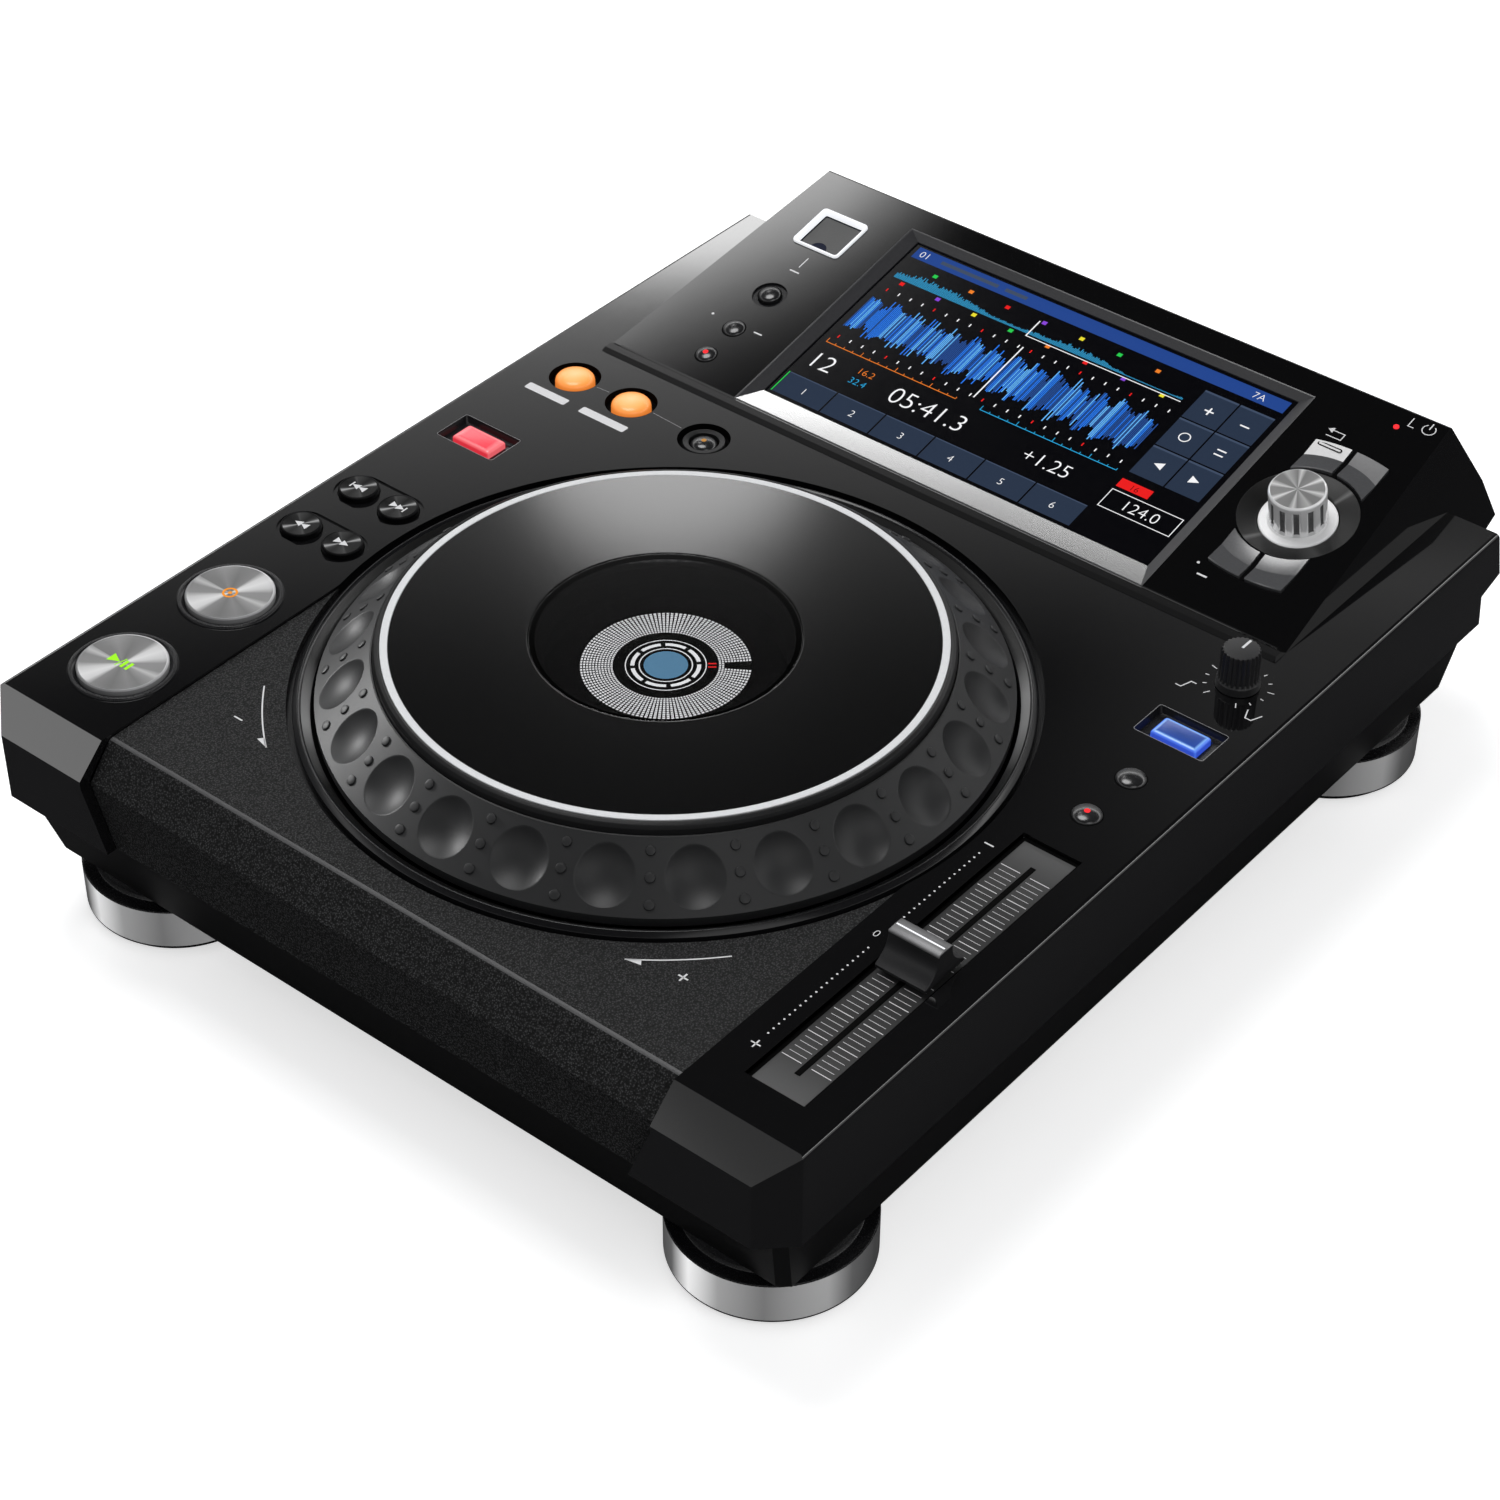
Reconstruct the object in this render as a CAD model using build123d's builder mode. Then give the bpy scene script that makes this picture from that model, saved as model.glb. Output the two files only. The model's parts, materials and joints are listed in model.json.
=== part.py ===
from build123d import *
import os
from math import cos, radians, sin, sqrt, tan

# A tabletop DJ player: a flat console with a dimpled jog wheel, a tilted touch display and a tempo fader.
# Millimetres. +Z is up, the front faces -Y, and the origin is the middle of the footprint.
# Heights called top, drop or h are measured from the deck's flat top face, and y from its front top edge.
# The width and the display's length set the plan: the wheel, the strips beside it and the depth follow.

os.makedirs("parts", exist_ok=True)

# Console
WIDTH = 306.0
HALF = WIDTH / 2
DECK_H = 83.0
NOSE = 10.0
NOSE_DROP = 9.5
CORNER_CUT = 9.5
LIP_REACH = 5.0
LIP_DROP = 18.0
STEP_DROP = 21.3
STEP_IN = 5.5
SHELL_DROP = 33.0
SKIN = 2.6
FRONT_WALL = 3.7
EDGE_ROUND = 1.5
SEAM = 0.15
FIT = 0.3
RUN = 0.05

# Jog, from the wheel outwards and inwards
STRIP = 48.8
WHEEL_R = HALF - STRIP
WHEEL_GAP = 1.0
DISH_WIDTH = 3.8
DISH_DROP = 3.0
BEZEL_EDGE = 1.8
BEZEL_RIM_H = 0.2
BEZEL_BORE_R = WHEEL_R + WHEEL_GAP
BEZEL_RIM_R = BEZEL_BORE_R + DISH_WIDTH
BEZEL_R = BEZEL_RIM_R + BEZEL_EDGE
BEZEL_FLANGE = 4.0
BEZEL_FLANGE_THICK = 2.4
BEZEL_FLANGE_R = BEZEL_R + BEZEL_FLANGE
JOG_HOLE_R = BEZEL_R + 1.8
FRONT_MARGIN = 12.6
JOG_Y = JOG_HOLE_R + FRONT_MARGIN
HANG = 3.4
WHEEL_DROP = 3.0
WHEEL_FOOT_H = 0.2
WHEEL_FOOT = 6.2
CONE_RUN = 17.2
CONE_R = WHEEL_R - CONE_RUN
CONE_H = 15.0
LEDGE_R = CONE_R - 9.0
LEDGE_H = 12.6
LEDGE_THICK = 2.4
DIMPLES = 24
DIMPLE_R = WHEEL_R - 8.4
DIMPLE_DEPTH = 2.6
DIMPLE_HALF = 9.0
PLATE_R = CONE_R - 0.8
PLATE_H = 18.5
PLATE_THICK = 4.3
RING_OUT_R = PLATE_R - 2.3
RING_IN_R = RING_OUT_R - 2.35
RING_DEEP = 2.5
WINDOW_R = 40.55
WINDOW_THICK = 1.6
WINDOW_SEAT = 2.1
HUB_R = 36.0
HUB_WALL = 3.5
HUB_FLANGE_R = LEDGE_R + 4.3
SLEEVE_WALL = 4.0
BASE_DROP = 10.0
BASE_THICK = 2.0
BASE_R = BEZEL_R + 1.2
HUB_DROP = 6.0
DISPLAY_DISC_R = HUB_R - 2.0
DISPLAY_DISC_H = 6.3
DISPLAY_DISC_THICK = 3.0
CODE_RING_R = HUB_R + 22.0
CODE_RING_DROP = 3.0
CODE_RING_THICK = 1.0
CODE_SLOTS = 24
SENSOR = 10.0
SENSOR_SLOT = 6.2
SENSOR_H = 1.5

# Display housing
TILT = 12.03
HOUSE_Y = JOG_Y + JOG_HOLE_R + 17.2
HOUSE_LONG = 109.0
HOUSE_HALF = HALF - 18.9
HOUSE_LEAN = 0.392
HOUSE_LIP_Y = HOUSE_Y - 5.7
HOUSE_LIP_H = 1.3
DECK_DEPTH = HOUSE_Y + HOUSE_LONG - 14.0
STEP_Y = DECK_DEPTH - STEP_IN
HOUSE_REAR_Y = DECK_DEPTH + 25.0
HOUSE_REAR_TOP_Y = HOUSE_REAR_Y - 3.0
HOUSE_REAR_DROP = 12.4
HOUSE_UNDER_Y = HOUSE_REAR_Y - 7.0
HOUSE_UNDER_DROP = 14.3
HOUSE_WALL = 2.4
OPEN_HALF = HOUSE_HALF - 3.1
OPEN_FRONT = HOUSE_Y - 1.5
OPEN_REAR = DECK_DEPTH - 5.0
SKIRT_H = 5.0
HOUSE_FRONT_IN = 1.2
SKIRT_WALL = 2.5
HOUSE_ROUND = 1.0

# Screen
SCREEN_HALF = HOUSE_HALF - 57.1
RECESS_SIDE = 4.6
RECESS_HALF = SCREEN_HALF + RECESS_SIDE
RECESS_LOW = 0.6
SCREEN_LOW = 10.3
SCREEN_HIGH = HOUSE_LONG - 13.0
RECESS_HIGH = SCREEN_HIGH + 2.8
BEVEL_DEPTH = 2.2
SCREEN_DEPTH = 2.8
GLASS = 1.6
GLASS_MARGIN = 1.2
LCD_THICK = 5.6
BOARD = 1.6
FRAME_FLANGE = 4.0

# Front panel, set into the nose
PANEL_HALF = JOG_HOLE_R - 3.4
PANEL_HALF_LOW = PANEL_HALF - 8.5
PANEL_SUNK = 1.0
PANEL_WALL = 2.4
PANEL_EDGE_Y = 3.0
PANEL_FACET_DROP = 12.2
PANEL_ROUND = 3.0

# Lower case
CASE_DROP = 61.5
CASE_HALF_TOP = HALF - 4.0
CASE_HALF_LOW = HALF - 8.9
CASE_FRONT_TOP = -3.9
CASE_FRONT_LOW = 4.4
CASE_REAR_TOP = DECK_DEPTH - 4.0
CASE_REAR_LOW = DECK_DEPTH - 7.0
CASE_CORNER = 3.6
RIM_H = 3.0
RAIL_Y = 38.0
RAIL_LONG = 64.0
RAIL_WIDTH = 6.4
RAIL_THICK = 2.2
RAIL_WEB = 2.0
BASE_POST_R = 4.5

# Feet
FOOT_X = HALF - 35.0
FOOT_Y = (30.5, DECK_DEPTH - 32.0)
FOOT_R = 30.3
FOOT_PAD = 1.5
FOOT_PAD_R = FOOT_R - 1.8
FOOT_COLLAR_H = 4.8
FOOT_RING_H = DECK_H - CASE_DROP - FOOT_PAD - FOOT_COLLAR_H
FOOT_COLLAR_R = FOOT_R - 4.8
FOOT_RING_WALL = 3.3

# Fader
FADER_X = HALF - 21.1
FADER_HALF_W = 10.1
FADER_HALF_L = JOG_Y / 2 - 0.4
FADER_Y = FADER_HALF_L + 13.8
FADER_END = FADER_Y + FADER_HALF_L
FADER_SUNK = 1.7
FADER_TRAVEL = FADER_HALF_L - 12.2
FADER_SLOT = 1.8
FADER_KNOB = (17.2, 17.6, 10.2)
FADER_RIDGE = 6.2

# Deck controls: along the left strip by shares of the way to the jog's middle, and along the right one
# by shares of the way from the fader to the display
BOARD_DROP = 14.0
SWITCH_H = 4.0
SWITCH = 6.0
TRAVEL = 0.8
STOP_GAP = 0.1
FLANGE = 1.2
FLANGE_OUT = 1.4
STEM_R = 2.0
RIGHT_RUN = HOUSE_Y - FADER_END
PLAY_AT = (22.8 - HALF, 0.2220 * JOG_Y)
CUE_AT = (22.3 - HALF, 0.5807 * JOG_Y)
TRANSPORT_R = 13.9
TRANSPORT_RING_R = TRANSPORT_R + 2.8
TRANSPORT_TOP = 2.0
TRANSPORT_RING_TOP = 0.8
TRANSPORT_DISH = 0.6
SEARCH_R = 6.6
SEARCH_TOP = 1.5
SEARCH_DISH = 0.3
SEARCH_ROWS = {
    "search": (0.8986 * JOG_Y, 0.9065 * JOG_Y),
    "track_search": (1.1054 * JOG_Y, 1.1070 * JOG_Y),
}
SEARCH_X = (13.0 - HALF, 30.2 - HALF)
GROOVE_R = SEARCH_R + 1.6
GROOVE_DEPTH = 0.6
LOOP_AT = {
    "loop_in_button": (22.7 - HALF, HOUSE_Y - 23.6),
    "loop_out_button": (47.1 - HALF, HOUSE_Y - 23.2),
    "reloop_button": (79.1 - HALF, HOUSE_Y - 24.0),
}
LOOP_R = 6.7
RELOOP_R = 4.7
LOOP_RECESS_R = LOOP_R + 2.1
LOOP_RECESS = 3.0
LOOP_BOSS = 6.0
LOOP_TOP = 0.6
RELOOP_TOP = -0.6
LOOP_CROWN = 1.4
KEY_RECESS = 2.5
KEY_BOSS = 5.0
KEY_SUNK = 0.4
KEY_ROUND = 0.8
DIRECTION_AT = (22.1 - HALF, HOUSE_Y - 70.2)
JOG_MODE_AT = (HALF - 22.0, FADER_END + 0.5616 * RIGHT_RUN)
KEY_SIZE = (16.2, 8.8)
KEY_RECESS_SIZE = (KEY_SIZE[0] + 8.4, KEY_SIZE[1] + 6.2)
TEMPO_KEYS = {
    "master_tempo_button": (HALF - 21.9, FADER_END + 0.1507 * RIGHT_RUN),
    "tempo_range_button": (HALF - 21.3, FADER_END + 0.3322 * RIGHT_RUN),
}
TEMPO_KEY_R = 4.6
TEMPO_KEY_TOP = 1.6
TEMPO_KEY_CROWN = 1.0
SPEED_AT = (HALF - 21.8, FADER_END + 0.8159 * RIGHT_RUN)
SPEED_R = 6.3
SPEED_TOP = 13.5
SPEED_SHAFT_R = 3.0
SPEED_RIBS = 18
SPEED_RIB_R = 0.9
POT = 11.0
POT_TOP = -7.5
POT_NECK_R = 4.5

# Display controls, placed on the tilted panel: x across and s up the slope
SELECTOR_AT = (HOUSE_HALF - 28.6, HOUSE_LONG - 57.7)
COLLAR_R = 19.2
COLLAR_BORE_R = 12.9
COLLAR_DIP = 1.7
COLLAR_SEAT = 1.2
COLLAR_STEP = 1.75
SKIRT_R = COLLAR_BORE_R - 0.4
KNOB_R = 9.2
KNOB_TOP_R = KNOB_R - 1.1
KNOB_TOP = 11.5
KNOB_FLUTES = 12
FLUTE_R = 1.5
KNOB_SHAFT_R = 2.0
PLUNGER_R = 3.4
PADS_X = HOUSE_HALF - 28.2
PAD_NEAR = 0.95
PAD_FAR = 13.3
PAD_IN_R = COLLAR_R + 1.0
PAD_MID = COLLAR_R + 13.1
PAD_END = PAD_MID - 1.6
PAD_TOP = 1.0
PAD_SWITCH = (7.0, COLLAR_R + 7.8)
DISPLAY_KEYS = {
    "usb_stop_button": (31.2 - HOUSE_HALF, 0.4275 * HOUSE_LONG, 3.9, 1.4),
    "time_mode_button": (31.2 - HOUSE_HALF, 0.2486 * HOUSE_LONG, 3.9, 1.3),
    "quantize_button": (31.1 - HOUSE_HALF, 0.1119 * HOUSE_LONG, 3.7, 1.3),
}
STOP_WELL_R = 6.1
STOP_WELL = 0.8
USB_AT = (30.1 - HOUSE_HALF, HOUSE_LONG - 27.0)
USB_FRAME = (19.5, 19.0)
USB_FRAME_WALL = 1.7
USB_FRAME_H = 0.9
USB_FRAME_ROUND = 3.0
USB_FRAME_SEAT = 1.0
USB_PORT = (13.1, 5.6)
USB_PORT_DEEP = 12.4
USB_TONGUE = (11.1, 1.9)
USB_PLATE = (21.0, 20.0)
LED_AT = (HOUSE_HALF - 23.5, HOUSE_LONG - 8.9)
LED_R = 0.95
LED_FOOT_R = 2.2
DISPLAY_BOARD_H = 10.0
DISPLAY_SWITCH_H = 3.4
ENCODER = 12.0
ENCODER_TOP = -5.5
KEY_CROWN = 1.1

# Boards: x and y of two opposite corners, then the parts on them as x, y, size and height
KEY_BOARD_SIDE = HALF - 3.5
KEY_BOARD_IN = HALF - 41.0
KEY_BOARD_WIDE = HALF - 91.0
KEY_BOARD_STEP_Y = HOUSE_Y - 50.0
KEY_BOARD_END = HOUSE_Y - 5.0
LEFT_BOARD_FRONT = 14.0
RIGHT_BOARD_FRONT = 11.0
MAIN_FRONT = HOUSE_Y - 41.0
MAIN_LEFT = 25.0 - HALF
MAIN_RIGHT = 40.0
CHIPS = ((68.0, 46.0, 27.0, 2.4), (108.0, 48.0, 20.0, 2.0), (36.0, 71.0, 14.0, 1.6), (138.0, 31.0, 12.0, 8.0))
SUPPLY_LEFT = HALF - 93.0
SUPPLY_RIGHT = HALF - 24.0
TRANSFORMER = (28.0, 48.0, 30.0, 26.0, 22.0)
CAPACITORS = ((14.0, 80.0, 9.0, 20.0), (52.0, 26.0, 6.0, 16.0))
POWER_SWITCH = (13.0, 12.0, 13.0)
POWER_TRAVEL = 1.5

# Rear
REAR_PANEL_Y = DECK_DEPTH - 9.2
REAR_PANEL = 1.6
REAR_WINDOW = (HALF - 25.0, -36.5, -57.0)
MAIN_REAR = REAR_PANEL_Y - 2.8
SUPPLY_REAR = REAR_PANEL_Y - 4.8
BOARD_POST_X = (33.0 - HALF, -20.0, 34.0, HALF - 85.0, HALF - 31.0)
BOARD_POST_Y = (HOUSE_Y - 34.0, REAR_PANEL_Y - 40.8)
BOARD_Z = -56.0
JACK_X = (55.0 - HALF, 73.0 - HALF, 101.0 - HALF)
REMOTE_X = 35.0 - HALF
NETWORK_X = 20.0
USB_B_X = -8.0
MAINS_X = HALF - 61.0
JACK_BODY = (11.0, 14.0, 13.0)
JACK_R = 4.2
JACK_OUT = 6.5
JACK_RISE = 7.0
JACK_BORE_R = 1.6
JACK_BORE = 5.0
REMOTE_R = 3.0
REMOTE_BORE_R = 1.75
REMOTE_BORE = 11.0
REMOTE_OUT = 1.5
NETWORK_RISE = 6.6
USB_B_RISE = 5.6
MAINS_RISE = 8.2
SOCKET_OUT = 1.0
NETWORK_BODY = (16.0, 13.0, 18.0)
NETWORK_HOLE = (12.0, 8.0, 12.0)
USB_B_BODY = (12.0, 11.0, 16.0)
USB_B_HOLE = (8.6, 7.8, 10.0)
USB_B_TONGUE = (5.6, 3.2)
MAINS_BODY = (24.0, 16.0, 15.0)
MAINS_FLANGE = (27.0, 19.0, 1.8)
MAINS_HOLE = (17.0, 9.6, 12.0)
MAINS_PIN = (4.3, 1.2)
POWER_CAP = (11.4, 8.4, 3.0)
POWER_X = HALF - 35.0
SCREW_PLACES = [
    (60.0, 12.0, SHELL_DROP),
    (HALF - 34.5, JOG_Y + 40.8, 30.0),
    (HALF - 16.0, HOUSE_Y + 7.0, 30.0),
]
SCREW_R = 1.45
POST_X = HALF - 6.0
LEFT_POSTS = [
    (-POST_X, 0.4 * JOG_Y),
    (39.0 - HALF, 0.4 * JOG_Y),
    (-POST_X, HOUSE_Y - 93.0),
    (-POST_X, HOUSE_Y - 43.0),
    (63.0 - HALF, HOUSE_Y - 10.0),
]
RIGHT_POSTS = [
    (POST_X, 16.0),
    (POST_X, FADER_END + 11.8),
    (POST_X, HOUSE_Y - 33.0),
    (HALF - 37.0, HOUSE_Y - 19.0),
]
HOUSE_POSTS = [
    (x, s)
    for x in (12.1 - HOUSE_HALF, HOUSE_HALF - 10.1)
    for s in (22.0, HOUSE_LONG - 47.0, HOUSE_LONG - 17.0)
]
SCREW_LONG = 16.0
SCREW_HEAD_R = 2.8
SCREW_SUNK = 10.0
BOSS_R = 3.6
BOARD_POST_R = 2.5
HOLE_GAP = 0.1

# Frames of reference
FRONT_Y = (NOSE - HOUSE_REAR_Y) / 2
DECK = Plane((0, FRONT_Y, DECK_H))
SIDE = Plane(origin=(0, FRONT_Y, DECK_H), x_dir=(0, 1, 0), z_dir=(1, 0, 0))
PANEL = Plane(
    origin=(0, FRONT_Y + HOUSE_Y, DECK_H),
    x_dir=(1, 0, 0),
    z_dir=(0, -sin(radians(TILT)), cos(radians(TILT))),
)
FLOOR = -DECK_H
UPWARDS = (Align.CENTER, Align.CENTER, Align.MIN)
SLOPE = tan(radians(TILT))


def at(plane, x, y):
    """The plane moved within itself to x, y."""
    return Plane(origin=plane.from_local_coords((x, y, 0)), x_dir=plane.x_dir, z_dir=plane.z_dir)


def section(place):
    """A plane through the place's axis, for a profile of radius and height."""
    return Plane(origin=place.origin, x_dir=place.x_dir, z_dir=-place.y_dir)


def turned(place, *points):
    """A closed profile of radius and height points, turned about the place's axis."""
    with BuildPart() as piece:
        with BuildSketch(section(place)):
            with BuildLine():
                Polyline(*points, close=True)
            make_face()
        revolve(axis=Axis(place.origin, place.z_dir))
    return piece.part


def slab(place, width, length, low, high, radius=0.0):
    """A rectangular block centred on the place, between two heights."""
    with BuildPart() as piece:
        with BuildSketch(place.offset(low)):
            if radius:
                RectangleRounded(width, length, radius)
            else:
                Rectangle(width, length)
        extrude(amount=high - low)
    return piece.part


def post(place, radius, low, high, bore=0.0):
    """A round post centred on the place, between two heights, with an open bore if one is given."""
    with BuildPart() as piece:
        with BuildSketch(place.offset(low)):
            Circle(radius)
            if bore:
                Circle(bore, mode=Mode.SUBTRACT)
        extrude(amount=high - low)
    return piece.part


def side_profile(half_width, *points):
    """A closed outline of y and height points, drawn across the width."""
    with BuildPart() as piece:
        with BuildSketch(SIDE):
            with BuildLine():
                Polyline(*points, close=True)
            make_face()
        extrude(amount=half_width, both=True)
    return piece.part


def finish(builder, name):
    """Names the piece and writes its file."""
    builder.part.label = name
    export_step(builder.part, f"parts/{name}.step")


def write(part, name):
    """Names a finished part and writes its file."""
    part.label = name
    export_step(part, f"parts/{name}.step")


JOG = at(DECK, 0, JOG_Y)
JOG_AXIS = Axis(JOG.origin, JOG.z_dir)
PANEL_FACE_Y = FRONT_WALL - NOSE
KEY_BOARD_TOP = -BOARD_DROP
SWITCH_TOP = KEY_BOARD_TOP + SWITCH_H
DECK_STEM_END = SWITCH_TOP + TRAVEL + STOP_GAP
PANEL_SWITCH_TOP = DISPLAY_SWITCH_H - DISPLAY_BOARD_H
PANEL_STEM_END = PANEL_SWITCH_TOP + TRAVEL + STOP_GAP
CASE_INNER_FLOOR = SKIN - CASE_DROP
base_post = 0.6785 * WHEEL_R
BASE_POSTS = [(x, JOG_Y + y) for x in (-base_post, base_post) for y in (-base_post, base_post)]
DECK_BOSSES = [(side * x, y, drop) for x, y, drop in SCREW_PLACES[1:] for side in (-1, 1)]
SEARCH_BUTTONS = [
    (f"{row}_{way}_button", (x, y))
    for row, ends in SEARCH_ROWS.items()
    for way, x, y in zip(("back", "forward"), SEARCH_X, ends)
]


# ---- Shells ----
def console_block(half_width, corner, *points):
    """The console's side outline across its width, with both upright front corners cut off."""
    front = min(y for y, _ in points)
    side_y = half_width - corner
    with BuildPart() as block:
        add(side_profile(half_width, *points))
        with BuildSketch(DECK):
            with BuildLine():
                Polyline((corner + front - 1, front - 1), (half_width + 1, front - 1),
                         (half_width + 1, side_y + 1), close=True)
            make_face()
            mirror(about=Plane.YZ)
        extrude(amount=-CASE_DROP, mode=Mode.SUBTRACT)
    return block.part


def deck_outer():
    corner = HALF + NOSE - CORNER_CUT
    block = console_block(
        HALF, corner,
        (0, 0), (DECK_DEPTH, 0), (DECK_DEPTH + LIP_REACH, -LIP_DROP), (STEP_Y, -STEP_DROP),
        (CASE_REAR_TOP, -SHELL_DROP), (-NOSE, -SHELL_DROP), (-NOSE, -NOSE_DROP),
    )
    with BuildPart() as rounded:
        add(block)
        fillet(rounded.edges().filter_by(Axis.Y).group_by(Axis.Z)[-1], EDGE_ROUND)
    return rounded.part


def deck_cavity():
    corner = HALF + NOSE - CORNER_CUT - SKIN * sqrt(2)
    return console_block(
        HALF - SKIN, corner,
        (1.2, -SKIN), (DECK_DEPTH - SKIN, -SKIN), (DECK_DEPTH + LIP_REACH - SKIN - 0.6, -LIP_DROP + 1.0),
        (STEP_Y - SKIN, -STEP_DROP + 1.3), (CASE_REAR_TOP - SKIN, -SHELL_DROP - 1),
        (PANEL_FACE_Y, -SHELL_DROP - 1), (PANEL_FACE_Y, -NOSE_DROP - 1.5),
    )


def key_tub(x, y):
    """The thick patch of deck that a rectangular key recess is cut into."""
    width, length = KEY_RECESS_SIZE
    return slab(at(DECK, x, y), width + 2 * SKIN, length + 2 * SKIN, -KEY_BOSS, -SKIN)


with BuildPart() as deck_cover:
    add(deck_outer())
    add(deck_cavity(), mode=Mode.SUBTRACT)
    add(post(JOG, BEZEL_FLANGE_R + FIT, -HANG, -SKIN))
    for x, y in LOOP_AT.values():
        add(post(at(DECK, x, y), LOOP_RECESS_R + 2, -LOOP_BOSS, -SKIN))
    for x, y in (DIRECTION_AT, JOG_MODE_AT):
        add(key_tub(x, y))
    for x, y, drop in DECK_BOSSES:
        add(post(at(DECK, x, y), BOSS_R, -drop, -SKIN))
    for x, y in LEFT_POSTS + RIGHT_POSTS:
        add(post(at(DECK, x, y), BOARD_POST_R, KEY_BOARD_TOP, -SKIN))
    # Round jog hole, the front panel's window and the display's opening
    with BuildSketch(DECK.offset(1)):
        with Locations((0, JOG_Y)):
            Circle(JOG_HOLE_R)
        panel_window = PANEL_HALF + SEAM
        window_end = JOG_Y - sqrt(JOG_HOLE_R**2 - panel_window**2)
        with Locations((0, (window_end - NOSE - 1) / 2)):
            Rectangle(2 * panel_window, window_end + NOSE + 1)
        with Locations((0, (OPEN_FRONT + OPEN_REAR) / 2)):
            Rectangle(2 * OPEN_HALF, OPEN_REAR - OPEN_FRONT)
    extrude(amount=-1 - PANEL_FACET_DROP, mode=Mode.SUBTRACT)
    with BuildSketch(Plane(origin=(0, FRONT_Y - NOSE - 1, DECK_H), x_dir=(1, 0, 0), z_dir=(0, -1, 0))):
        with BuildLine():
            Polyline(
                (-panel_window, -PANEL_FACET_DROP + 0.5), (panel_window, -PANEL_FACET_DROP + 0.5),
                (panel_window, -PANEL_FACET_DROP), (PANEL_HALF_LOW + SEAM, -SHELL_DROP - 1),
                (-PANEL_HALF_LOW - SEAM, -SHELL_DROP - 1), (-panel_window, -PANEL_FACET_DROP), close=True,
            )
        make_face()
    extrude(amount=-FRONT_WALL - 3, mode=Mode.SUBTRACT)
    # Holes and recesses of the controls
    with BuildSketch(DECK.offset(1)):
        with Locations(PLAY_AT, CUE_AT):
            Circle(TRANSPORT_RING_R)
        with Locations(*[place for _, place in SEARCH_BUTTONS]):
            Circle(SEARCH_R + FIT)
        with Locations(*TEMPO_KEYS.values()):
            Circle(TEMPO_KEY_R + FIT)
        with Locations(LOOP_AT["loop_in_button"], LOOP_AT["loop_out_button"]):
            Circle(LOOP_R + FIT)
        with Locations(LOOP_AT["reloop_button"]):
            Circle(RELOOP_R + FIT)
        with Locations(SPEED_AT):
            Circle(SPEED_SHAFT_R + FIT)
        with Locations(DIRECTION_AT, JOG_MODE_AT):
            Rectangle(KEY_SIZE[0] + 2 * FIT, KEY_SIZE[1] + 2 * FIT)
        with Locations((FADER_X, FADER_Y)):
            Rectangle(2 * FADER_HALF_W, 2 * FADER_HALF_L)
    extrude(amount=-1 - LOOP_BOSS - 1, mode=Mode.SUBTRACT)
    with BuildSketch(DECK):
        with Locations(*LOOP_AT.values()):
            Circle(LOOP_RECESS_R)
    extrude(amount=-LOOP_RECESS, mode=Mode.SUBTRACT)
    with BuildSketch(DECK):
        with Locations(DIRECTION_AT, JOG_MODE_AT):
            RectangleRounded(*KEY_RECESS_SIZE, 1.0)
    extrude(amount=-KEY_RECESS, mode=Mode.SUBTRACT)
    with BuildSketch(DECK):
        for ends in SEARCH_ROWS.values():
            with Locations((sum(SEARCH_X) / 2, sum(ends) / 2)):
                SlotCenterToCenter(SEARCH_X[1] - SEARCH_X[0], 2 * GROOVE_R)
    extrude(amount=-GROOVE_DEPTH, mode=Mode.SUBTRACT)
    for x, y, drop in DECK_BOSSES:
        add(post(at(DECK, x, y), SCREW_R, -drop, -drop + SCREW_LONG), mode=Mode.SUBTRACT)
    # Ledges that carry the front panel along both strips
    rail_top = -PANEL_SUNK - PANEL_WALL
    for side in (-1, 1):
        ledge = at(DECK, side * (PANEL_HALF - 1.0), RAIL_Y)
        add(slab(ledge, RAIL_WIDTH, RAIL_LONG, rail_top - RAIL_THICK, rail_top))
        web = at(DECK, side * (PANEL_HALF + SEAM + RAIL_WEB / 2), RAIL_Y)
        add(slab(web, RAIL_WEB, RAIL_LONG, rail_top - RAIL_THICK, -SKIN + 0.3))
finish(deck_cover, "deck_cover")

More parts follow.
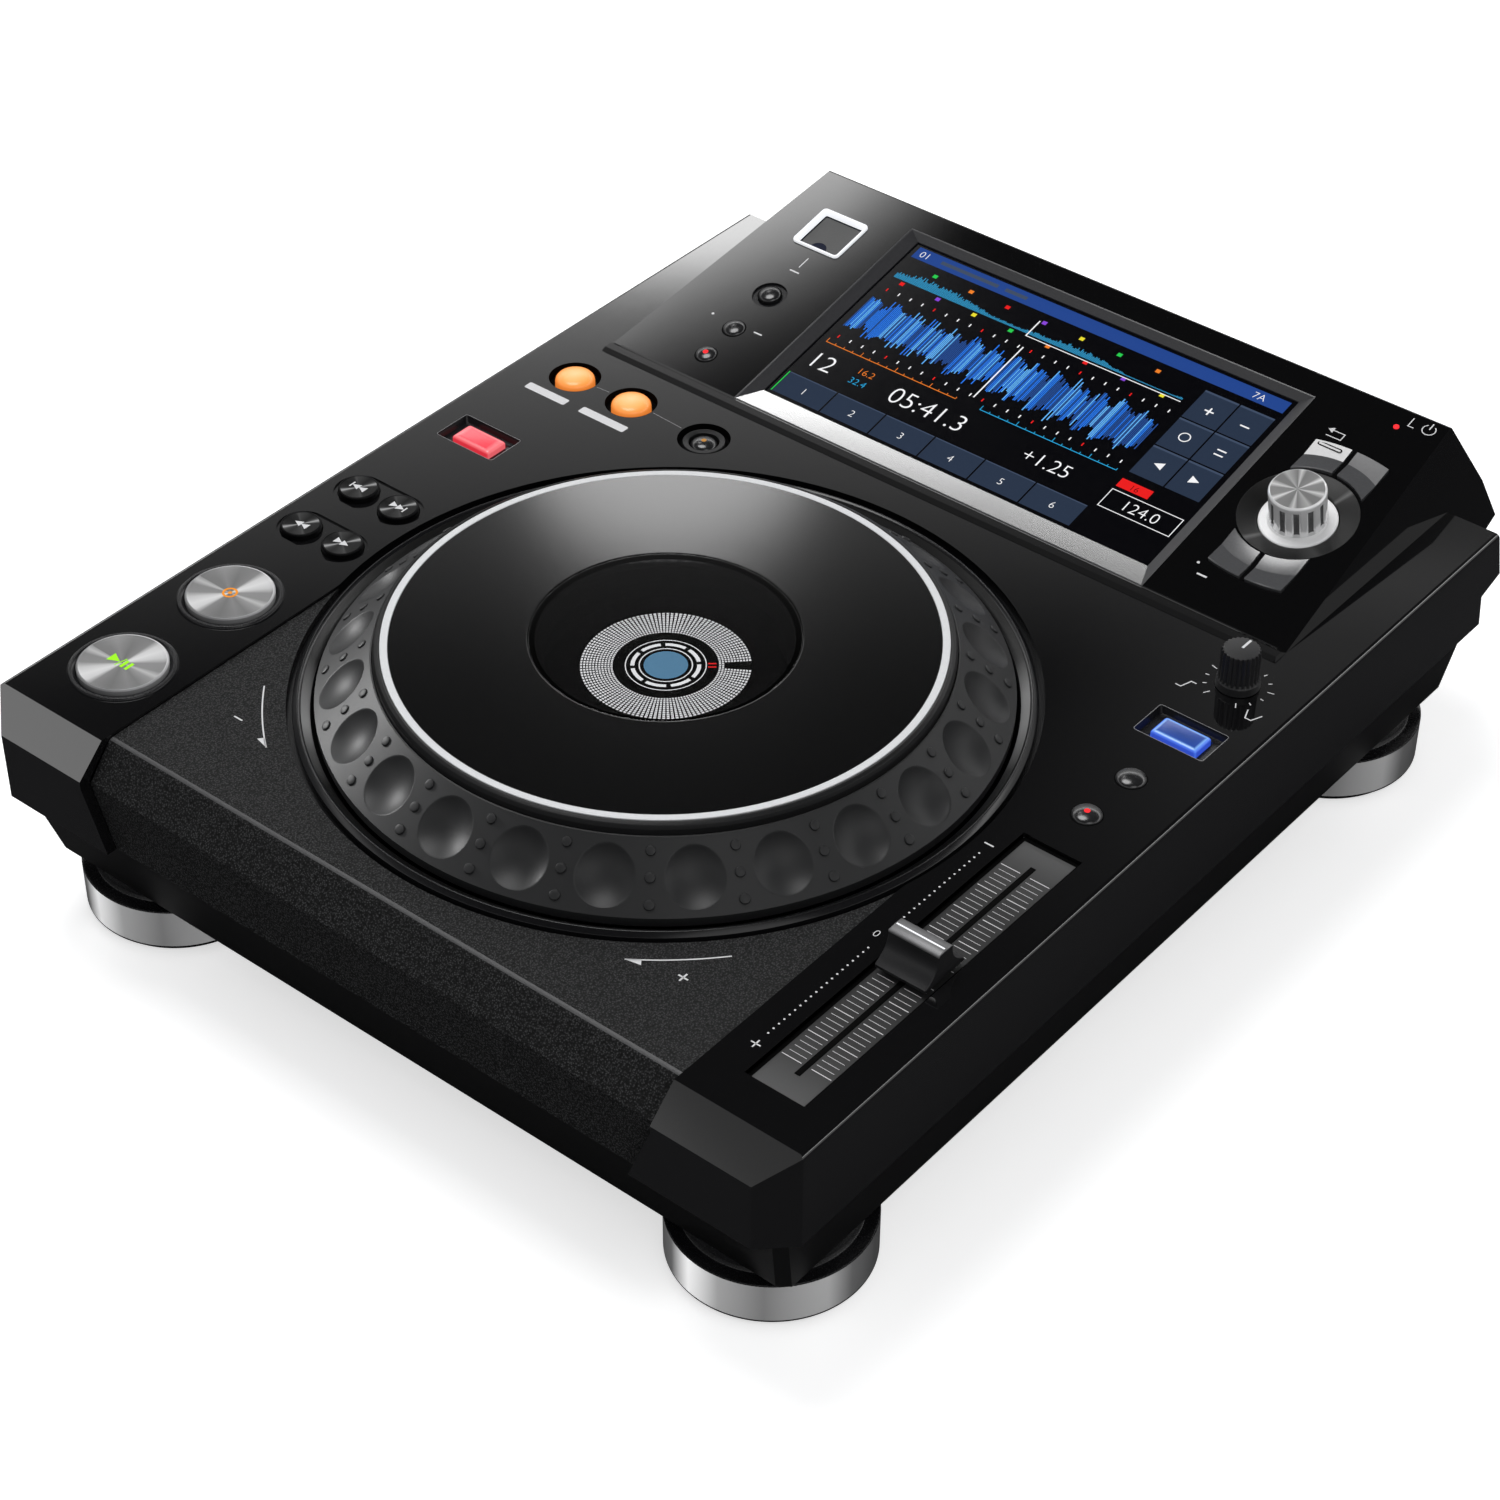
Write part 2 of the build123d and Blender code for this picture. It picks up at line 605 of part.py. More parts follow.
with BuildPart() as front_panel:
    with BuildSketch(SIDE):
        with BuildLine():
            Polyline(
                (JOG_Y, -PANEL_SUNK), (PANEL_EDGE_Y, -PANEL_SUNK), (PANEL_FACE_Y, -PANEL_FACET_DROP),
                (PANEL_FACE_Y, -SHELL_DROP), (PANEL_FACE_Y + PANEL_WALL, -SHELL_DROP),
                (PANEL_FACE_Y + PANEL_WALL, -PANEL_FACET_DROP - 0.9),
                (PANEL_EDGE_Y + 1.1, -PANEL_SUNK - PANEL_WALL), (JOG_Y, -PANEL_SUNK - PANEL_WALL), close=True,
            )
        make_face()
    extrude(amount=PANEL_HALF, both=True)
    fillet(front_panel.edges().filter_by(Axis.X).filter_by_position(
        Axis.Z, DECK_H - PANEL_SUNK - 0.01, DECK_H - PANEL_SUNK + 0.01).sort_by(Axis.Y)[0], PANEL_ROUND)
    with BuildSketch(DECK):
        with Locations((0, JOG_Y)):
            Circle(JOG_HOLE_R)
    extrude(amount=-HANG - 2, mode=Mode.SUBTRACT)
    with BuildSketch(Plane(origin=(0, FRONT_Y + PANEL_FACE_Y - 1, DECK_H), x_dir=(1, 0, 0), z_dir=(0, -1, 0))):
        with BuildLine():
            Polyline((PANEL_HALF, -PANEL_FACET_DROP), (PANEL_HALF + 2, -PANEL_FACET_DROP),
                     (PANEL_HALF + 2, -SHELL_DROP - 1), (PANEL_HALF_LOW, -SHELL_DROP - 1), close=True)
        make_face()
        mirror(about=Plane.YZ)
    extrude(amount=-PANEL_WALL - 2, mode=Mode.SUBTRACT)
    for side in (-1, 1):
        x, y, drop = SCREW_PLACES[0]
        add(post(at(DECK, side * x, y), BOSS_R, -drop, -PANEL_SUNK - PANEL_WALL + 0.2))
        add(post(at(DECK, side * x, y), SCREW_R, -drop, -drop + SCREW_LONG), mode=Mode.SUBTRACT)
finish(front_panel, "front_panel")


def case_outline(plane, half, front, rear, corner):
    """Plan outline of the lower case at one height, with small front corner facets."""
    with BuildSketch(plane) as outline:
        with BuildLine():
            Polyline((half - corner, front), (half, front + corner * 0.72), (half, rear), (-half, rear),
                     (-half, front + corner * 0.72), (corner - half, front), close=True)
        make_face()
    return outline.sketch


with BuildPart() as bottom_case:
    add(case_outline(DECK.offset(-SHELL_DROP), CASE_HALF_TOP, CASE_FRONT_TOP, CASE_REAR_TOP, CASE_CORNER))
    add(case_outline(DECK.offset(-CASE_DROP), CASE_HALF_LOW, CASE_FRONT_LOW, CASE_REAR_LOW, CASE_CORNER))
    loft(ruled=True)
    rim_half = HALF - SKIN - SEAM
    rim_corner = CORNER_CUT / 2
    with BuildSketch(DECK.offset(-SHELL_DROP)):
        with BuildLine():
            Polyline((rim_corner - rim_half, CASE_FRONT_TOP), (rim_half - rim_corner, CASE_FRONT_TOP),
                     (rim_half, CASE_FRONT_TOP + rim_corner), (rim_half, CASE_REAR_TOP - SKIN - 0.5),
                     (-rim_half, CASE_REAR_TOP - SKIN - 0.5), (-rim_half, CASE_FRONT_TOP + rim_corner), close=True)
        make_face()
    extrude(amount=RIM_H)
    case_low = CASE_HALF_LOW - SKIN
    with BuildSketch(DECK.offset(CASE_INNER_FLOOR)) as floor_outline:
        with BuildLine():
            Polyline((-case_low, CASE_FRONT_LOW + SKIN), (case_low, CASE_FRONT_LOW + SKIN),
                     (case_low, REAR_PANEL_Y), (-case_low, REAR_PANEL_Y), close=True)
        make_face()
    case_top = CASE_HALF_TOP - SKIN
    with BuildSketch(DECK.offset(-SHELL_DROP)) as rim_outline:
        with BuildLine():
            Polyline((-case_top, CASE_FRONT_TOP + SKIN), (case_top, CASE_FRONT_TOP + SKIN),
                     (case_top, REAR_PANEL_Y), (-case_top, REAR_PANEL_Y), close=True)
        make_face()
    loft(ruled=True, mode=Mode.SUBTRACT)
    with BuildSketch(DECK.offset(-SHELL_DROP)):
        with Locations((0, (CASE_FRONT_TOP + SKIN + REAR_PANEL_Y) / 2)):
            Rectangle(2 * case_top, REAR_PANEL_Y - CASE_FRONT_TOP - SKIN)
    extrude(amount=RIM_H, mode=Mode.SUBTRACT)
    # Posts that carry the jog base, the boards and the case screws
    for x, y in BASE_POSTS:
        add(post(at(DECK, x, y), BASE_POST_R, CASE_INNER_FLOOR - 0.5, -BASE_DROP))
    for x in BOARD_POST_X:
        for y in BOARD_POST_Y:
            add(post(at(DECK, x, y), BOARD_POST_R, CASE_INNER_FLOOR - 0.5, BOARD_Z))
    for x, y, drop in SCREW_PLACES:
        for side in (-1, 1):
            place = at(DECK, side * x, y)
            add(post(place, BOSS_R + 1.4, CASE_INNER_FLOOR - 0.5, -drop))
            add(post(place, SCREW_R + 0.25, -CASE_DROP, -drop), mode=Mode.SUBTRACT)
            add(post(place, SCREW_HEAD_R + 0.5, -CASE_DROP, -CASE_DROP + SCREW_SUNK), mode=Mode.SUBTRACT)
    half, high, low = REAR_WINDOW
    with BuildSketch(SIDE.offset(-half)):
        with Locations((REAR_PANEL_Y + 5, (high + low) / 2)):
            Rectangle(12, high - low)
    extrude(amount=2 * half, mode=Mode.SUBTRACT)
finish(bottom_case, "bottom_case")


# ---- Display housing ----
def between_sides(inset, low, high):
    """A long wedge with the housing's leaning sides, drawn in by inset."""
    def lean(height):
        return HOUSE_HALF - inset - HOUSE_LEAN * height
    with BuildPart() as wedge:
        with BuildSketch(Plane(origin=(0, FRONT_Y + HOUSE_LIP_Y - 5, DECK_H), x_dir=(1, 0, 0), z_dir=(0, -1, 0))):
            with BuildLine():
                Polyline((-lean(low), low), (lean(low), low), (lean(high), high), (-lean(high), high), close=True)
            make_face()
        extrude(amount=-HOUSE_REAR_Y + HOUSE_LIP_Y - 10)
    return wedge.part


back_y = HOUSE_Y + HOUSE_LONG * cos(radians(TILT))
back_h = HOUSE_LONG * sin(radians(TILT))
lip_contact_y = DECK_DEPTH + LIP_REACH * HOUSE_UNDER_DROP / LIP_DROP
wall_down = HOUSE_WALL / cos(radians(TILT))
hollow_run = (wall_down + 0.1) / SLOPE
well_run = hollow_run + 2
rear_in = HOUSE_WALL + 0.4
under_in = HOUSE_WALL - HOUSE_UNDER_DROP


def pad_outline(sign_x, sign_s, grow):
    """One selector pad: a block bounded by an arc near the collar and a flatter arc outside."""
    near = PAD_NEAR - grow
    far = PAD_FAR + grow
    inner = PAD_IN_R - grow
    with BuildSketch(Plane.XY) as pad:
        with BuildLine():
            ThreePointArc((-far, PAD_END + grow), (0, PAD_MID + grow), (far, PAD_END + grow))
            Polyline((far, PAD_END + grow), (far, 0), (-far, 0), (-far, PAD_END + grow))
        make_face()
        Circle(inner, mode=Mode.SUBTRACT)
        with Locations((-(far + near) / 2 + near, 0)):
            Rectangle(far + near, 2 * PAD_MID + 4, mode=Mode.SUBTRACT)
        with Locations((far - (far - near) / 2, 0)):
            Rectangle(far - near, 2 * (PAD_MID + 4), mode=Mode.INTERSECT)
    outline = pad.sketch
    if sign_x < 0:
        outline = outline.mirror(Plane.YZ)
    if sign_s < 0:
        outline = outline.mirror(Plane.XZ)
    return outline


PADS = {
    "back_button": (-1, 1),
    "tag_button": (1, 1),
    "filter_button": (-1, -1),
    "shortcut_button": (1, -1),
}
SELECTOR = at(PANEL, *SELECTOR_AT)
PADS_PLACE = at(PANEL, PADS_X, SELECTOR_AT[1])
USB = at(PANEL, *USB_AT)
LED = at(PANEL, *LED_AT)

with BuildPart() as display_housing:
    add(side_profile(
        HALF,
        (HOUSE_LIP_Y, 0), (HOUSE_LIP_Y + 1.2, HOUSE_LIP_H), (HOUSE_Y - 1.5, HOUSE_LIP_H),
        (HOUSE_Y + 0.5, 0.5 * SLOPE),
        (back_y, back_h), (HOUSE_REAR_TOP_Y, 0.5), (HOUSE_REAR_Y, -HOUSE_REAR_DROP),
        (HOUSE_UNDER_Y, -HOUSE_UNDER_DROP), (lip_contact_y, -HOUSE_UNDER_DROP), (DECK_DEPTH, 0),
    ))
    add(between_sides(0, -HOUSE_UNDER_DROP - 1, back_h + 1), mode=Mode.INTERSECT)
    fillet(display_housing.edges().group_by(Axis.Z)[-1], HOUSE_ROUND)
    open_mid = at(DECK, 0, (OPEN_FRONT + OPEN_REAR) / 2)
    add(slab(open_mid, 2 * OPEN_HALF - 0.2, OPEN_REAR - OPEN_FRONT - 0.2, -SKIRT_H, 0.2))
    with BuildPart(mode=Mode.PRIVATE) as hollow:
        add(side_profile(
            HALF,
            (HOUSE_Y + HOUSE_FRONT_IN, -0.1), (HOUSE_Y + hollow_run, 0.1),
            (back_y - rear_in, back_h - wall_down - SLOPE * rear_in), (HOUSE_REAR_TOP_Y - rear_in, 0.2),
            (HOUSE_REAR_Y - rear_in, under_in), (lip_contact_y + HOUSE_WALL, under_in),
            (DECK_DEPTH + HOUSE_WALL, HOUSE_WALL), (OPEN_REAR - SKIRT_WALL, HOUSE_WALL),
            (OPEN_REAR - SKIRT_WALL, -0.1),
        ))
        add(between_sides(HOUSE_WALL, -HOUSE_UNDER_DROP, back_h), mode=Mode.INTERSECT)
    add(hollow.part, mode=Mode.SUBTRACT)
    with BuildPart(mode=Mode.PRIVATE) as well:
        add(side_profile(
            OPEN_HALF - SKIRT_WALL,
            (HOUSE_Y + HOUSE_FRONT_IN, -SKIRT_H - 1),
            (HOUSE_Y + HOUSE_FRONT_IN, SLOPE * HOUSE_FRONT_IN - wall_down),
            (HOUSE_Y + well_run, SLOPE * well_run - wall_down), (OPEN_REAR - SKIRT_WALL, 0.3),
            (OPEN_REAR - SKIRT_WALL, -SKIRT_H - 1),
        ))
    add(well.part, mode=Mode.SUBTRACT)
    for x, s in HOUSE_POSTS:
        add(post(at(PANEL, x, s), BOARD_POST_R, -DISPLAY_BOARD_H, -HOUSE_WALL + 0.4))
    # Screen opening
    with BuildSketch(PANEL.offset(1)):
        with Locations((0, (RECESS_LOW + RECESS_HIGH) / 2)):
            Rectangle(2 * RECESS_HALF, RECESS_HIGH - RECESS_LOW)
    extrude(amount=-1 - HOUSE_WALL - 4, mode=Mode.SUBTRACT)
    # Control holes
    with BuildSketch(PANEL.offset(2)):
        for x, s, radius, _ in DISPLAY_KEYS.values():
            with Locations((x, s)):
                Circle(radius + FIT)
        with Locations(LED_AT):
            Circle(LED_R + RUN)
        with Locations(SELECTOR_AT):
            Circle(COLLAR_R - COLLAR_STEP + RUN)
        with Locations(USB_AT):
            Rectangle(USB_FRAME[0] - 2 * USB_FRAME_WALL, USB_FRAME[1] - 2 * USB_FRAME_WALL)
    extrude(amount=-2 - HOUSE_WALL - 1, mode=Mode.SUBTRACT)
    for sign_x, sign_s in PADS.values():
        with BuildSketch(PADS_PLACE.offset(1)):
            add(pad_outline(sign_x, sign_s, FIT))
        extrude(amount=-1 - HOUSE_WALL - 1, mode=Mode.SUBTRACT)
    with BuildSketch(PANEL):
        with Locations(SELECTOR_AT):
            Circle(COLLAR_R + RUN)
    extrude(amount=-COLLAR_SEAT, mode=Mode.SUBTRACT)
    with BuildSketch(PANEL):
        with Locations(USB_AT):
            RectangleRounded(USB_FRAME[0] + HOLE_GAP, USB_FRAME[1] + HOLE_GAP, USB_FRAME_ROUND)
    extrude(amount=-USB_FRAME_SEAT, mode=Mode.SUBTRACT)
    with BuildSketch(PANEL):
        with Locations(DISPLAY_KEYS["usb_stop_button"][:2]):
            Circle(STOP_WELL_R)
    extrude(amount=-STOP_WELL, mode=Mode.SUBTRACT)
finish(display_housing, "display_housing")

recess_mid = (RECESS_LOW + RECESS_HIGH) / 2
recess_long = RECESS_HIGH - RECESS_LOW
screen_mid = (SCREEN_LOW + SCREEN_HIGH) / 2
screen_long = SCREEN_HIGH - SCREEN_LOW
with BuildPart() as screen_frame:
    recess_place = at(PANEL, 0, recess_mid)
    add(slab(recess_place, 2 * RECESS_HALF - HOLE_GAP, recess_long - HOLE_GAP, -SCREEN_DEPTH - GLASS, 0))
    with BuildSketch(PANEL):
        with Locations((0, recess_mid)):
            Rectangle(2 * RECESS_HALF - 1.2, recess_long - 0.9)
    with BuildSketch(PANEL.offset(-BEVEL_DEPTH)):
        with Locations((0, screen_mid)):
            Rectangle(2 * SCREEN_HALF, screen_long)
    loft(ruled=True, mode=Mode.SUBTRACT)
    add(slab(at(PANEL, 0, screen_mid), 2 * SCREEN_HALF, screen_long, -SCREEN_DEPTH - GLASS, -BEVEL_DEPTH + 0.01),
        mode=Mode.SUBTRACT)
    add(slab(at(PANEL, 0, screen_mid), 2 * (SCREEN_HALF + GLASS_MARGIN), screen_long + 2 * GLASS_MARGIN,
             -SCREEN_DEPTH - GLASS, -SCREEN_DEPTH), mode=Mode.SUBTRACT)
    # Side flanges under the housing's panel
    for side in (-1, 1):
        flange = at(PANEL, side * (RECESS_HALF + 1.0), recess_mid + 1.5 * FRAME_FLANGE)
        add(slab(flange, FRAME_FLANGE, recess_long - 5 * FRAME_FLANGE, -SCREEN_DEPTH - GLASS, -HOUSE_WALL))
finish(screen_frame, "screen_frame")

glass_half = SCREEN_HALF + GLASS_MARGIN - HOLE_GAP
glass_long = screen_long + 2 * (GLASS_MARGIN - HOLE_GAP)
screen_place = at(PANEL, 0, screen_mid)
write(slab(screen_place, 2 * glass_half, glass_long, -SCREEN_DEPTH - GLASS, -SCREEN_DEPTH), "touch_panel")
lcd_top = -SCREEN_DEPTH - GLASS
write(slab(screen_place, 2 * RECESS_HALF - 4, screen_long, lcd_top - LCD_THICK, lcd_top), "lcd_module")

with BuildPart() as usb_frame:
    with BuildSketch(USB.offset(-USB_FRAME_SEAT)):
        RectangleRounded(*USB_FRAME, USB_FRAME_ROUND)
        Rectangle(USB_FRAME[0] - 2 * USB_FRAME_WALL, USB_FRAME[1] - 2 * USB_FRAME_WALL, mode=Mode.SUBTRACT)
    extrude(amount=USB_FRAME_SEAT + USB_FRAME_H)
finish(usb_frame, "usb_frame")

with BuildPart() as usb_socket:
    port_floor = -HOUSE_WALL - USB_PORT_DEEP
    add(slab(USB, *USB_PLATE, -HOUSE_WALL - BOARD, -HOUSE_WALL))
    add(slab(USB, USB_PORT[0] + 1.2, USB_PORT[1] + 1.2, port_floor - 0.6, -HOUSE_WALL - BOARD + 0.1))
    add(slab(USB, *USB_PORT, port_floor, -HOUSE_WALL), mode=Mode.SUBTRACT)
    add(slab(at(USB, 0, USB_TONGUE[1] / 2), *USB_TONGUE, port_floor - 0.2, -HOUSE_WALL - 1.2))
finish(usb_socket, "usb_socket")

write(turned(
    LED, (0, -DISPLAY_BOARD_H), (LED_FOOT_R, -DISPLAY_BOARD_H), (LED_FOOT_R, -HOUSE_WALL), (LED_R, -HOUSE_WALL),
    (LED_R, 0.3), (0, 0.5),
), "standby_led")

write(turned(
    SELECTOR, (COLLAR_BORE_R, -COLLAR_DIP), (COLLAR_R, 0), (COLLAR_R, -COLLAR_SEAT),
    (COLLAR_R - COLLAR_STEP, -COLLAR_SEAT), (COLLAR_R - COLLAR_STEP, -HOUSE_WALL - 1),
    (COLLAR_BORE_R, -HOUSE_WALL - 1),
), "selector_collar")

encoder_floor = -DISPLAY_BOARD_H + 0.5
with BuildPart() as display_board:
    board_mid = at(PANEL, 0, HOUSE_LONG / 2 + 2.5)
    add(slab(board_mid, 2 * HOUSE_HALF - 16.2, HOUSE_LONG - 15, -DISPLAY_BOARD_H - BOARD, -DISPLAY_BOARD_H))
    for x, s, _, _ in DISPLAY_KEYS.values():
        add(slab(at(PANEL, x, s), SWITCH, SWITCH, -DISPLAY_BOARD_H - 0.1, PANEL_SWITCH_TOP))
    for sign_x, sign_s in PADS.values():
        pad_switch = at(PADS_PLACE, sign_x * PAD_SWITCH[0], sign_s * PAD_SWITCH[1])
        add(slab(pad_switch, SWITCH, SWITCH, -DISPLAY_BOARD_H - 0.1, PANEL_SWITCH_TOP))
    add(slab(SELECTOR, ENCODER, ENCODER, -DISPLAY_BOARD_H - 0.1, ENCODER_TOP))
    add(post(SELECTOR, PLUNGER_R + RUN, encoder_floor, ENCODER_TOP + 0.5), mode=Mode.SUBTRACT)
    gap_low = -DISPLAY_BOARD_H - BOARD - 1
    add(slab(USB, USB_PORT[0] + 5, USB_PORT[1] + 6.4, gap_low, -DISPLAY_BOARD_H + 1), mode=Mode.SUBTRACT)
finish(display_board, "display_board")

# ---- Jog ----
with BuildPart() as jog_bezel:
    with BuildSketch(section(JOG)):
        with BuildLine():
            ThreePointArc((BEZEL_RIM_R, BEZEL_RIM_H), (BEZEL_BORE_R + 0.37 * DISH_WIDTH, -0.67 * DISH_DROP),
                          (BEZEL_BORE_R, -DISH_DROP))
            Polyline((BEZEL_BORE_R, -DISH_DROP), (BEZEL_BORE_R, BASE_THICK - BASE_DROP),
                     (BEZEL_R, BASE_THICK - BASE_DROP), (BEZEL_R, -HANG - BEZEL_FLANGE_THICK),
                     (BEZEL_FLANGE_R, -HANG - BEZEL_FLANGE_THICK),
                     (BEZEL_FLANGE_R, -HANG), (BEZEL_R, -HANG), (BEZEL_R, -1.0), (BEZEL_RIM_R, BEZEL_RIM_H))
        make_face()
    revolve(axis=JOG_AXIS)
finish(jog_bezel, "jog_bezel")

sleeve_top = DISPLAY_DISC_H - DISPLAY_DISC_THICK
base_top = BASE_THICK - BASE_DROP
with BuildPart() as jog_base:
    add(turned(
        JOG, (HUB_R - SLEEVE_WALL, -BASE_DROP), (BASE_R, -BASE_DROP), (BASE_R, base_top),
        (HUB_R + HUB_WALL, base_top), (HUB_R + HUB_WALL, -HUB_DROP), (HUB_R, -HUB_DROP),
        (HUB_R, sleeve_top), (HUB_R - SLEEVE_WALL, sleeve_top),
    ))
finish(jog_base, "jog_base")

write(post(JOG, DISPLAY_DISC_R, sleeve_top, DISPLAY_DISC_H), "jog_display")

with BuildPart() as jog_sensor:
    sensor = at(JOG, 0, CODE_RING_R + 1)
    slot_low = -CODE_RING_DROP - 1.2
    slot_high = CODE_RING_THICK - CODE_RING_DROP + 1.2
    add(slab(sensor, SENSOR, SENSOR, base_top, SENSOR_H))
    add(slab(at(sensor, 0, (SENSOR_SLOT - SENSOR) / 2 - 0.1), SENSOR + 2, SENSOR_SLOT, slot_low, slot_high),
        mode=Mode.SUBTRACT)
finish(jog_sensor, "jog_sensor")

ledge_under = LEDGE_H - LEDGE_THICK
cone_long = sqrt((WHEEL_R - CONE_R) ** 2 + (CONE_H - WHEEL_FOOT_H) ** 2)
cone_out = (CONE_H - WHEEL_FOOT_H) / cone_long
cone_up = (WHEEL_R - CONE_R) / cone_long
ball_r = (DIMPLE_HALF**2 + DIMPLE_DEPTH**2) / (2 * DIMPLE_DEPTH)
dimple_share = (WHEEL_R - DIMPLE_R) / (WHEEL_R - CONE_R)
dimple_h = WHEEL_FOOT_H + dimple_share * (CONE_H - WHEEL_FOOT_H)
ball_out = DIMPLE_R + (ball_r - DIMPLE_DEPTH) * cone_out
ball_h = dimple_h + (ball_r - DIMPLE_DEPTH) * cone_up
with BuildPart() as jog_wheel:
    add(turned(
        JOG, (WHEEL_R, -WHEEL_DROP), (WHEEL_R, WHEEL_FOOT_H), (CONE_R, CONE_H), (CONE_R, LEDGE_H),
        (LEDGE_R, LEDGE_H), (LEDGE_R, ledge_under), (HUB_FLANGE_R + 0.2, ledge_under),
        (WHEEL_R - WHEEL_FOOT, -WHEEL_DROP),
    ))
    with Locations(JOG.offset(ball_h)):
        with PolarLocations(ball_out, DIMPLES):
            Sphere(ball_r, mode=Mode.SUBTRACT)
finish(jog_wheel, "jog_wheel")

with BuildPart() as jog_plate:
    plate_low = PLATE_H - PLATE_THICK
    groove_h = PLATE_H - RING_DEEP + 0.1
    seat_h = PLATE_H - WINDOW_THICK - 0.1
    with BuildSketch(section(JOG)):
        with BuildLine():
            Polyline((WINDOW_R + RUN - WINDOW_SEAT, plate_low), (WINDOW_R + RUN - WINDOW_SEAT, seat_h),
                     (WINDOW_R + RUN, seat_h), (WINDOW_R + RUN, PLATE_H), (RING_IN_R - RUN, PLATE_H),
                     (RING_IN_R - RUN, groove_h), (RING_OUT_R + RUN, groove_h), (RING_OUT_R + RUN, PLATE_H - 0.1),
                     (RING_OUT_R + 0.6, PLATE_H - 0.1))
            ThreePointArc((RING_OUT_R + 0.6, PLATE_H - 0.1), (PLATE_R - 0.47, PLATE_H - 0.6),
                          (PLATE_R, PLATE_H - 1.7))
            Polyline((PLATE_R, PLATE_H - 1.7), (PLATE_R, LEDGE_H), (LEDGE_R + 1, LEDGE_H),
                     (LEDGE_R + 1, plate_low), (WINDOW_R + RUN - WINDOW_SEAT, plate_low))
        make_face()
    revolve(axis=JOG_AXIS)
finish(jog_plate, "jog_plate")
write(post(JOG, RING_OUT_R, groove_h, PLATE_H + 0.1, bore=RING_IN_R), "jog_light_ring")
write(post(JOG, WINDOW_R, seat_h, PLATE_H - 0.1), "jog_window")

with BuildPart() as jog_hub:
    hub_out = HUB_R + HUB_WALL
    add(turned(
        JOG, (HUB_R + RUN, -HUB_DROP), (hub_out, -HUB_DROP), (hub_out, -CODE_RING_DROP),
        (CODE_RING_R, -CODE_RING_DROP), (CODE_RING_R, -CODE_RING_DROP + CODE_RING_THICK),
        (hub_out, -CODE_RING_DROP + CODE_RING_THICK), (hub_out, ledge_under - 2), (HUB_FLANGE_R, ledge_under - 2),
        (HUB_FLANGE_R, ledge_under), (HUB_R + RUN, ledge_under),
    ))
    with BuildSketch(JOG.offset(-CODE_RING_DROP - 0.5)):
        with PolarLocations(CODE_RING_R - 4, CODE_SLOTS):
            Rectangle(4, 2.5)
    extrude(amount=CODE_RING_THICK + 1, mode=Mode.SUBTRACT)
finish(jog_hub, "jog_hub")


# ---- Buttons ----
def round_button(place, radius, top, under, stem_end, crown=0.0, dish=0.0):
    """A cap through its hole, a flange under the skin and a stem that ends just above its switch."""
    with BuildPart() as button:
        with BuildSketch(section(place)):
            with BuildLine():
                Polyline((0, top - dish), (0, stem_end), (STEM_R, stem_end), (STEM_R, -under - FLANGE),
                         (radius + FLANGE_OUT, -under - FLANGE), (radius + FLANGE_OUT, -under), (radius, -under),
                         (radius, top - crown))
                if crown:
                    ball = (radius**2 + crown**2) / (2 * crown)
                    middle = (radius / 2, top - ball + sqrt(ball**2 - radius**2 / 4))
                    ThreePointArc((radius, top - crown), middle, (0, top))
                else:
                    Polyline((radius, top), (radius * 0.92, top), (0, top - dish))
            make_face()
        revolve(axis=Axis(place.origin, place.z_dir))
    return button.part


with BuildPart() as transport_rings:
    for place in (at(DECK, *PLAY_AT), at(DECK, *CUE_AT)):
        add(turned(
            place, (TRANSPORT_R + FIT, -SKIN - FLANGE), (TRANSPORT_RING_R + 1.7, -SKIN - FLANGE),
            (TRANSPORT_RING_R + 1.7, -SKIN), (TRANSPORT_RING_R, -SKIN),
            (TRANSPORT_RING_R, TRANSPORT_RING_TOP - 0.7),
            (TRANSPORT_RING_R - 0.8, TRANSPORT_RING_TOP), (TRANSPORT_R + FIT, TRANSPORT_RING_TOP),
        ))
finish(transport_rings, "transport_rings")

for name, spot in (("play_button", PLAY_AT), ("cue_button", CUE_AT)):
    write(round_button(at(DECK, *spot), TRANSPORT_R, TRANSPORT_TOP, SKIN + FLANGE, DECK_STEM_END,
                       dish=TRANSPORT_DISH), name)
for name, spot in SEARCH_BUTTONS:
    write(round_button(at(DECK, *spot), SEARCH_R, SEARCH_TOP, SKIN, DECK_STEM_END, dish=SEARCH_DISH), name)
for name, spot in LOOP_AT.items():
    cap_r, cap_top = (RELOOP_R, RELOOP_TOP) if name == "reloop_button" else (LOOP_R, LOOP_TOP)
    write(round_button(at(DECK, *spot), cap_r, cap_top, LOOP_BOSS, DECK_STEM_END, crown=LOOP_CROWN), name)
for name, spot in TEMPO_KEYS.items():
    write(round_button(at(DECK, *spot), TEMPO_KEY_R, TEMPO_KEY_TOP, SKIN, DECK_STEM_END,
                       crown=TEMPO_KEY_CROWN), name)
for name, (x, s, cap_r, cap_top) in DISPLAY_KEYS.items():
    write(round_button(at(PANEL, x, s), cap_r, cap_top, HOUSE_WALL, PANEL_STEM_END, crown=KEY_CROWN), name)

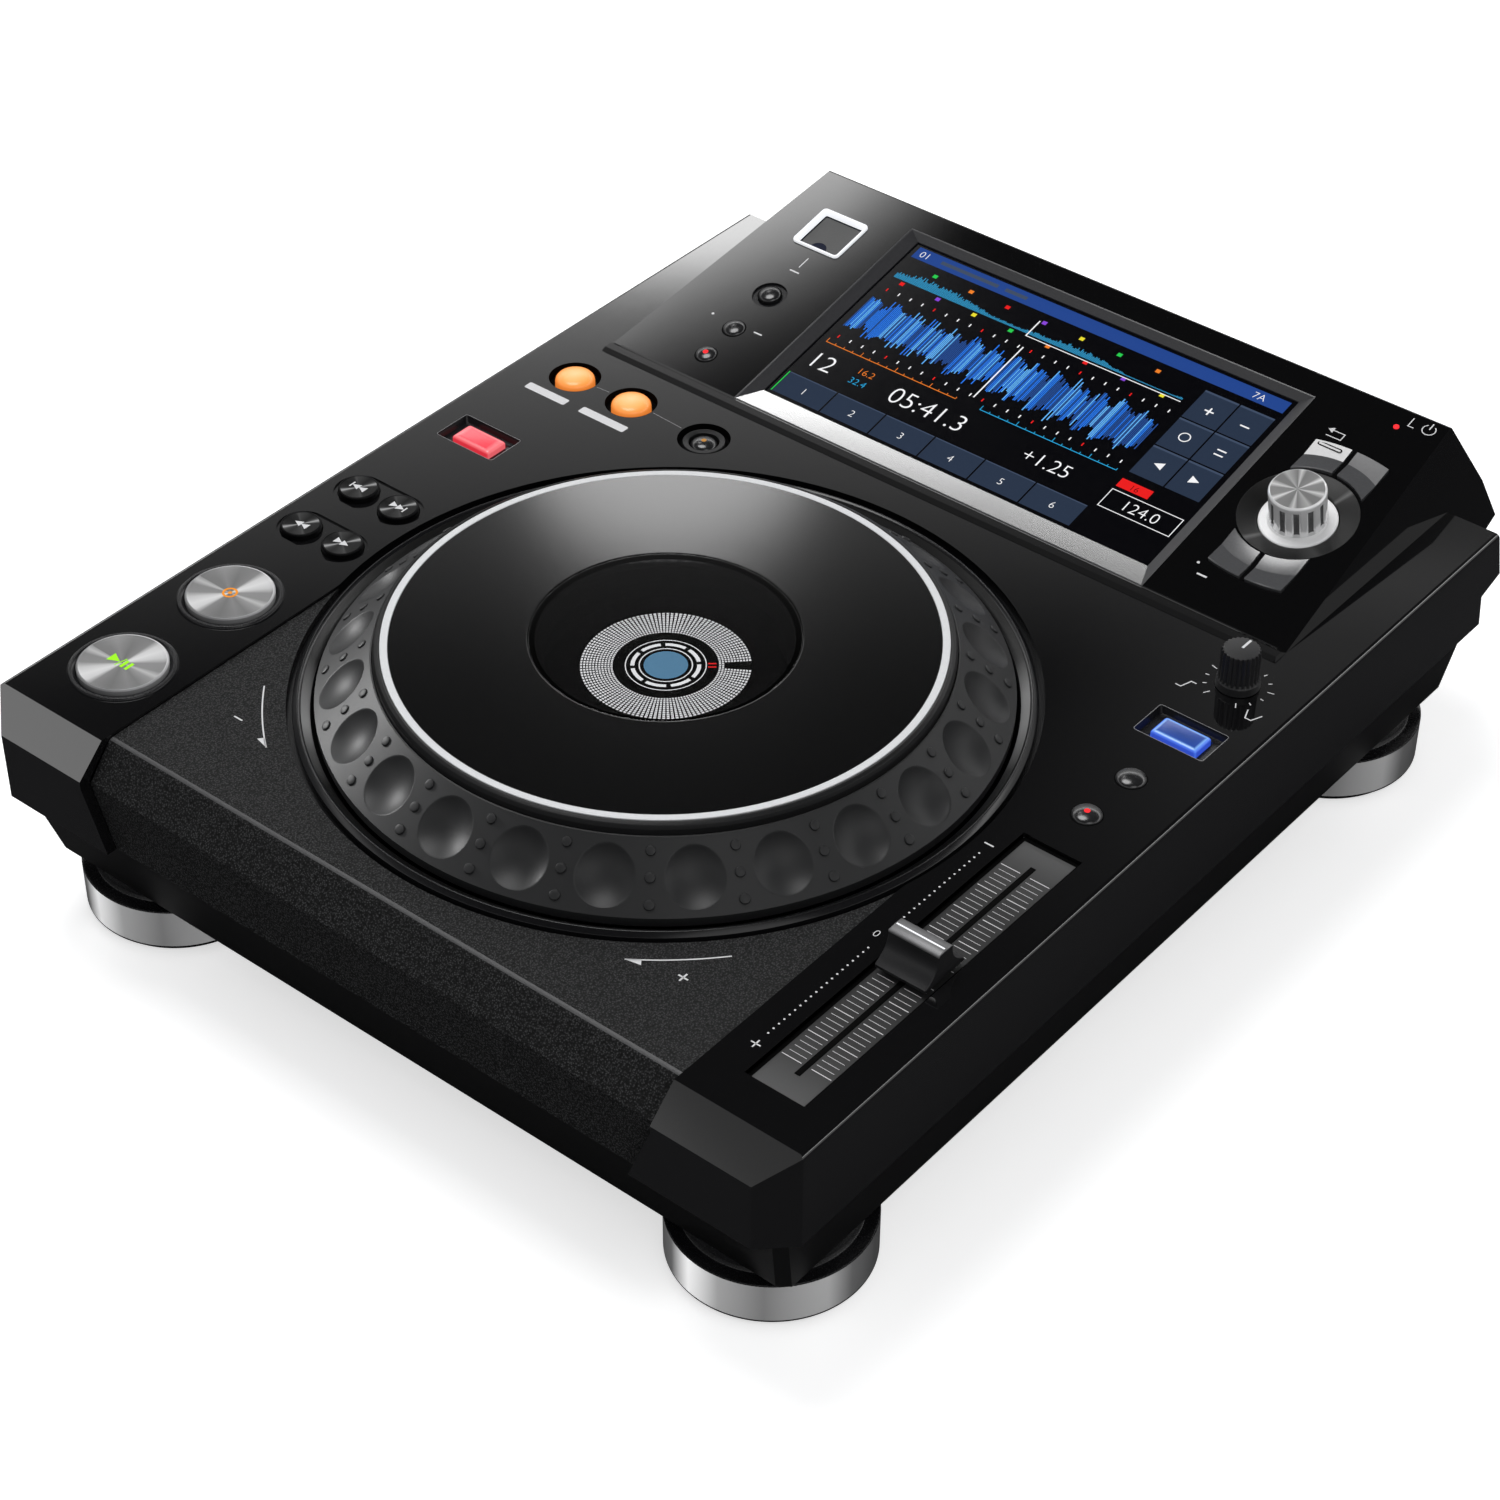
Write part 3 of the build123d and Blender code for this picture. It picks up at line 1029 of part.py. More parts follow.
for name, spot in (("direction_button", DIRECTION_AT), ("jog_mode_button", JOG_MODE_AT)):
    place = at(DECK, *spot)
    with BuildPart() as key:
        add(slab(place, *KEY_SIZE, -KEY_BOSS - 0.1, -KEY_SUNK))
        fillet(key.edges().group_by(Axis.Z)[-1], KEY_ROUND)
        flange = (KEY_SIZE[0] + 2 * FLANGE_OUT, KEY_SIZE[1] + 2 * FLANGE_OUT)
        add(slab(place, *flange, -KEY_BOSS - FLANGE, -KEY_BOSS))
        add(post(place, STEM_R, DECK_STEM_END, -KEY_BOSS - FLANGE))
    finish(key, name)

for name, (sign_x, sign_s) in PADS.items():
    with BuildPart() as pad:
        with BuildSketch(PADS_PLACE.offset(-HOUSE_WALL - 0.1)):
            add(pad_outline(sign_x, sign_s, 0))
        extrude(amount=HOUSE_WALL + 0.1 + PAD_TOP)
        with BuildSketch(PADS_PLACE.offset(-HOUSE_WALL - FLANGE)):
            add(pad_outline(sign_x, sign_s, 0.7))
        extrude(amount=FLANGE)
        pad_stem = at(PADS_PLACE, sign_x * PAD_SWITCH[0], sign_s * PAD_SWITCH[1])
        add(post(pad_stem, STEM_R, PANEL_STEM_END, -HOUSE_WALL - FLANGE))
    finish(pad, name)

# ---- Selector, speed knob and fader ----
skirt_top = -COLLAR_DIP
skirt_under = skirt_top - FLANGE
plunger_top = skirt_under - 0.3
plunger_low = encoder_floor + 0.8
write(turned(
    SELECTOR, (0, plunger_low), (PLUNGER_R, plunger_low), (PLUNGER_R, plunger_top),
    (KNOB_SHAFT_R + RUN, plunger_top),
    (KNOB_SHAFT_R + RUN, plunger_low + 0.5), (0, plunger_low + 0.5),
), "selector_plunger")

with BuildPart() as selector_knob:
    add(turned(
        SELECTOR, (0, plunger_low + 0.5), (KNOB_SHAFT_R, plunger_low + 0.5), (KNOB_SHAFT_R, plunger_top),
        (3.2, plunger_top), (3.2, skirt_under), (SKIRT_R, skirt_under), (SKIRT_R, skirt_top - 0.3),
        (SKIRT_R - 0.3, skirt_top), (KNOB_R + 0.6, skirt_top), (KNOB_R, skirt_top + 0.8),
        (KNOB_R, KNOB_TOP - 0.9),
        (KNOB_TOP_R, KNOB_TOP), (0, KNOB_TOP),
    ))
    with Locations(SELECTOR.offset(skirt_top + 1.2)):
        with PolarLocations(KNOB_R + 0.7, KNOB_FLUTES):
            Cylinder(FLUTE_R, KNOB_TOP - 3.4 - skirt_top, align=UPWARDS, mode=Mode.SUBTRACT)
finish(selector_knob, "selector_knob")

SPEED = at(DECK, *SPEED_AT)
pot_floor = KEY_BOARD_TOP + 1.8
with BuildPart() as speed_knob:
    add(turned(
        SPEED, (0, pot_floor), (SPEED_SHAFT_R, pot_floor), (SPEED_SHAFT_R, FIT), (SPEED_R + 0.5, FIT),
        (SPEED_R, 3.0), (SPEED_R - 0.5, SPEED_TOP - 0.6), (SPEED_R - 1.1, SPEED_TOP), (0, SPEED_TOP),
    ))
    with Locations(SPEED.offset(1.5)):
        with PolarLocations(SPEED_R + 0.75, SPEED_RIBS):
            Cylinder(SPEED_RIB_R, SPEED_TOP - 4, align=UPWARDS, mode=Mode.SUBTRACT)
finish(speed_knob, "speed_knob")

FADER = at(DECK, FADER_X, FADER_Y)
slot_long = 2 * (FADER_TRAVEL + 3)
plate_under = -SKIN - 1.5
with BuildPart() as fader_plate:
    add(slab(FADER, 2 * FADER_HALF_W - HOLE_GAP, 2 * FADER_HALF_L - HOLE_GAP, plate_under, -FADER_SUNK))
    add(slab(FADER, 2 * FADER_HALF_W + 4, 2 * FADER_HALF_L + 4, plate_under, -SKIN))
    add(slab(FADER, FADER_SLOT, slot_long, plate_under - 1, 0), mode=Mode.SUBTRACT)
finish(fader_plate, "fader_plate")

with BuildPart() as fader_body:
    add(slab(FADER, 11, 2 * FADER_HALF_L - 4, KEY_BOARD_TOP, plate_under))
    add(slab(FADER, FADER_SLOT, slot_long, KEY_BOARD_TOP + 3, plate_under + 1), mode=Mode.SUBTRACT)
finish(fader_body, "fader_body")

knob_w, knob_l, knob_h = FADER_KNOB
with BuildPart() as fader_knob:
    foot = FIT
    with BuildSketch(Plane(origin=FADER.origin, x_dir=(0, 1, 0), z_dir=(1, 0, 0))):
        with BuildLine():
            Polyline((-FADER_RIDGE / 2, knob_h - 1.0), (-FADER_RIDGE / 2, knob_h), (FADER_RIDGE / 2, knob_h),
                     (FADER_RIDGE / 2, knob_h - 1.0))
            ThreePointArc((FADER_RIDGE / 2, knob_h - 1.0), (FADER_RIDGE / 2 + 1.6, knob_h / 2 - 0.8),
                          (knob_l / 2, foot + 1.0))
            Polyline((knob_l / 2, foot + 1.0), (knob_l / 2, foot), (-knob_l / 2, foot), (-knob_l / 2, foot + 1.0))
            ThreePointArc((-knob_l / 2, foot + 1.0), (-FADER_RIDGE / 2 - 1.6, knob_h / 2 - 0.8),
                          (-FADER_RIDGE / 2, knob_h - 1.0))
        make_face()
    extrude(amount=knob_w / 2, both=True)
    add(slab(FADER, FADER_SLOT - 2 * FIT, 4.4, KEY_BOARD_TOP + 3.4, foot + 1))
finish(fader_knob, "fader_knob")


# ---- Boards ----
def key_switches(spots):
    """Tact switches under the given buttons."""
    for x, y in spots:
        add(slab(at(DECK, x, y), SWITCH, SWITCH, KEY_BOARD_TOP - 0.1, SWITCH_TOP))


board_under = KEY_BOARD_TOP - BOARD
with BuildPart() as left_board:
    with BuildSketch(DECK.offset(board_under)):
        with BuildLine():
            Polyline((-KEY_BOARD_SIDE, LEFT_BOARD_FRONT), (-KEY_BOARD_IN, LEFT_BOARD_FRONT),
                     (-KEY_BOARD_IN, KEY_BOARD_STEP_Y), (-KEY_BOARD_WIDE, KEY_BOARD_STEP_Y),
                     (-KEY_BOARD_WIDE, KEY_BOARD_END), (-KEY_BOARD_SIDE, KEY_BOARD_END), close=True)
        make_face()
        with Locations((-SCREW_PLACES[1][0], SCREW_PLACES[1][1])):
            Circle(BOSS_R + 0.6, mode=Mode.SUBTRACT)
    extrude(amount=BOARD)
    key_switches([PLAY_AT, CUE_AT, DIRECTION_AT] + list(LOOP_AT.values()) + [spot for _, spot in SEARCH_BUTTONS])
with BuildPart() as right_board:
    with BuildSketch(DECK.offset(board_under)):
        with BuildLine():
            Polyline((KEY_BOARD_IN, RIGHT_BOARD_FRONT), (KEY_BOARD_SIDE, RIGHT_BOARD_FRONT),
                     (KEY_BOARD_SIDE, KEY_BOARD_END), (KEY_BOARD_IN, KEY_BOARD_END), close=True)
        make_face()
        with Locations((SCREW_PLACES[1][0], SCREW_PLACES[1][1])):
            Circle(BOSS_R + 0.6, mode=Mode.SUBTRACT)
    extrude(amount=BOARD)
    key_switches([JOG_MODE_AT] + list(TEMPO_KEYS.values()))
    add(slab(SPEED, POT, POT, KEY_BOARD_TOP - 0.1, POT_TOP))
    add(post(SPEED, POT_NECK_R, POT_TOP - 0.1, -SKIN - 0.4))
    add(post(SPEED, SPEED_SHAFT_R + RUN, pot_floor, -SKIN + 0.6), mode=Mode.SUBTRACT)
with BuildPart() as key_boards:
    add(left_board.part)
    add(right_board.part)
finish(key_boards, "key_boards")

board_top = BOARD_Z + BOARD
with BuildPart() as main_board:
    with BuildSketch(DECK.offset(BOARD_Z)):
        with BuildLine():
            Polyline((MAIN_LEFT, MAIN_FRONT), (MAIN_RIGHT, MAIN_FRONT), (MAIN_RIGHT, MAIN_REAR),
                     (MAIN_LEFT, MAIN_REAR), close=True)
        make_face()
    extrude(amount=BOARD)
    for x, y, size, high in CHIPS:
        add(slab(at(DECK, MAIN_LEFT + x, MAIN_FRONT + y), size, size, board_top - 0.1, board_top + high))
finish(main_board, "main_board")

with BuildPart() as power_supply:
    with BuildSketch(DECK.offset(BOARD_Z)):
        with BuildLine():
            Polyline((SUPPLY_LEFT, MAIN_FRONT), (SUPPLY_RIGHT, MAIN_FRONT), (SUPPLY_RIGHT, SUPPLY_REAR),
                     (SUPPLY_LEFT, SUPPLY_REAR), close=True)
        make_face()
    extrude(amount=BOARD)
    x, y, wide, long, high = TRANSFORMER
    add(slab(at(DECK, SUPPLY_LEFT + x, MAIN_FRONT + y), wide, long, board_top - 0.1, board_top + high))
    for x, y, radius, high in CAPACITORS:
        add(post(at(DECK, SUPPLY_LEFT + x, MAIN_FRONT + y), radius, board_top - 0.1, board_top + high))
    wide, long, high = POWER_SWITCH
    switch_y = SUPPLY_REAR - long
    add(slab(at(DECK, POWER_X, switch_y), wide, long, board_top - 0.1, board_top + high))
finish(power_supply, "power_supply")

# ---- Rear connectors ----
REAR = Plane(origin=(0, FRONT_Y + REAR_PANEL_Y, DECK_H), x_dir=(-1, 0, 0), z_dir=(0, 1, 0))
jack_h = board_top + JACK_RISE
network_h = board_top + NETWORK_RISE
usb_b_h = board_top + USB_B_RISE
mains_h = board_top + MAINS_RISE
panel_high = REAR_WINDOW[1] + 1.5


def rear_slab(x, height, width, tall, inner, outer):
    """A block through the rear panel, from inner to outer as seen from its outside face."""
    return slab(at(REAR, -x, height), width, tall, inner, outer)


def rear_post(x, height, radius, inner, outer, bore=0.0):
    return post(at(REAR, -x, height), radius, inner, outer, bore)


with BuildPart() as rear_panel:
    with BuildSketch(REAR.offset(-REAR_PANEL)):
        with Locations((0, (panel_high + CASE_INNER_FLOOR) / 2)):
            Rectangle(2 * REAR_WINDOW[0] + 6, panel_high - CASE_INNER_FLOOR)
    extrude(amount=REAR_PANEL)
    for x in JACK_X:
        add(rear_post(x, jack_h, JACK_R + HOLE_GAP, -REAR_PANEL - 1, 1), mode=Mode.SUBTRACT)
    add(rear_post(REMOTE_X, jack_h, REMOTE_R + HOLE_GAP, -REAR_PANEL - 1, 1), mode=Mode.SUBTRACT)
    for x, height, (wide, tall, _) in (
        (NETWORK_X, network_h, NETWORK_BODY),
        (USB_B_X, usb_b_h, USB_B_BODY),
        (MAINS_X, mains_h, MAINS_BODY),
        (POWER_X, jack_h, (POWER_CAP[0] + 2 * FIT, POWER_CAP[1] + 2 * FIT, 0)),
    ):
        add(rear_slab(x, height, wide + 2 * HOLE_GAP, tall + 2 * HOLE_GAP, -REAR_PANEL - 1, 1), mode=Mode.SUBTRACT)
finish(rear_panel, "rear_panel")

jack_wide, jack_tall, jack_deep = JACK_BODY
with BuildPart() as audio_jacks:
    for x in JACK_X:
        add(rear_slab(x, jack_h, jack_wide, jack_tall, -REAR_PANEL - jack_deep, -REAR_PANEL))
        add(rear_post(x, jack_h, JACK_R, -REAR_PANEL - 0.1, JACK_OUT))
        add(rear_post(x, jack_h, JACK_BORE_R, -REAR_PANEL - JACK_BORE, JACK_OUT + 1), mode=Mode.SUBTRACT)
    add(rear_slab(REMOTE_X, jack_h, jack_wide - 2, jack_tall, -REAR_PANEL - jack_deep, -REAR_PANEL))
    add(rear_post(REMOTE_X, jack_h, REMOTE_R, -REAR_PANEL - 0.1, REMOTE_OUT))
    add(rear_post(REMOTE_X, jack_h, REMOTE_BORE_R, -REAR_PANEL - REMOTE_BORE, REMOTE_OUT + 1), mode=Mode.SUBTRACT)
finish(audio_jacks, "audio_jacks")

with BuildPart() as data_sockets:
    wide, tall, deep = NETWORK_BODY
    add(rear_slab(NETWORK_X, network_h, wide, tall, -deep, SOCKET_OUT))
    wide, tall, deep = NETWORK_HOLE
    add(rear_slab(NETWORK_X, network_h + 0.5, wide, tall, -deep, SOCKET_OUT + 0.1), mode=Mode.SUBTRACT)
    wide, tall, deep = USB_B_BODY
    add(rear_slab(USB_B_X, usb_b_h, wide, tall, -deep, SOCKET_OUT))
    wide, tall, deep = USB_B_HOLE
    add(rear_slab(USB_B_X, usb_b_h, wide, tall, -deep, SOCKET_OUT + 0.1), mode=Mode.SUBTRACT)
    add(rear_slab(USB_B_X, usb_b_h, *USB_B_TONGUE, -deep - 0.1, -0.4))
finish(data_sockets, "data_sockets")

with BuildPart() as ac_inlet:
    wide, tall, deep = MAINS_BODY
    add(rear_slab(MAINS_X, mains_h, wide, tall, -deep, 0.1))
    wide, tall, thick = MAINS_FLANGE
    add(rear_slab(MAINS_X, mains_h, wide, tall, 0, thick))
    wide, tall, deep = MAINS_HOLE
    with BuildSketch(at(REAR, -MAINS_X, mains_h).offset(2)):
        SlotOverall(wide, tall)
    extrude(amount=-deep - 2, mode=Mode.SUBTRACT)
    pin_x, pin_r = MAINS_PIN
    for step in (-pin_x, pin_x):
        add(rear_post(MAINS_X + step, mains_h, pin_r, -deep - 0.2, -1.0))
finish(ac_inlet, "ac_inlet")

with BuildPart() as power_button:
    wide, tall, out = POWER_CAP
    stem_low = switch_y + POWER_SWITCH[1] / 2 + POWER_TRAVEL + 0.2 - REAR_PANEL_Y
    add(rear_slab(POWER_X, jack_h, wide, tall, -REAR_PANEL - 0.1, out))
    add(rear_slab(POWER_X, jack_h, wide + 3.6, tall + 2.6, -REAR_PANEL - FLANGE, -REAR_PANEL))
    add(rear_post(POWER_X, jack_h, STEM_R, stem_low, -REAR_PANEL - FLANGE))
finish(power_button, "power_button")

# ---- Feet and screws ----
ring_low = FLOOR + FOOT_PAD
ring_high = ring_low + FOOT_RING_H
ring_bore = FOOT_R - FOOT_RING_WALL
feet = [at(DECK, side * FOOT_X, y) for side in (-1, 1) for y in FOOT_Y]
with BuildPart() as foot_pads:
    for place in feet:
        add(post(place, FOOT_PAD_R, FLOOR, ring_low))
finish(foot_pads, "foot_pads")
with BuildPart() as foot_rings:
    for place in feet:
        add(turned(
            place, (ring_bore, ring_low), (FOOT_R - 0.6, ring_low), (FOOT_R, ring_low + 0.6),
            (FOOT_R, ring_high - 0.6), (FOOT_R - 0.6, ring_high), (ring_bore, ring_high),
        ))
finish(foot_rings, "foot_rings")
with BuildPart() as foot_cores:
    for place in feet:
        add(turned(
            place, (0, ring_low), (ring_bore, ring_low), (ring_bore, ring_high), (FOOT_COLLAR_R, ring_high),
            (FOOT_COLLAR_R, -CASE_DROP), (0, -CASE_DROP),
        ))
finish(foot_cores, "foot_cores")

with BuildPart() as case_screws:
    head_top = -CASE_DROP + SCREW_SUNK
    for x, y, drop in SCREW_PLACES:
        for side in (-1, 1):
            add(turned(
                at(DECK, side * x, y), (0, head_top - 2), (SCREW_HEAD_R, head_top - 2), (SCREW_HEAD_R, head_top),
                (SCREW_R - 0.1, head_top), (SCREW_R - 0.1, SCREW_LONG - 4 - drop), (0, SCREW_LONG - 4 - drop),
            ))
finish(case_screws, "case_screws")
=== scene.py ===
import sys

import json
from math import cos, hypot, pi, radians, sin, sqrt, tan
from random import Random
from typing import NamedTuple

import bmesh
import bpy
from bpy.props import FloatProperty, FloatVectorProperty, IntProperty, PointerProperty
from bpy.types import Operator, Panel, PropertyGroup
from mathutils import Matrix, Vector
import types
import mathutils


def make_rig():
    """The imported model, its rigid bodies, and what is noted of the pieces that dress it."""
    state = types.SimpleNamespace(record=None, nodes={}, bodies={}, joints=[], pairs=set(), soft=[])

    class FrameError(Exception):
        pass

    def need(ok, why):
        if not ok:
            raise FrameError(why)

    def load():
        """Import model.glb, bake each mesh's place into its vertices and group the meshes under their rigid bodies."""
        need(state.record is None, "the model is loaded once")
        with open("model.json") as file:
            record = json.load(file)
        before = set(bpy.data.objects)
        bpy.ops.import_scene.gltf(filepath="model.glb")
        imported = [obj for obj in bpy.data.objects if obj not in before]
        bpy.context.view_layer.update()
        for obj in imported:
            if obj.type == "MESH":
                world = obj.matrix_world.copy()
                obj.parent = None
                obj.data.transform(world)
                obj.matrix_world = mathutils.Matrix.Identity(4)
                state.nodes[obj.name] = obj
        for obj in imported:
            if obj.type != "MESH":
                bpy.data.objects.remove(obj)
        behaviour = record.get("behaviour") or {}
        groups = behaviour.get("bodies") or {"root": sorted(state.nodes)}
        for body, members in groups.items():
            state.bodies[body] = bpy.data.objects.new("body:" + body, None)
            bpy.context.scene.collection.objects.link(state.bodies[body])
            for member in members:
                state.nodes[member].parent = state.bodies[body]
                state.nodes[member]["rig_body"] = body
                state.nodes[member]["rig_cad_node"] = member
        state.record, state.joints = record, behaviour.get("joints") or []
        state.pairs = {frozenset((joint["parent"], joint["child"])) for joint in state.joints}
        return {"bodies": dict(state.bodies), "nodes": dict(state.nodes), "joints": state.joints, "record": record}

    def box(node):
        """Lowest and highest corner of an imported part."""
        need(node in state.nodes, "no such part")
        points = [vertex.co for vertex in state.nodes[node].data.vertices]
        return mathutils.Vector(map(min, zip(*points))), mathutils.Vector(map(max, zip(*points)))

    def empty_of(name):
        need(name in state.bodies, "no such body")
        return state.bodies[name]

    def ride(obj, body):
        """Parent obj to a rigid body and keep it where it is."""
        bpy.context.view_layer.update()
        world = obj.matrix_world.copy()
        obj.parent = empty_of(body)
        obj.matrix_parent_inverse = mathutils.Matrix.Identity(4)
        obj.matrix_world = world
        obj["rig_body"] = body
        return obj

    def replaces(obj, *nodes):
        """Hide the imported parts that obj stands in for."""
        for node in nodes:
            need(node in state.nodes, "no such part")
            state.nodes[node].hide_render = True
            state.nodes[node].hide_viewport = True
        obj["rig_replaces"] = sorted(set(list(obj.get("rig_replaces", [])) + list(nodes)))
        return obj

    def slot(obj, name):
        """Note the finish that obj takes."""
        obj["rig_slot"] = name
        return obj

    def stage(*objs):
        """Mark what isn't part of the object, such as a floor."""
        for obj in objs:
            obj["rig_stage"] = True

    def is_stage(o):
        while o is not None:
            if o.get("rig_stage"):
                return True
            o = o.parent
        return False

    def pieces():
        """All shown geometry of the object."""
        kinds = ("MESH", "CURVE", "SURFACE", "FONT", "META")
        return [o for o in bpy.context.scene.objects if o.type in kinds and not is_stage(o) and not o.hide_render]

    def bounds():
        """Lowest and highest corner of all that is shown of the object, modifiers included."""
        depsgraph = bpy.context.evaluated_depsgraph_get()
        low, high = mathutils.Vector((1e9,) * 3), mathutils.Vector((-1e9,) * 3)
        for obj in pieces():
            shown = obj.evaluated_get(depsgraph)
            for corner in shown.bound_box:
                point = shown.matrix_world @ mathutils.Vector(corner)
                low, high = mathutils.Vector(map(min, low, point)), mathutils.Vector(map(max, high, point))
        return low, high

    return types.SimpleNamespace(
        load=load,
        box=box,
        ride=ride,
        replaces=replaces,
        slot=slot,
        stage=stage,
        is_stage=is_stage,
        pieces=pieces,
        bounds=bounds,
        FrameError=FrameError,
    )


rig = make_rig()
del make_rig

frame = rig.load()
cad_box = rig.bounds()

bl_info = {
    "name": "Tabletop DJ Player",
    "version": (1, 0, 0),
    "blender": (4, 5, 0),
    "location": "3D View > Sidebar > DJ Player",
    "description": "Finishes, screen picture, jog wheel, controls and studio of a tabletop DJ player",
    "category": "Add Mesh",
}

MM = 0.001
TO_MM = 1000.0
CASE = "case"
JOG_BODY = "jog"
TILT = radians(12.03)
# Millimetres, with heights from the deck's top
DISPLAY_FROM_FRONT = 255.0
NOSE = 10.0
PRINT_LIFT = 0.03
CAP_FOOT = -3.8
KEY_FOOT = -6.8
RECESS_R = 8.75
FOOT_R = 30.3
ARROW_R = 119.5
SIGN_R = 126.5
PICTURE_DEPTH = -2.76
FADER_FACE = -1.66
SURROUND_HALF = 82
FIGURE_THINNING = 0.014
# Metres: how far the fader plate's middle lies before its own origin, and half its length
FADER_PLATE_Y = 0.1065
FADER_PLATE_HALF = 0.062
# Camera: place in metres, then yaw, pitch and roll in degrees
CAMERA_SPOT = (0.5343, -0.6736, 0.7287)
CAMERA_TURN = (39.163, 39.458, 0.290)
LENS_MM = 83.9
# Lamps: place and aim in metres, width in metres, power in watts
KEY_LAMP = ((-0.45, 0.1, 1.7), (0, 0, 0.05), 0.9, 15.0)
FILL_LAMP = ((1.3, -0.7, 1.6), (0, 0, 0.05), 1.2, 5.0)
FOOT_LAMP = ((0.55, -1.5, 0.3), (0, 0, 0.03), 0.5, 17.0)
DIMPLE_LAMP = ((-1.5, -0.25, 0.55), (0, -0.06, 0.09), 0.3, 13.0)
PLATE_LAMP_SPOT, PLATE_LAMP_AIM = (-3.31, 3.78, 3.41), (0, 0, 0.1)
PLATE_LAMP_SIZES = (0.2, 0.32, 0.46, 0.62)
PLATE_LAMP_POWER = 8.6


# ---- Places ----
def deck_place():
    """The deck's flat top: x across, y back from its front edge, z up."""
    low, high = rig.box("deck_cover")
    return Matrix.Translation((0, low.y + NOSE * MM, high.z))


def middle_of(node, place):
    """Middle of a node, seen along the place's own axes, in millimetres."""
    back = place.inverted()
    spots = [back @ v.co for v in frame["nodes"][node].data.vertices]
    lows = [min(s[i] for s in spots) for i in range(3)]
    highs = [max(s[i] for s in spots) for i in range(3)]
    return [(a + b) / 2 / MM for a, b in zip(lows, highs)], [h / MM for h in highs]


def moved(place, x, y, z=0.0, turn=0.0):
    """A place shifted within itself, in millimetres, and turned about its own upright."""
    return place @ Matrix.Translation((x * MM, y * MM, z * MM)) @ Matrix.Rotation(turn, 4, "Z")


DECK = deck_place()
PANEL = moved(DECK, 0, DISPLAY_FROM_FRONT) @ Matrix.Rotation(TILT, 4, "X")
JOG = moved(DECK, 0, middle_of("jog_wheel", DECK)[0][1])


def spot_of(node, place):
    """A node's middle across and along a place."""
    return middle_of(node, place)[0][:2]


def over(node, place):
    """The place moved over a node's middle, keeping its height."""
    return moved(place, *spot_of(node, place))


# ---- Outlines, in millimetres ----
def circle(radius, steps=64, z=0.0, x=0.0, y=0.0, start=0.0):
    turns = [start + 2 * pi * i / steps for i in range(steps)]
    return [(x + radius * cos(a), y + radius * sin(a), z) for a in turns]


def rounded(width, length, radius, z=0.0, x=0.0, y=0.0, steps=6):
    """A rectangle with round corners."""
    points = []
    for i, (sx, sy) in enumerate(((1, 1), (-1, 1), (-1, -1), (1, -1))):
        for k in range(steps + 1):
            a = pi / 2 * (i + k / steps)
            points.append(
                (
                    x + sx * (width / 2 - radius) + radius * cos(a),
                    y + sy * (length / 2 - radius) + radius * sin(a), z
                )
            )
    return points


def softened(profile, steps=4):
    """A line of radius and height points, where a third number rounds that corner."""
    out = []
    for i, point in enumerate(profile):
        if len(point) < 3 or i in (0, len(profile) - 1):
            out.append(point[:2])
            continue
        here, before, after = Vector(point[:2]), Vector(profile[i - 1][:2]), Vector(profile[i + 1][:2])
        a, b = (before - here).normalized(), (after - here).normalized()
        half = a.angle(b) / 2
        reach = min(point[2] / tan(half), (before - here).length * 0.49, (after - here).length * 0.49)
        start, end = here + a * reach, here + b * reach
        for k in range(steps + 1):
            t = k / steps
            out.append(tuple(start * (1 - t) ** 2 + here * 2 * t * (1 - t) + end * t**2))
    return out


def stroke(points, width, closed=False):
    """A flat line of even width along points, as quads."""
    flat = [Vector((p[0], p[1])) for p in points]
    n = len(flat)
    sides = []
    for i, p in enumerate(flat):
        before = flat[i - 1] if i or closed else None
        after = flat[(i + 1) % n] if i < n - 1 or closed else None
        a = (p - before).normalized() if before is not None else None
        b = (after - p).normalized() if after is not None else None
        along = ((a or b) + (b or a)).normalized()
        across = Vector((-along.y, along.x))
        reach = width / 2 / max(0.4, across.dot(Vector((-(a or b).y, (a or b).x))))
        sides.append((p + across * reach, p - across * reach))
    return [
        [tuple(sides[i][0]), tuple(sides[(i + 1) % n][0]), tuple(sides[(i + 1) % n][1]), tuple(sides[i][1])]
        for i in range(n if closed else n - 1)
    ]


def arc(radius, start, end, x=0.0, y=0.0, steps=48):
    """Points along part of a circle, with angles in degrees."""
    turns = [radians(start + (end - start) * i / steps) for i in range(steps + 1)]
    return [(x + radius * cos(a), y + radius * sin(a)) for a in turns]


def hoop(radius, steps, width, x=0.0, y=0.0):
    return stroke(circle(radius, steps, x=x, y=y), width, closed=True)


def round_box(width, length, radius, x, y):
    return [point[:2] for point in rounded(width, length, radius, x=x, y=y)]


def box(x0, y0, x1, y1):
    return [(x0, y0), (x1, y0), (x1, y1), (x0, y1)]


def disc(x, y, radius, steps=20):
    return [p[:2] for p in circle(radius, steps, x=x, y=y)]


def pointer(x, y, size, way=1):
    """A triangle that points along x."""
    return [(x - way * size / 2, y - size / 2), (x + way * size / 2, y), (x - way * size / 2, y + size / 2)]


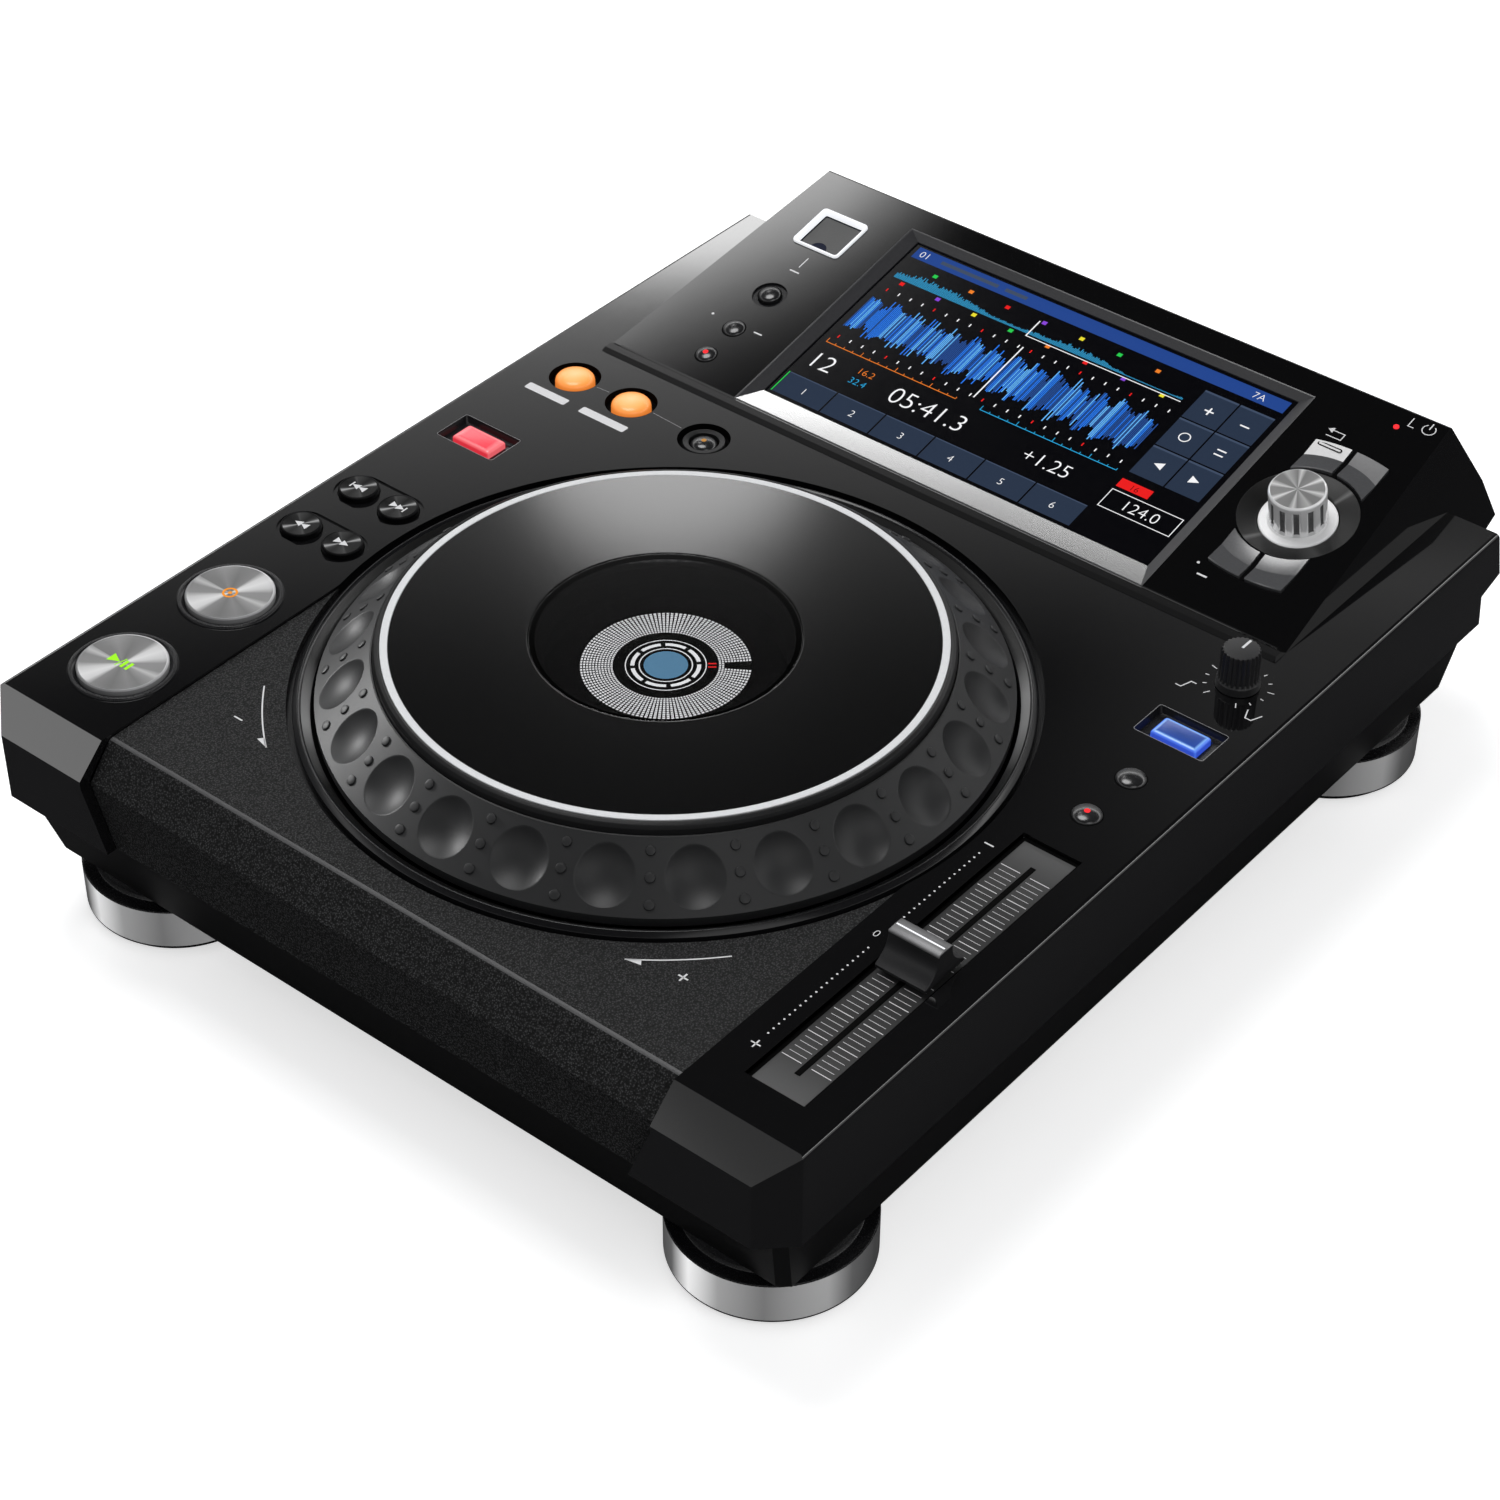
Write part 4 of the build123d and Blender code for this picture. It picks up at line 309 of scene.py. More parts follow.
def figures(text, x, y, size, turn=0.0, align="LEFT", lean=0.0):
    """Flat outlines of digits and signs."""
    curve = bpy.data.curves.new("figures", "FONT")
    curve.body = text
    curve.size = size
    curve.offset = -FIGURE_THINNING * size
    curve.align_x = align
    curve.shear = lean
    holder = bpy.data.objects.new("figures", curve)
    mesh = bpy.data.meshes.new_from_object(holder)
    spin = Matrix.Rotation(turn, 2)
    shapes = []
    for polygon in mesh.polygons:
        shapes.append([tuple(Vector((x, y)) + spin @ mesh.vertices[i].co.xy) for i in polygon.vertices])
    bpy.data.objects.remove(holder)
    bpy.data.curves.remove(curve)
    bpy.data.meshes.remove(mesh)
    return shapes


# ---- Meshes ----
class Shape:
    """Points and faces of a piece, gathered in millimetres."""

    def __init__(self):
        self.points = []
        self.faces = []
        self.tones = []

    def face(self, corners, tone=0):
        self.faces.append(corners)
        self.tones.append(tone)

    def stack(self, rings, tones=0, cap_first=False, cap_last=False):
        """Skin over rings of equally many points; a ring of one point closes to it."""
        starts = []
        for ring in rings:
            starts.append(len(self.points))
            self.points += ring
        for k, (low, high) in enumerate(zip(rings, rings[1:])):
            a, b = starts[k], starts[k + 1]
            n = max(len(low), len(high))
            for i in range(n):
                j = (i + 1) % n
                if len(low) == 1:
                    self.face((a, b + j, b + i), tones)
                elif len(high) == 1:
                    self.face((a + i, a + j, b), tones)
                else:
                    self.face((a + i, a + j, b + j, b + i), tones)
        if cap_first:
            self.face(tuple(range(starts[0] + len(rings[0]) - 1, starts[0] - 1, -1)), tones)
        if cap_last:
            self.face(tuple(range(starts[-1], starts[-1] + len(rings[-1]))), tones)
        return self

    def turn(self, profile, steps=96, tones=0, x=0.0, y=0.0):
        """Turns a profile of radius and height points, with its round corners, about the upright."""
        rings = []
        for radius, z in softened(profile):
            rings.append([(x, y, z)] if radius < 1e-6 else circle(radius, steps, z, x, y))
        return self.stack(rings, tones)

    def flat(self, outlines, z=0.0, tone=0):
        for outline in outlines:
            start = len(self.points)
            self.points += [(p[0], p[1], z) for p in outline]
            self.face(tuple(range(start, start + len(outline))), tone)
        return self

    def mesh(self, name, finishes):
        """A mesh of these faces with its finishes, and a working copy to mend before it is kept."""
        mesh = bpy.data.meshes.new(name)
        mesh.from_pydata([Vector(p) * MM for p in self.points], [], self.faces)
        for item in finishes:
            mesh.materials.append(finish(item))
        mesh.polygons.foreach_set("material_index", self.tones)
        work = bmesh.new()
        work.from_mesh(mesh)
        return mesh, work

    def build(self, name, place, finishes, body, slot=None, replaces=(), sharp=32, weld=False):
        """Makes the piece, in place, riding on its body."""
        mesh, work = self.mesh(name, finishes)
        if weld:
            bmesh.ops.remove_doubles(work, verts=work.verts, dist=0.002 * MM)
        bmesh.ops.recalc_face_normals(work, faces=work.faces)
        work.to_mesh(mesh)
        work.free()
        mesh.shade_smooth()
        mesh.set_sharp_from_angle(angle=radians(sharp))
        return settle(name, mesh, place, body, slot, replaces)


def settle(name, mesh, place, body, slot, replaces=()):
    """Puts a finished mesh in the scene, riding on its body."""
    obj = bpy.data.objects.new(name, mesh)
    bpy.context.scene.collection.objects.link(obj)
    obj.matrix_world = place
    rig.ride(obj, body)
    if replaces:
        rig.replaces(obj, *replaces)
    if slot:
        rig.slot(obj, slot)
    return obj


def marks(name, place, outlines, z, finish_name, body, slot):
    """Thin printed or lit marks, or dark sheets of painted shade, that lie just over a surface, facing up."""
    mesh, work = Shape().flat(outlines, z).mesh(name, [finish_name])
    work.normal_update()
    bmesh.ops.reverse_faces(work, faces=[f for f in work.faces if f.normal.z < 0])
    work.to_mesh(mesh)
    work.free()
    settle(name, mesh, place, body, slot)


def repaint(node, finish_name):
    """Gives a carried-over CAD node its finish."""
    obj = frame["nodes"][node]
    if not obj.material_slots:
        obj.data.materials.append(finish(finish_name))
    for holder in obj.material_slots:
        holder.material = finish(finish_name)


# ---- Shader maths ----
class Wire:
    """A node's output socket, on which arithmetic adds Math nodes."""

    def __init__(self, paint, socket):
        self.paint = paint
        self.socket = socket

    def math(self, operation, *values):
        return self.paint.node("ShaderNodeMath", {"operation": operation}, dict(enumerate(values)))

    def __add__(self, other):
        return self.math("ADD", self, other)

    __radd__ = __add__

    def __sub__(self, other):
        return self.math("SUBTRACT", self, other)

    def __rsub__(self, other):
        return self.math("SUBTRACT", other, self)

    def __mul__(self, other):
        return self.math("MULTIPLY", self, other)

    __rmul__ = __mul__

    def __truediv__(self, other):
        return self.math("DIVIDE", self, other)

    def __gt__(self, other):
        return self.math("GREATER_THAN", self, other)

    def clamped(self):
        return self.math("MINIMUM", self.math("MAXIMUM", self, 0.0), 1.0)


class Paint:
    """One node-based material."""

    def __init__(self, name):
        self.material = bpy.data.materials.new(name)
        self.material.use_nodes = True
        self.tree = self.material.node_tree
        self.tree.nodes.clear()
        self.output = self.tree.nodes.new("ShaderNodeOutputMaterial")

    def node(self, kind, settings=None, sockets=None, out=0):
        """Adds a node: its settings first, then the values or links of its sockets."""
        made = self.tree.nodes.new(kind)
        for key, value in (settings or {}).items():
            if key == "stops":
                elements = made.color_ramp.elements
                ends = (value[0], value[-1])
                for element, (at, _) in zip(elements, ends):
                    element.position = at
                for at, _ in value[1:-1]:
                    elements.new(at)
                for element, (_, colour) in zip(elements, value):
                    element.color = (*colour, 1) if isinstance(colour, (list, tuple)) else (
                        colour, colour, colour, 1
                    )
            else:
                setattr(made, key, value)
        for key, value in (sockets or {}).items():
            if isinstance(value, Wire):
                self.tree.links.new(value.socket, made.inputs[key])
            elif value is not None:
                held = made.inputs[key]
                if held.type == "RGBA" and len(value) == 3:
                    value = (*value, 1.0)
                held.default_value = value
        return Wire(self, made.outputs[out])

    def spot(self):
        """Place on the piece, in its own coordinates."""
        return self.node("ShaderNodeTexCoord", out=3)

    def parts(self, vector):
        split = self.node("ShaderNodeSeparateXYZ", None, {0: vector}).socket.node
        return [Wire(self, split.outputs[i]) for i in range(3)]

    def noise(self, scale, detail=3.0, rough=0.55, vector=None):
        return self.node(
            "ShaderNodeTexNoise", None,
            {"Vector": vector or self.spot(), "Scale": scale, "Detail": detail, "Roughness": rough}
        )

    def cells(self, scale, vector=None, feature="F1"):
        return self.node(
            "ShaderNodeTexVoronoi", {"feature": feature}, {"Vector": vector or self.spot(), "Scale": scale}
        )

    def ramp(self, value, stops):
        return self.node("ShaderNodeValToRGB", {"stops": stops}, {0: value})

    def mix(self, share, a, b):
        return self.node("ShaderNodeMix", {"data_type": "RGBA"}, {0: share, 6: a, 7: b}, out=2)

    def bump(self, height, depth_mm, strength=1.0):
        return self.node(
            "ShaderNodeBump", None, {"Strength": strength, "Distance": depth_mm * MM, "Height": height}
        )

    def stretched(self, x, y, z):
        return self.node("ShaderNodeMapping", None, {"Vector": self.spot(), "Scale": (x, y, z)})

    def turned(self, reach):
        """Fine lines that run round the middle."""
        return self.node("ShaderNodeCombineXYZ", None, {0: reach, 1: 0.0, 2: 0.0})

    def show(self, shader):
        self.tree.links.new(shader.socket, self.output.inputs[0])
        return self.material

    def surface(self, sockets):
        return self.show(self.node("ShaderNodeBsdfPrincipled", None, sockets))

    def around(self):
        """Turn about the piece's own upright, from 0 to 1, and the distance from it in millimetres."""
        x, y, _ = self.parts(self.spot())
        turn = x.math("ARCTAN2", y, x) / (2 * pi) + 0.5
        return turn, x.math("SQRT", x * x + y * y) * TO_MM


def shade(colour, share):
    """A colour made darker or lighter."""
    return tuple(c * share for c in colour)


# ---- Finishes ----
class Haze(NamedTuple):
    """A plain finish: fine grain between two colours, with the roughness and what it varies by."""

    grain: float
    detail: float
    dark: tuple
    light: tuple
    rough: float
    spread: float = 0.0
    depth: float = 0.0
    index: float = 0.0
    metal: float = 0.0


HAZY_FINISHES = {
    # A lighter strip over the front panel's rounded crease: a painted highlight.
    "edge_grey": Haze(2600, 3, (0.012, 0.012, 0.0125), (0.08, 0.08, 0.083), 0.42, 0.1, depth=0.08),
    "skirt_silver": Haze(1400, 3, (0.9, 0.9, 0.9), (0.98, 0.98, 0.98), 0.3, 0.1),
    # The knob's flutes, darker than its chrome: painted shade.
    "flute_dark": Haze(1400, 3, (0.1, 0.1, 0.102), (0.24, 0.24, 0.243), 0.25, 0.0, metal=0.4),
    "black_ring": Haze(1200, 3, (0.004, 0.004, 0.005), (0.009, 0.009, 0.01), 0.2, 0.08, index=1.34),
    "bezel_black": Haze(1200, 3, (0.004, 0.004, 0.0045), (0.008, 0.008, 0.009), 0.16, 0.07, index=1.4),
    "jog_edge_grey": Haze(1600, 3, (0.008, 0.008, 0.0085), (0.014, 0.014, 0.0145), 0.3, 0.1, index=1.3),
    "pale_ring": Haze(1100, 3, (0.66, 0.67, 0.68), (0.76, 0.77, 0.78), 0.36, 0.1),
    "white_print": Haze(4000, 2, (0.62, 0.62, 0.63), (0.8, 0.8, 0.81), 0.5),
    "grey_print": Haze(4000, 2, (0.16, 0.16, 0.165), (0.24, 0.24, 0.245), 0.5),
    "black_gap": Haze(2000, 2, (0.001, 0.001, 0.001), (0.003, 0.003, 0.003), 0.7, 0.0, index=1.1),
    "screen_black": Haze(500, 3, (0.001, 0.001, 0.002), (0.003, 0.003, 0.004), 0.09, 0.04, index=1.3),
    "bevel_dark": Haze(900, 3, (0.022, 0.022, 0.024), (0.036, 0.036, 0.039), 0.3, 0.08),
    "dark_key": Haze(1300, 3, (0.008, 0.008, 0.009), (0.02, 0.02, 0.021), 0.16, 0.08, index=1.6),
    "pad_grey": Haze(1300, 3, (0.06, 0.061, 0.064), (0.085, 0.086, 0.09), 0.14, 0.06, index=1.8),
    # The outer halves of the tag and back pads: painted reflections, dim and bright.
    "pad_light": Haze(900, 3, (0.12, 0.12, 0.122), (0.16, 0.16, 0.163), 0.3, 0.08),
    "pad_pale": Haze(900, 3, (0.62, 0.62, 0.62), (0.72, 0.72, 0.72), 0.3, 0.08),
    "knob_black": Haze(2200, 3, (0.008, 0.008, 0.009), (0.018, 0.018, 0.019), 0.34, 0.1, depth=0.01, index=1.4),
    "foot_black": Haze(900, 3, (0.004, 0.004, 0.005), (0.01, 0.01, 0.011), 0.24, 0.06, index=1.5),
    "rubber_black": Haze(2400, 4, (0.01, 0.01, 0.01), (0.022, 0.022, 0.022), 0.7, 0.15, depth=0.03),
    "socket_metal": Haze(500, 3, (0.4, 0.41, 0.43), (0.6, 0.61, 0.62), 0.28, 0.12, metal=0.9),
    "socket_dark": Haze(1500, 3, (0.05, 0.05, 0.052), (0.11, 0.11, 0.115), 0.4, 0.1),
    "flap_grey": Haze(1500, 3, (0.055, 0.055, 0.055), (0.08, 0.08, 0.08), 0.4, 0.1),
    "well_navy": Haze(1500, 3, (0.004, 0.006, 0.018), (0.01, 0.014, 0.035), 0.5, 0.1, index=1.2),
    "inner_plastic": Haze(1500, 3, (0.04, 0.04, 0.042), (0.07, 0.07, 0.073), 0.45, 0.1),
}

LIT_FINISHES = {
    "lit_white": dict(colour=(0.85, 0.87, 0.9), level=0.75, base=(0.5, 0.5, 0.52)),
    "picture_white": dict(colour=(0.95, 0.95, 0.97)),
    "picture_blue": dict(colour=(0.02, 0.19, 0.82)),
    "picture_sky": dict(colour=(0.13, 0.46, 0.95)),
    "picture_navy": dict(colour=(0.018, 0.075, 0.3)),
    "picture_bar": dict(colour=(0.015, 0.06, 0.28)),
    "picture_tile": dict(colour=(0.02, 0.034, 0.066), grain=0.12),
    "picture_tile_light": dict(colour=(0.05, 0.075, 0.13)),
    "picture_teal": dict(colour=(0.03, 0.3, 0.55)),
    "picture_cyan": dict(colour=(0.02, 0.4, 0.75)),
    "picture_orange": dict(colour=(0.9, 0.22, 0.02)),
    "picture_red": dict(colour=(0.85, 0.01, 0.01)),
    "picture_green": dict(colour=(0.02, 0.62, 0.08)),
    "picture_violet": dict(colour=(0.25, 0.06, 0.7)),
    "picture_yellow": dict(colour=(0.85, 0.75, 0.03)),
    "segment_white": dict(colour=(0.95, 0.95, 0.96), level=9.0),
    "marker_red": dict(colour=(0.85, 0.02, 0.02), level=9.0),
    "led_red": dict(colour=(1.0, 0.03, 0.04), level=1.0, base=(0.3, 0.01, 0.01)),
    "play_green": dict(colour=(0.34, 0.85, 0.02), level=0.9, base=(0.1, 0.25, 0.01)),
    "cue_orange": dict(colour=(0.85, 0.3, 0.03), level=0.85, base=(0.25, 0.09, 0.01)),
    "amber_dot": dict(colour=(0.62, 0.28, 0.06), level=0.6, base=(0.2, 0.1, 0.03)),
}


def hazy(p, look):
    grain = p.noise(look.grain, look.detail)
    sockets = {"Base Color": p.mix(grain, look.dark, look.light), "Metallic": look.metal}
    sockets["Roughness"] = look.rough + grain * look.spread if look.spread else look.rough
    if look.index:
        sockets["IOR"] = look.index
    if look.depth:
        sockets["Normal"] = p.bump(grain, look.depth)
    return p.surface(sockets)


def settings():
    return bpy.context.scene.dj_player


def gloss_black(p):
    dust = p.noise(900, 4)
    swell = p.noise(60, 1)
    return p.surface({
        "Base Color": p.mix(dust, settings().gloss_black, shade(settings().gloss_black, 1.5)),
        "Roughness": 0.03 + dust * 0.03, "IOR": 1.8, "Normal": p.bump(swell, 0.004),
    })


def grained_black(p):
    pebbles = p.cells(1650)
    fine = p.noise(3400, 3)
    height = (1 - pebbles * 0.9) * 0.7 + fine * 0.5
    speck = p.ramp(height, [(0.35, 0.0), (0.66, 0.12), (0.88, 1.0)])
    return p.surface({
        "Base Color": p.mix(speck, shade(settings().grained_black, 0.35), shade(settings().grained_black, 4.6)),
        "Roughness": 0.46 + pebbles * 0.16, "IOR": 1.23, "Normal": p.bump(height, 0.25),
    })


def satin_black(p):
    fine = p.noise(3000, 3)
    return p.surface({
        "Base Color": p.mix(fine, shade(settings().gloss_black, 0.8), shade(settings().gloss_black, 1.4)),
        "Roughness": 0.34 + fine * 0.1, "Normal": p.bump(fine, 0.02),
    })


def housing_black(p):
    dust = p.noise(900, 4)
    return p.surface({
        "Base Color": p.mix(dust, shade(settings().gloss_black, 0.7), settings().gloss_black),
        "Roughness": 0.03 + dust * 0.03, "IOR": 1.6, "Normal": p.bump(p.noise(70, 1), 0.002),
    })


def spun(p, tones, rough, metal, edge=None, edge_from=0.0, grooves=26.0, index=1.5):
    """Spun metal: painted highlights and painted shade in sectors about the middle, over fine turned lines; the rim's
    colour also takes painted highlights and shade round the turn.
    """
    turn, reach = p.around()
    # The ramp over the turn paints highlights and shade in sectors, standing in for the reflections of turned metal.
    streak = p.ramp(turn, tones)
    # The rim's colour goes lighter and darker round the turn: painted highlight and painted shade.
    if edge is not None:
        edge = p.ramp(
            turn,
            [
                (0.0, shade(edge, 0.35)), (0.3, shade(edge, 0.25)), (0.5, shade(edge, 0.5)), (0.72, edge),
                (0.86, edge), (1.0, shade(edge, 0.35))
            ]
        )
    lines = p.noise(grooves, 2, vector=p.turned(reach))
    bright = p.mix(0.5 * lines, streak, p.mix(0.6, streak, (0.0, 0.0, 0.0)))
    base = bright if edge is None else p.mix(reach > edge_from, bright, edge)
    return p.surface(
        {
            "Base Color": base, "Metallic": metal, "IOR": index, "Roughness": rough + lines * 0.12,
            "Normal": p.bump(lines, 0.012)
        }
    )


def sectors(pattern, lift=1.0, tint=(1.0, 1.0, 1.0)):
    """Stops of painted highlights over a half turn, given in degrees, repeated over the whole turn."""
    stops = []
    for half in (0, 1):
        for at, tone in pattern:
            stops.append(((half * 180 + at) / 360, tuple(min(1.0, tone * lift * t) for t in tint)))
    return stops


# Painted highlights and painted shade in sectors of turned metal over half a turn: degrees and tone
TRANSPORT_SECTORS = [
    (0, 0.42), (8, 0.75), (18, 0.34), (38, 0.36), (50, 0.85), (66, 1.1), (80, 0.95), (91, 0.3), (120, 0.2),
    (145, 0.3), (160, 0.24)
]
SEARCH_SECTORS = [
    (0, 0.03), (44, 0.04), (51, 0.5), (58, 1.0), (64, 0.3), (72, 0.08), (92, 0.03), (135, 0.1), (142, 0.16),
    (150, 0.04)
]
RAY_SECTORS = [
    (0, 0.3), (14, 0.95), (24, 0.36), (50, 0.4), (60, 1.1), (70, 0.36), (102, 0.3), (113, 0.85), (122, 0.28),
    (148, 0.6), (158, 0.3)
]


def spun_silver(p):
    return spun(p, sectors(TRANSPORT_SECTORS, 0.75), 0.36, 0.08, (0.75, 0.75, 0.76), 13.2)


def spun_black(p):
    return spun(p, sectors(SEARCH_SECTORS, 0.45), 0.3, 0.0, (0.008, 0.008, 0.009), 5.8, index=1.15)


def spun_rays(p):
    return spun(p, sectors(RAY_SECTORS, 0.9), 0.24, 0.8)


def spun_collar(p):
    # The collar's sectors are painted highlights round the turn.
    return spun(
        p,
        sectors(
            [(0, 0.012), (30, 0.02), (58, 0.03), (62, 0.14), (67, 0.03), (120, 0.012), (140, 0.05), (147, 0.012)]
        ),
        0.26, 0.0, index=1.25
    )


def chrome(p):
    haze = p.noise(900, 3)
    return p.surface({"Base Color": (0.98, 0.98, 0.985), "Metallic": 0.35, "Roughness": 0.12 + haze * 0.1})


def bezel_dish(p):
    """The bezel's dish, with a painted highlight at its left front and at its right."""
    tones = [
        (0.0, 0.006), (0.09, 0.02), (0.115, 0.22), (0.135, 0.34), (0.155, 0.1), (0.18, 0.008), (0.5, 0.006),
        (0.55, 0.03), (0.585, 0.28), (0.605, 0.3), (0.63, 0.05), (0.66, 0.006)
    ]
    return spun(p, tones, 0.24, 0.0, index=1.4)


def jog_rubber(p):
    fine = p.noise(2400, 3)
    wide = p.noise(90, 2)
    return p.surface({
        "Base Color": p.mix(wide, shade(settings().jog_grey, 0.9), shade(settings().jog_grey, 1.12)),
        "Roughness": 0.4 + fine * 0.14, "IOR": 1.43, "Normal": p.bump(fine, 0.018),
    })


def jog_plate_finish(p):
    grains = p.noise(3400, 2)
    _, reach = p.around()
    lines = p.noise(9, 2, vector=p.turned(reach))
    return p.surface({
        "Base Color": p.mix(grains, (0.0008, 0.0008, 0.0009), (0.003, 0.003, 0.0032)),
        "IOR": 1.7, "Roughness": 0.065 + grains * 0.04, "Normal": p.bump(grains + lines * 0.3, 0.003),
    })


def window_dark(p):
    haze = p.noise(700, 3)
    return p.surface(
        {"Base Color": (0.1, 0.1, 0.102), "Roughness": 0.02 + haze * 0.02, "IOR": 1.45, "Transmission Weight": 1.0}
    )


def glow(p, colour, level=1.0, base=(0.003, 0.003, 0.003), grain=0.06):
    """A lit area, a little uneven as a real backlight is."""
    uneven = p.noise(700, 2)
    return p.surface({
        "Base Color": base, "Roughness": 0.3, "Specular IOR Level": 0.03,
        "Emission Color": p.mix(uneven, shade(colour, 1 - grain), colour), "Emission Strength": level,
    })


def bevel_silver(p):
    x, _, _ = p.parts(p.spot())
    brushed = p.noise(60, 3, vector=p.stretched(40, 900, 900))
    # Silver, with a painted reflection: light at the left end and dark at the right.
    return p.surface({
        "Base Color": p.ramp(
            (x * TO_MM + SURROUND_HALF) / (2 * SURROUND_HALF), [(0.0, 0.9), (0.25, 0.62), (0.6, 0.4), (1.0, 0.3)]
        ),
        "Metallic": 0.85, "Roughness": 0.2 + brushed * 0.12,
    })


def orange_key(p):
    _, reach = p.around()
    core = p.ramp(
        reach / 7,
        [(0.0, (1.0, 0.62, 0.3)), (0.55, (1.0, 0.46, 0.14)), (0.85, (0.95, 0.3, 0.05)), (1.0, (0.7, 0.16, 0.02))]
    )
    return p.surface(
        {"Base Color": (0.35, 0.14, 0.04), "Roughness": 0.3, "Emission Color": core, "Emission Strength": 0.85}
    )


def red_key(p):
    x, y, _ = p.parts(p.spot())
    reach = x.math("MAXIMUM", x.math("ABSOLUTE", x) * 0.5, x.math("ABSOLUTE", y)) * TO_MM
    tone = p.ramp(
        reach / 4.4,
        [(0.0, (0.95, 0.09, 0.12)), (0.6, (0.9, 0.05, 0.08)), (0.8, (1.0, 0.3, 0.32)), (1.0, (0.75, 0.03, 0.05))]
    )
    return p.surface(
        {"Base Color": (0.3, 0.02, 0.03), "Roughness": 0.22, "Emission Color": tone, "Emission Strength": 0.8}
    )


def blue_key(p):
    x, y, _ = p.parts(p.spot())
    reach = x.math("MAXIMUM", x.math("ABSOLUTE", x) - 3.7 * MM, x.math("ABSOLUTE", y)) * TO_MM
    tone = p.ramp(
        reach / 4.4,
        [
            (0.0, (0.012, 0.05, 0.26)), (0.62, (0.015, 0.06, 0.34)), (0.78, (0.25, 0.5, 1.0)),
            (0.9, (0.08, 0.22, 0.95)), (1.0, (0.03, 0.08, 0.6))
        ]
    )
    return p.surface(
        {"Base Color": (0.01, 0.02, 0.06), "Roughness": 0.2, "Emission Color": tone, "Emission Strength": 0.9}
    )


def fader_plate_grey(p):
    haze = p.noise(1500, 3)
    _, y, _ = p.parts(p.spot())
    reach = y.math("ABSOLUTE", y + FADER_PLATE_Y) / FADER_PLATE_HALF
    # The plate grows lighter towards both ends: a painted reflection over its own grey.
    tone = p.ramp(reach, [(0.0, 0.016), (0.55, 0.022), (0.8, 0.045), (1.0, 0.1)])
    return p.surface(
        {"Base Color": p.mix(haze * 0.3, tone, (0.06, 0.06, 0.062)), "Roughness": 0.34 + haze * 0.08, "IOR": 1.3}
    )


def ridge_silver(p):
    brushed = p.noise(60, 3, vector=p.stretched(60, 900, 900))
    return p.surface(
        {
            "Base Color": p.mix(brushed, (0.1, 0.1, 0.102), (0.17, 0.17, 0.173)), "Metallic": 0.2,
            "Roughness": 0.3 + brushed * 0.1
        }
    )


# Painted highlights round the foot rings over half a turn: degrees and tone
FOOT_STREAKS = [(0, 0.14), (64, 0.14), (80, 0.95), (100, 0.3), (125, 0.14), (160, 0.4), (176, 0.14)]


def foot_silver(p):
    turn, _ = p.around()
    brushed = p.noise(40, 3, vector=p.stretched(30, 30, 1800))
    # The turn ramp paints the rings' highlights; the stretched noise is their brushing.
    return p.surface(
        {
            "Base Color": p.mix(brushed * 0.2, p.ramp(turn, sectors(FOOT_STREAKS)), (0.3, 0.3, 0.31)),
            "Metallic": 0.1, "Roughness": 0.3 + brushed * 0.12
        }
    )


def board_green(p):
    traces = p.cells(700, feature="DISTANCE_TO_EDGE")
    return p.surface({"Base Color": p.mix(traces, (0.02, 0.1, 0.05), (0.03, 0.18, 0.09)), "Roughness": 0.4})


def disc_blue(p):
    fine = p.noise(1500, 2)
    return p.surface(
        {
            "Base Color": p.mix(fine, (0.09, 0.19, 0.28), (0.14, 0.26, 0.36)), "Roughness": 0.5,
            "Specular IOR Level": 0.2, "Emission Color": (0.1, 0.24, 0.38), "Emission Strength": 9.0
        }
    )


def finish(name):
    """The material of that name, made the first time that a piece asks for it."""
    label = f"{name}_look"
    made = bpy.data.materials.get(label)
    if made is None and name in HAZY_FINISHES:
        made = hazy(Paint(label), HAZY_FINISHES[name])
    elif made is None and name in LIT_FINISHES:
        made = glow(Paint(label), **LIT_FINISHES[name])
    return made or globals()[name](Paint(label))


# ---- Settings ----
class PlayerSettings(PropertyGroup):
    gloss_black: FloatVectorProperty(
        name="Lacquer black", description="Colour of the deck's lacquer", subtype="COLOR",
        default=(0.0028, 0.0028, 0.0031), min=0, max=1
    )
    grained_black: FloatVectorProperty(
        name="Grained black", description="Colour of the grained front panel", subtype="COLOR",
        default=(0.0125, 0.0127, 0.013), min=0, max=1
    )
    jog_grey: FloatVectorProperty(
        name="Jog grey", description="Colour of the dimpled jog wheel", subtype="COLOR",
        default=(0.013, 0.0133, 0.014), min=0, max=1
    )
    dimples: IntProperty(
        name="Dimples", description="Finger dimples round the jog wheel", default=24, min=8, max=48
    )
    dimple_width: FloatProperty(
        name="Dimple width", description="Dimple width along the rim, in millimetres", default=17.2, min=6, max=22
    )
    dimple_length: FloatProperty(
        name="Dimple length", description="Dimple length up the slope, in millimetres", default=18.3, min=6, max=21
    )
    dimple_depth: FloatProperty(
        name="Dimple depth", description="Deepest point of a dimple, in millimetres", default=2.6, min=0.5, max=4
    )
    knob_flutes: IntProperty(
        name="Knob flutes", description="Upright flutes round the selector knob", default=12, min=6, max=24
    )
    tile_gap: FloatProperty(
        name="Tile gap", description="Gap between the screen's tiles, in millimetres", default=0.6, min=0.1, max=2
    )
    lamp_level: FloatProperty(
        name="Lamp level", description="Share of the studio lamps' plain level", default=1.0, min=0.1, max=2,
        subtype="FACTOR"
    )


class PlayerOperator(Operator):
    bl_options = {"REGISTER"}

    def execute(self, context):
        self.make(context.scene.dj_player)
        return {"FINISHED"}


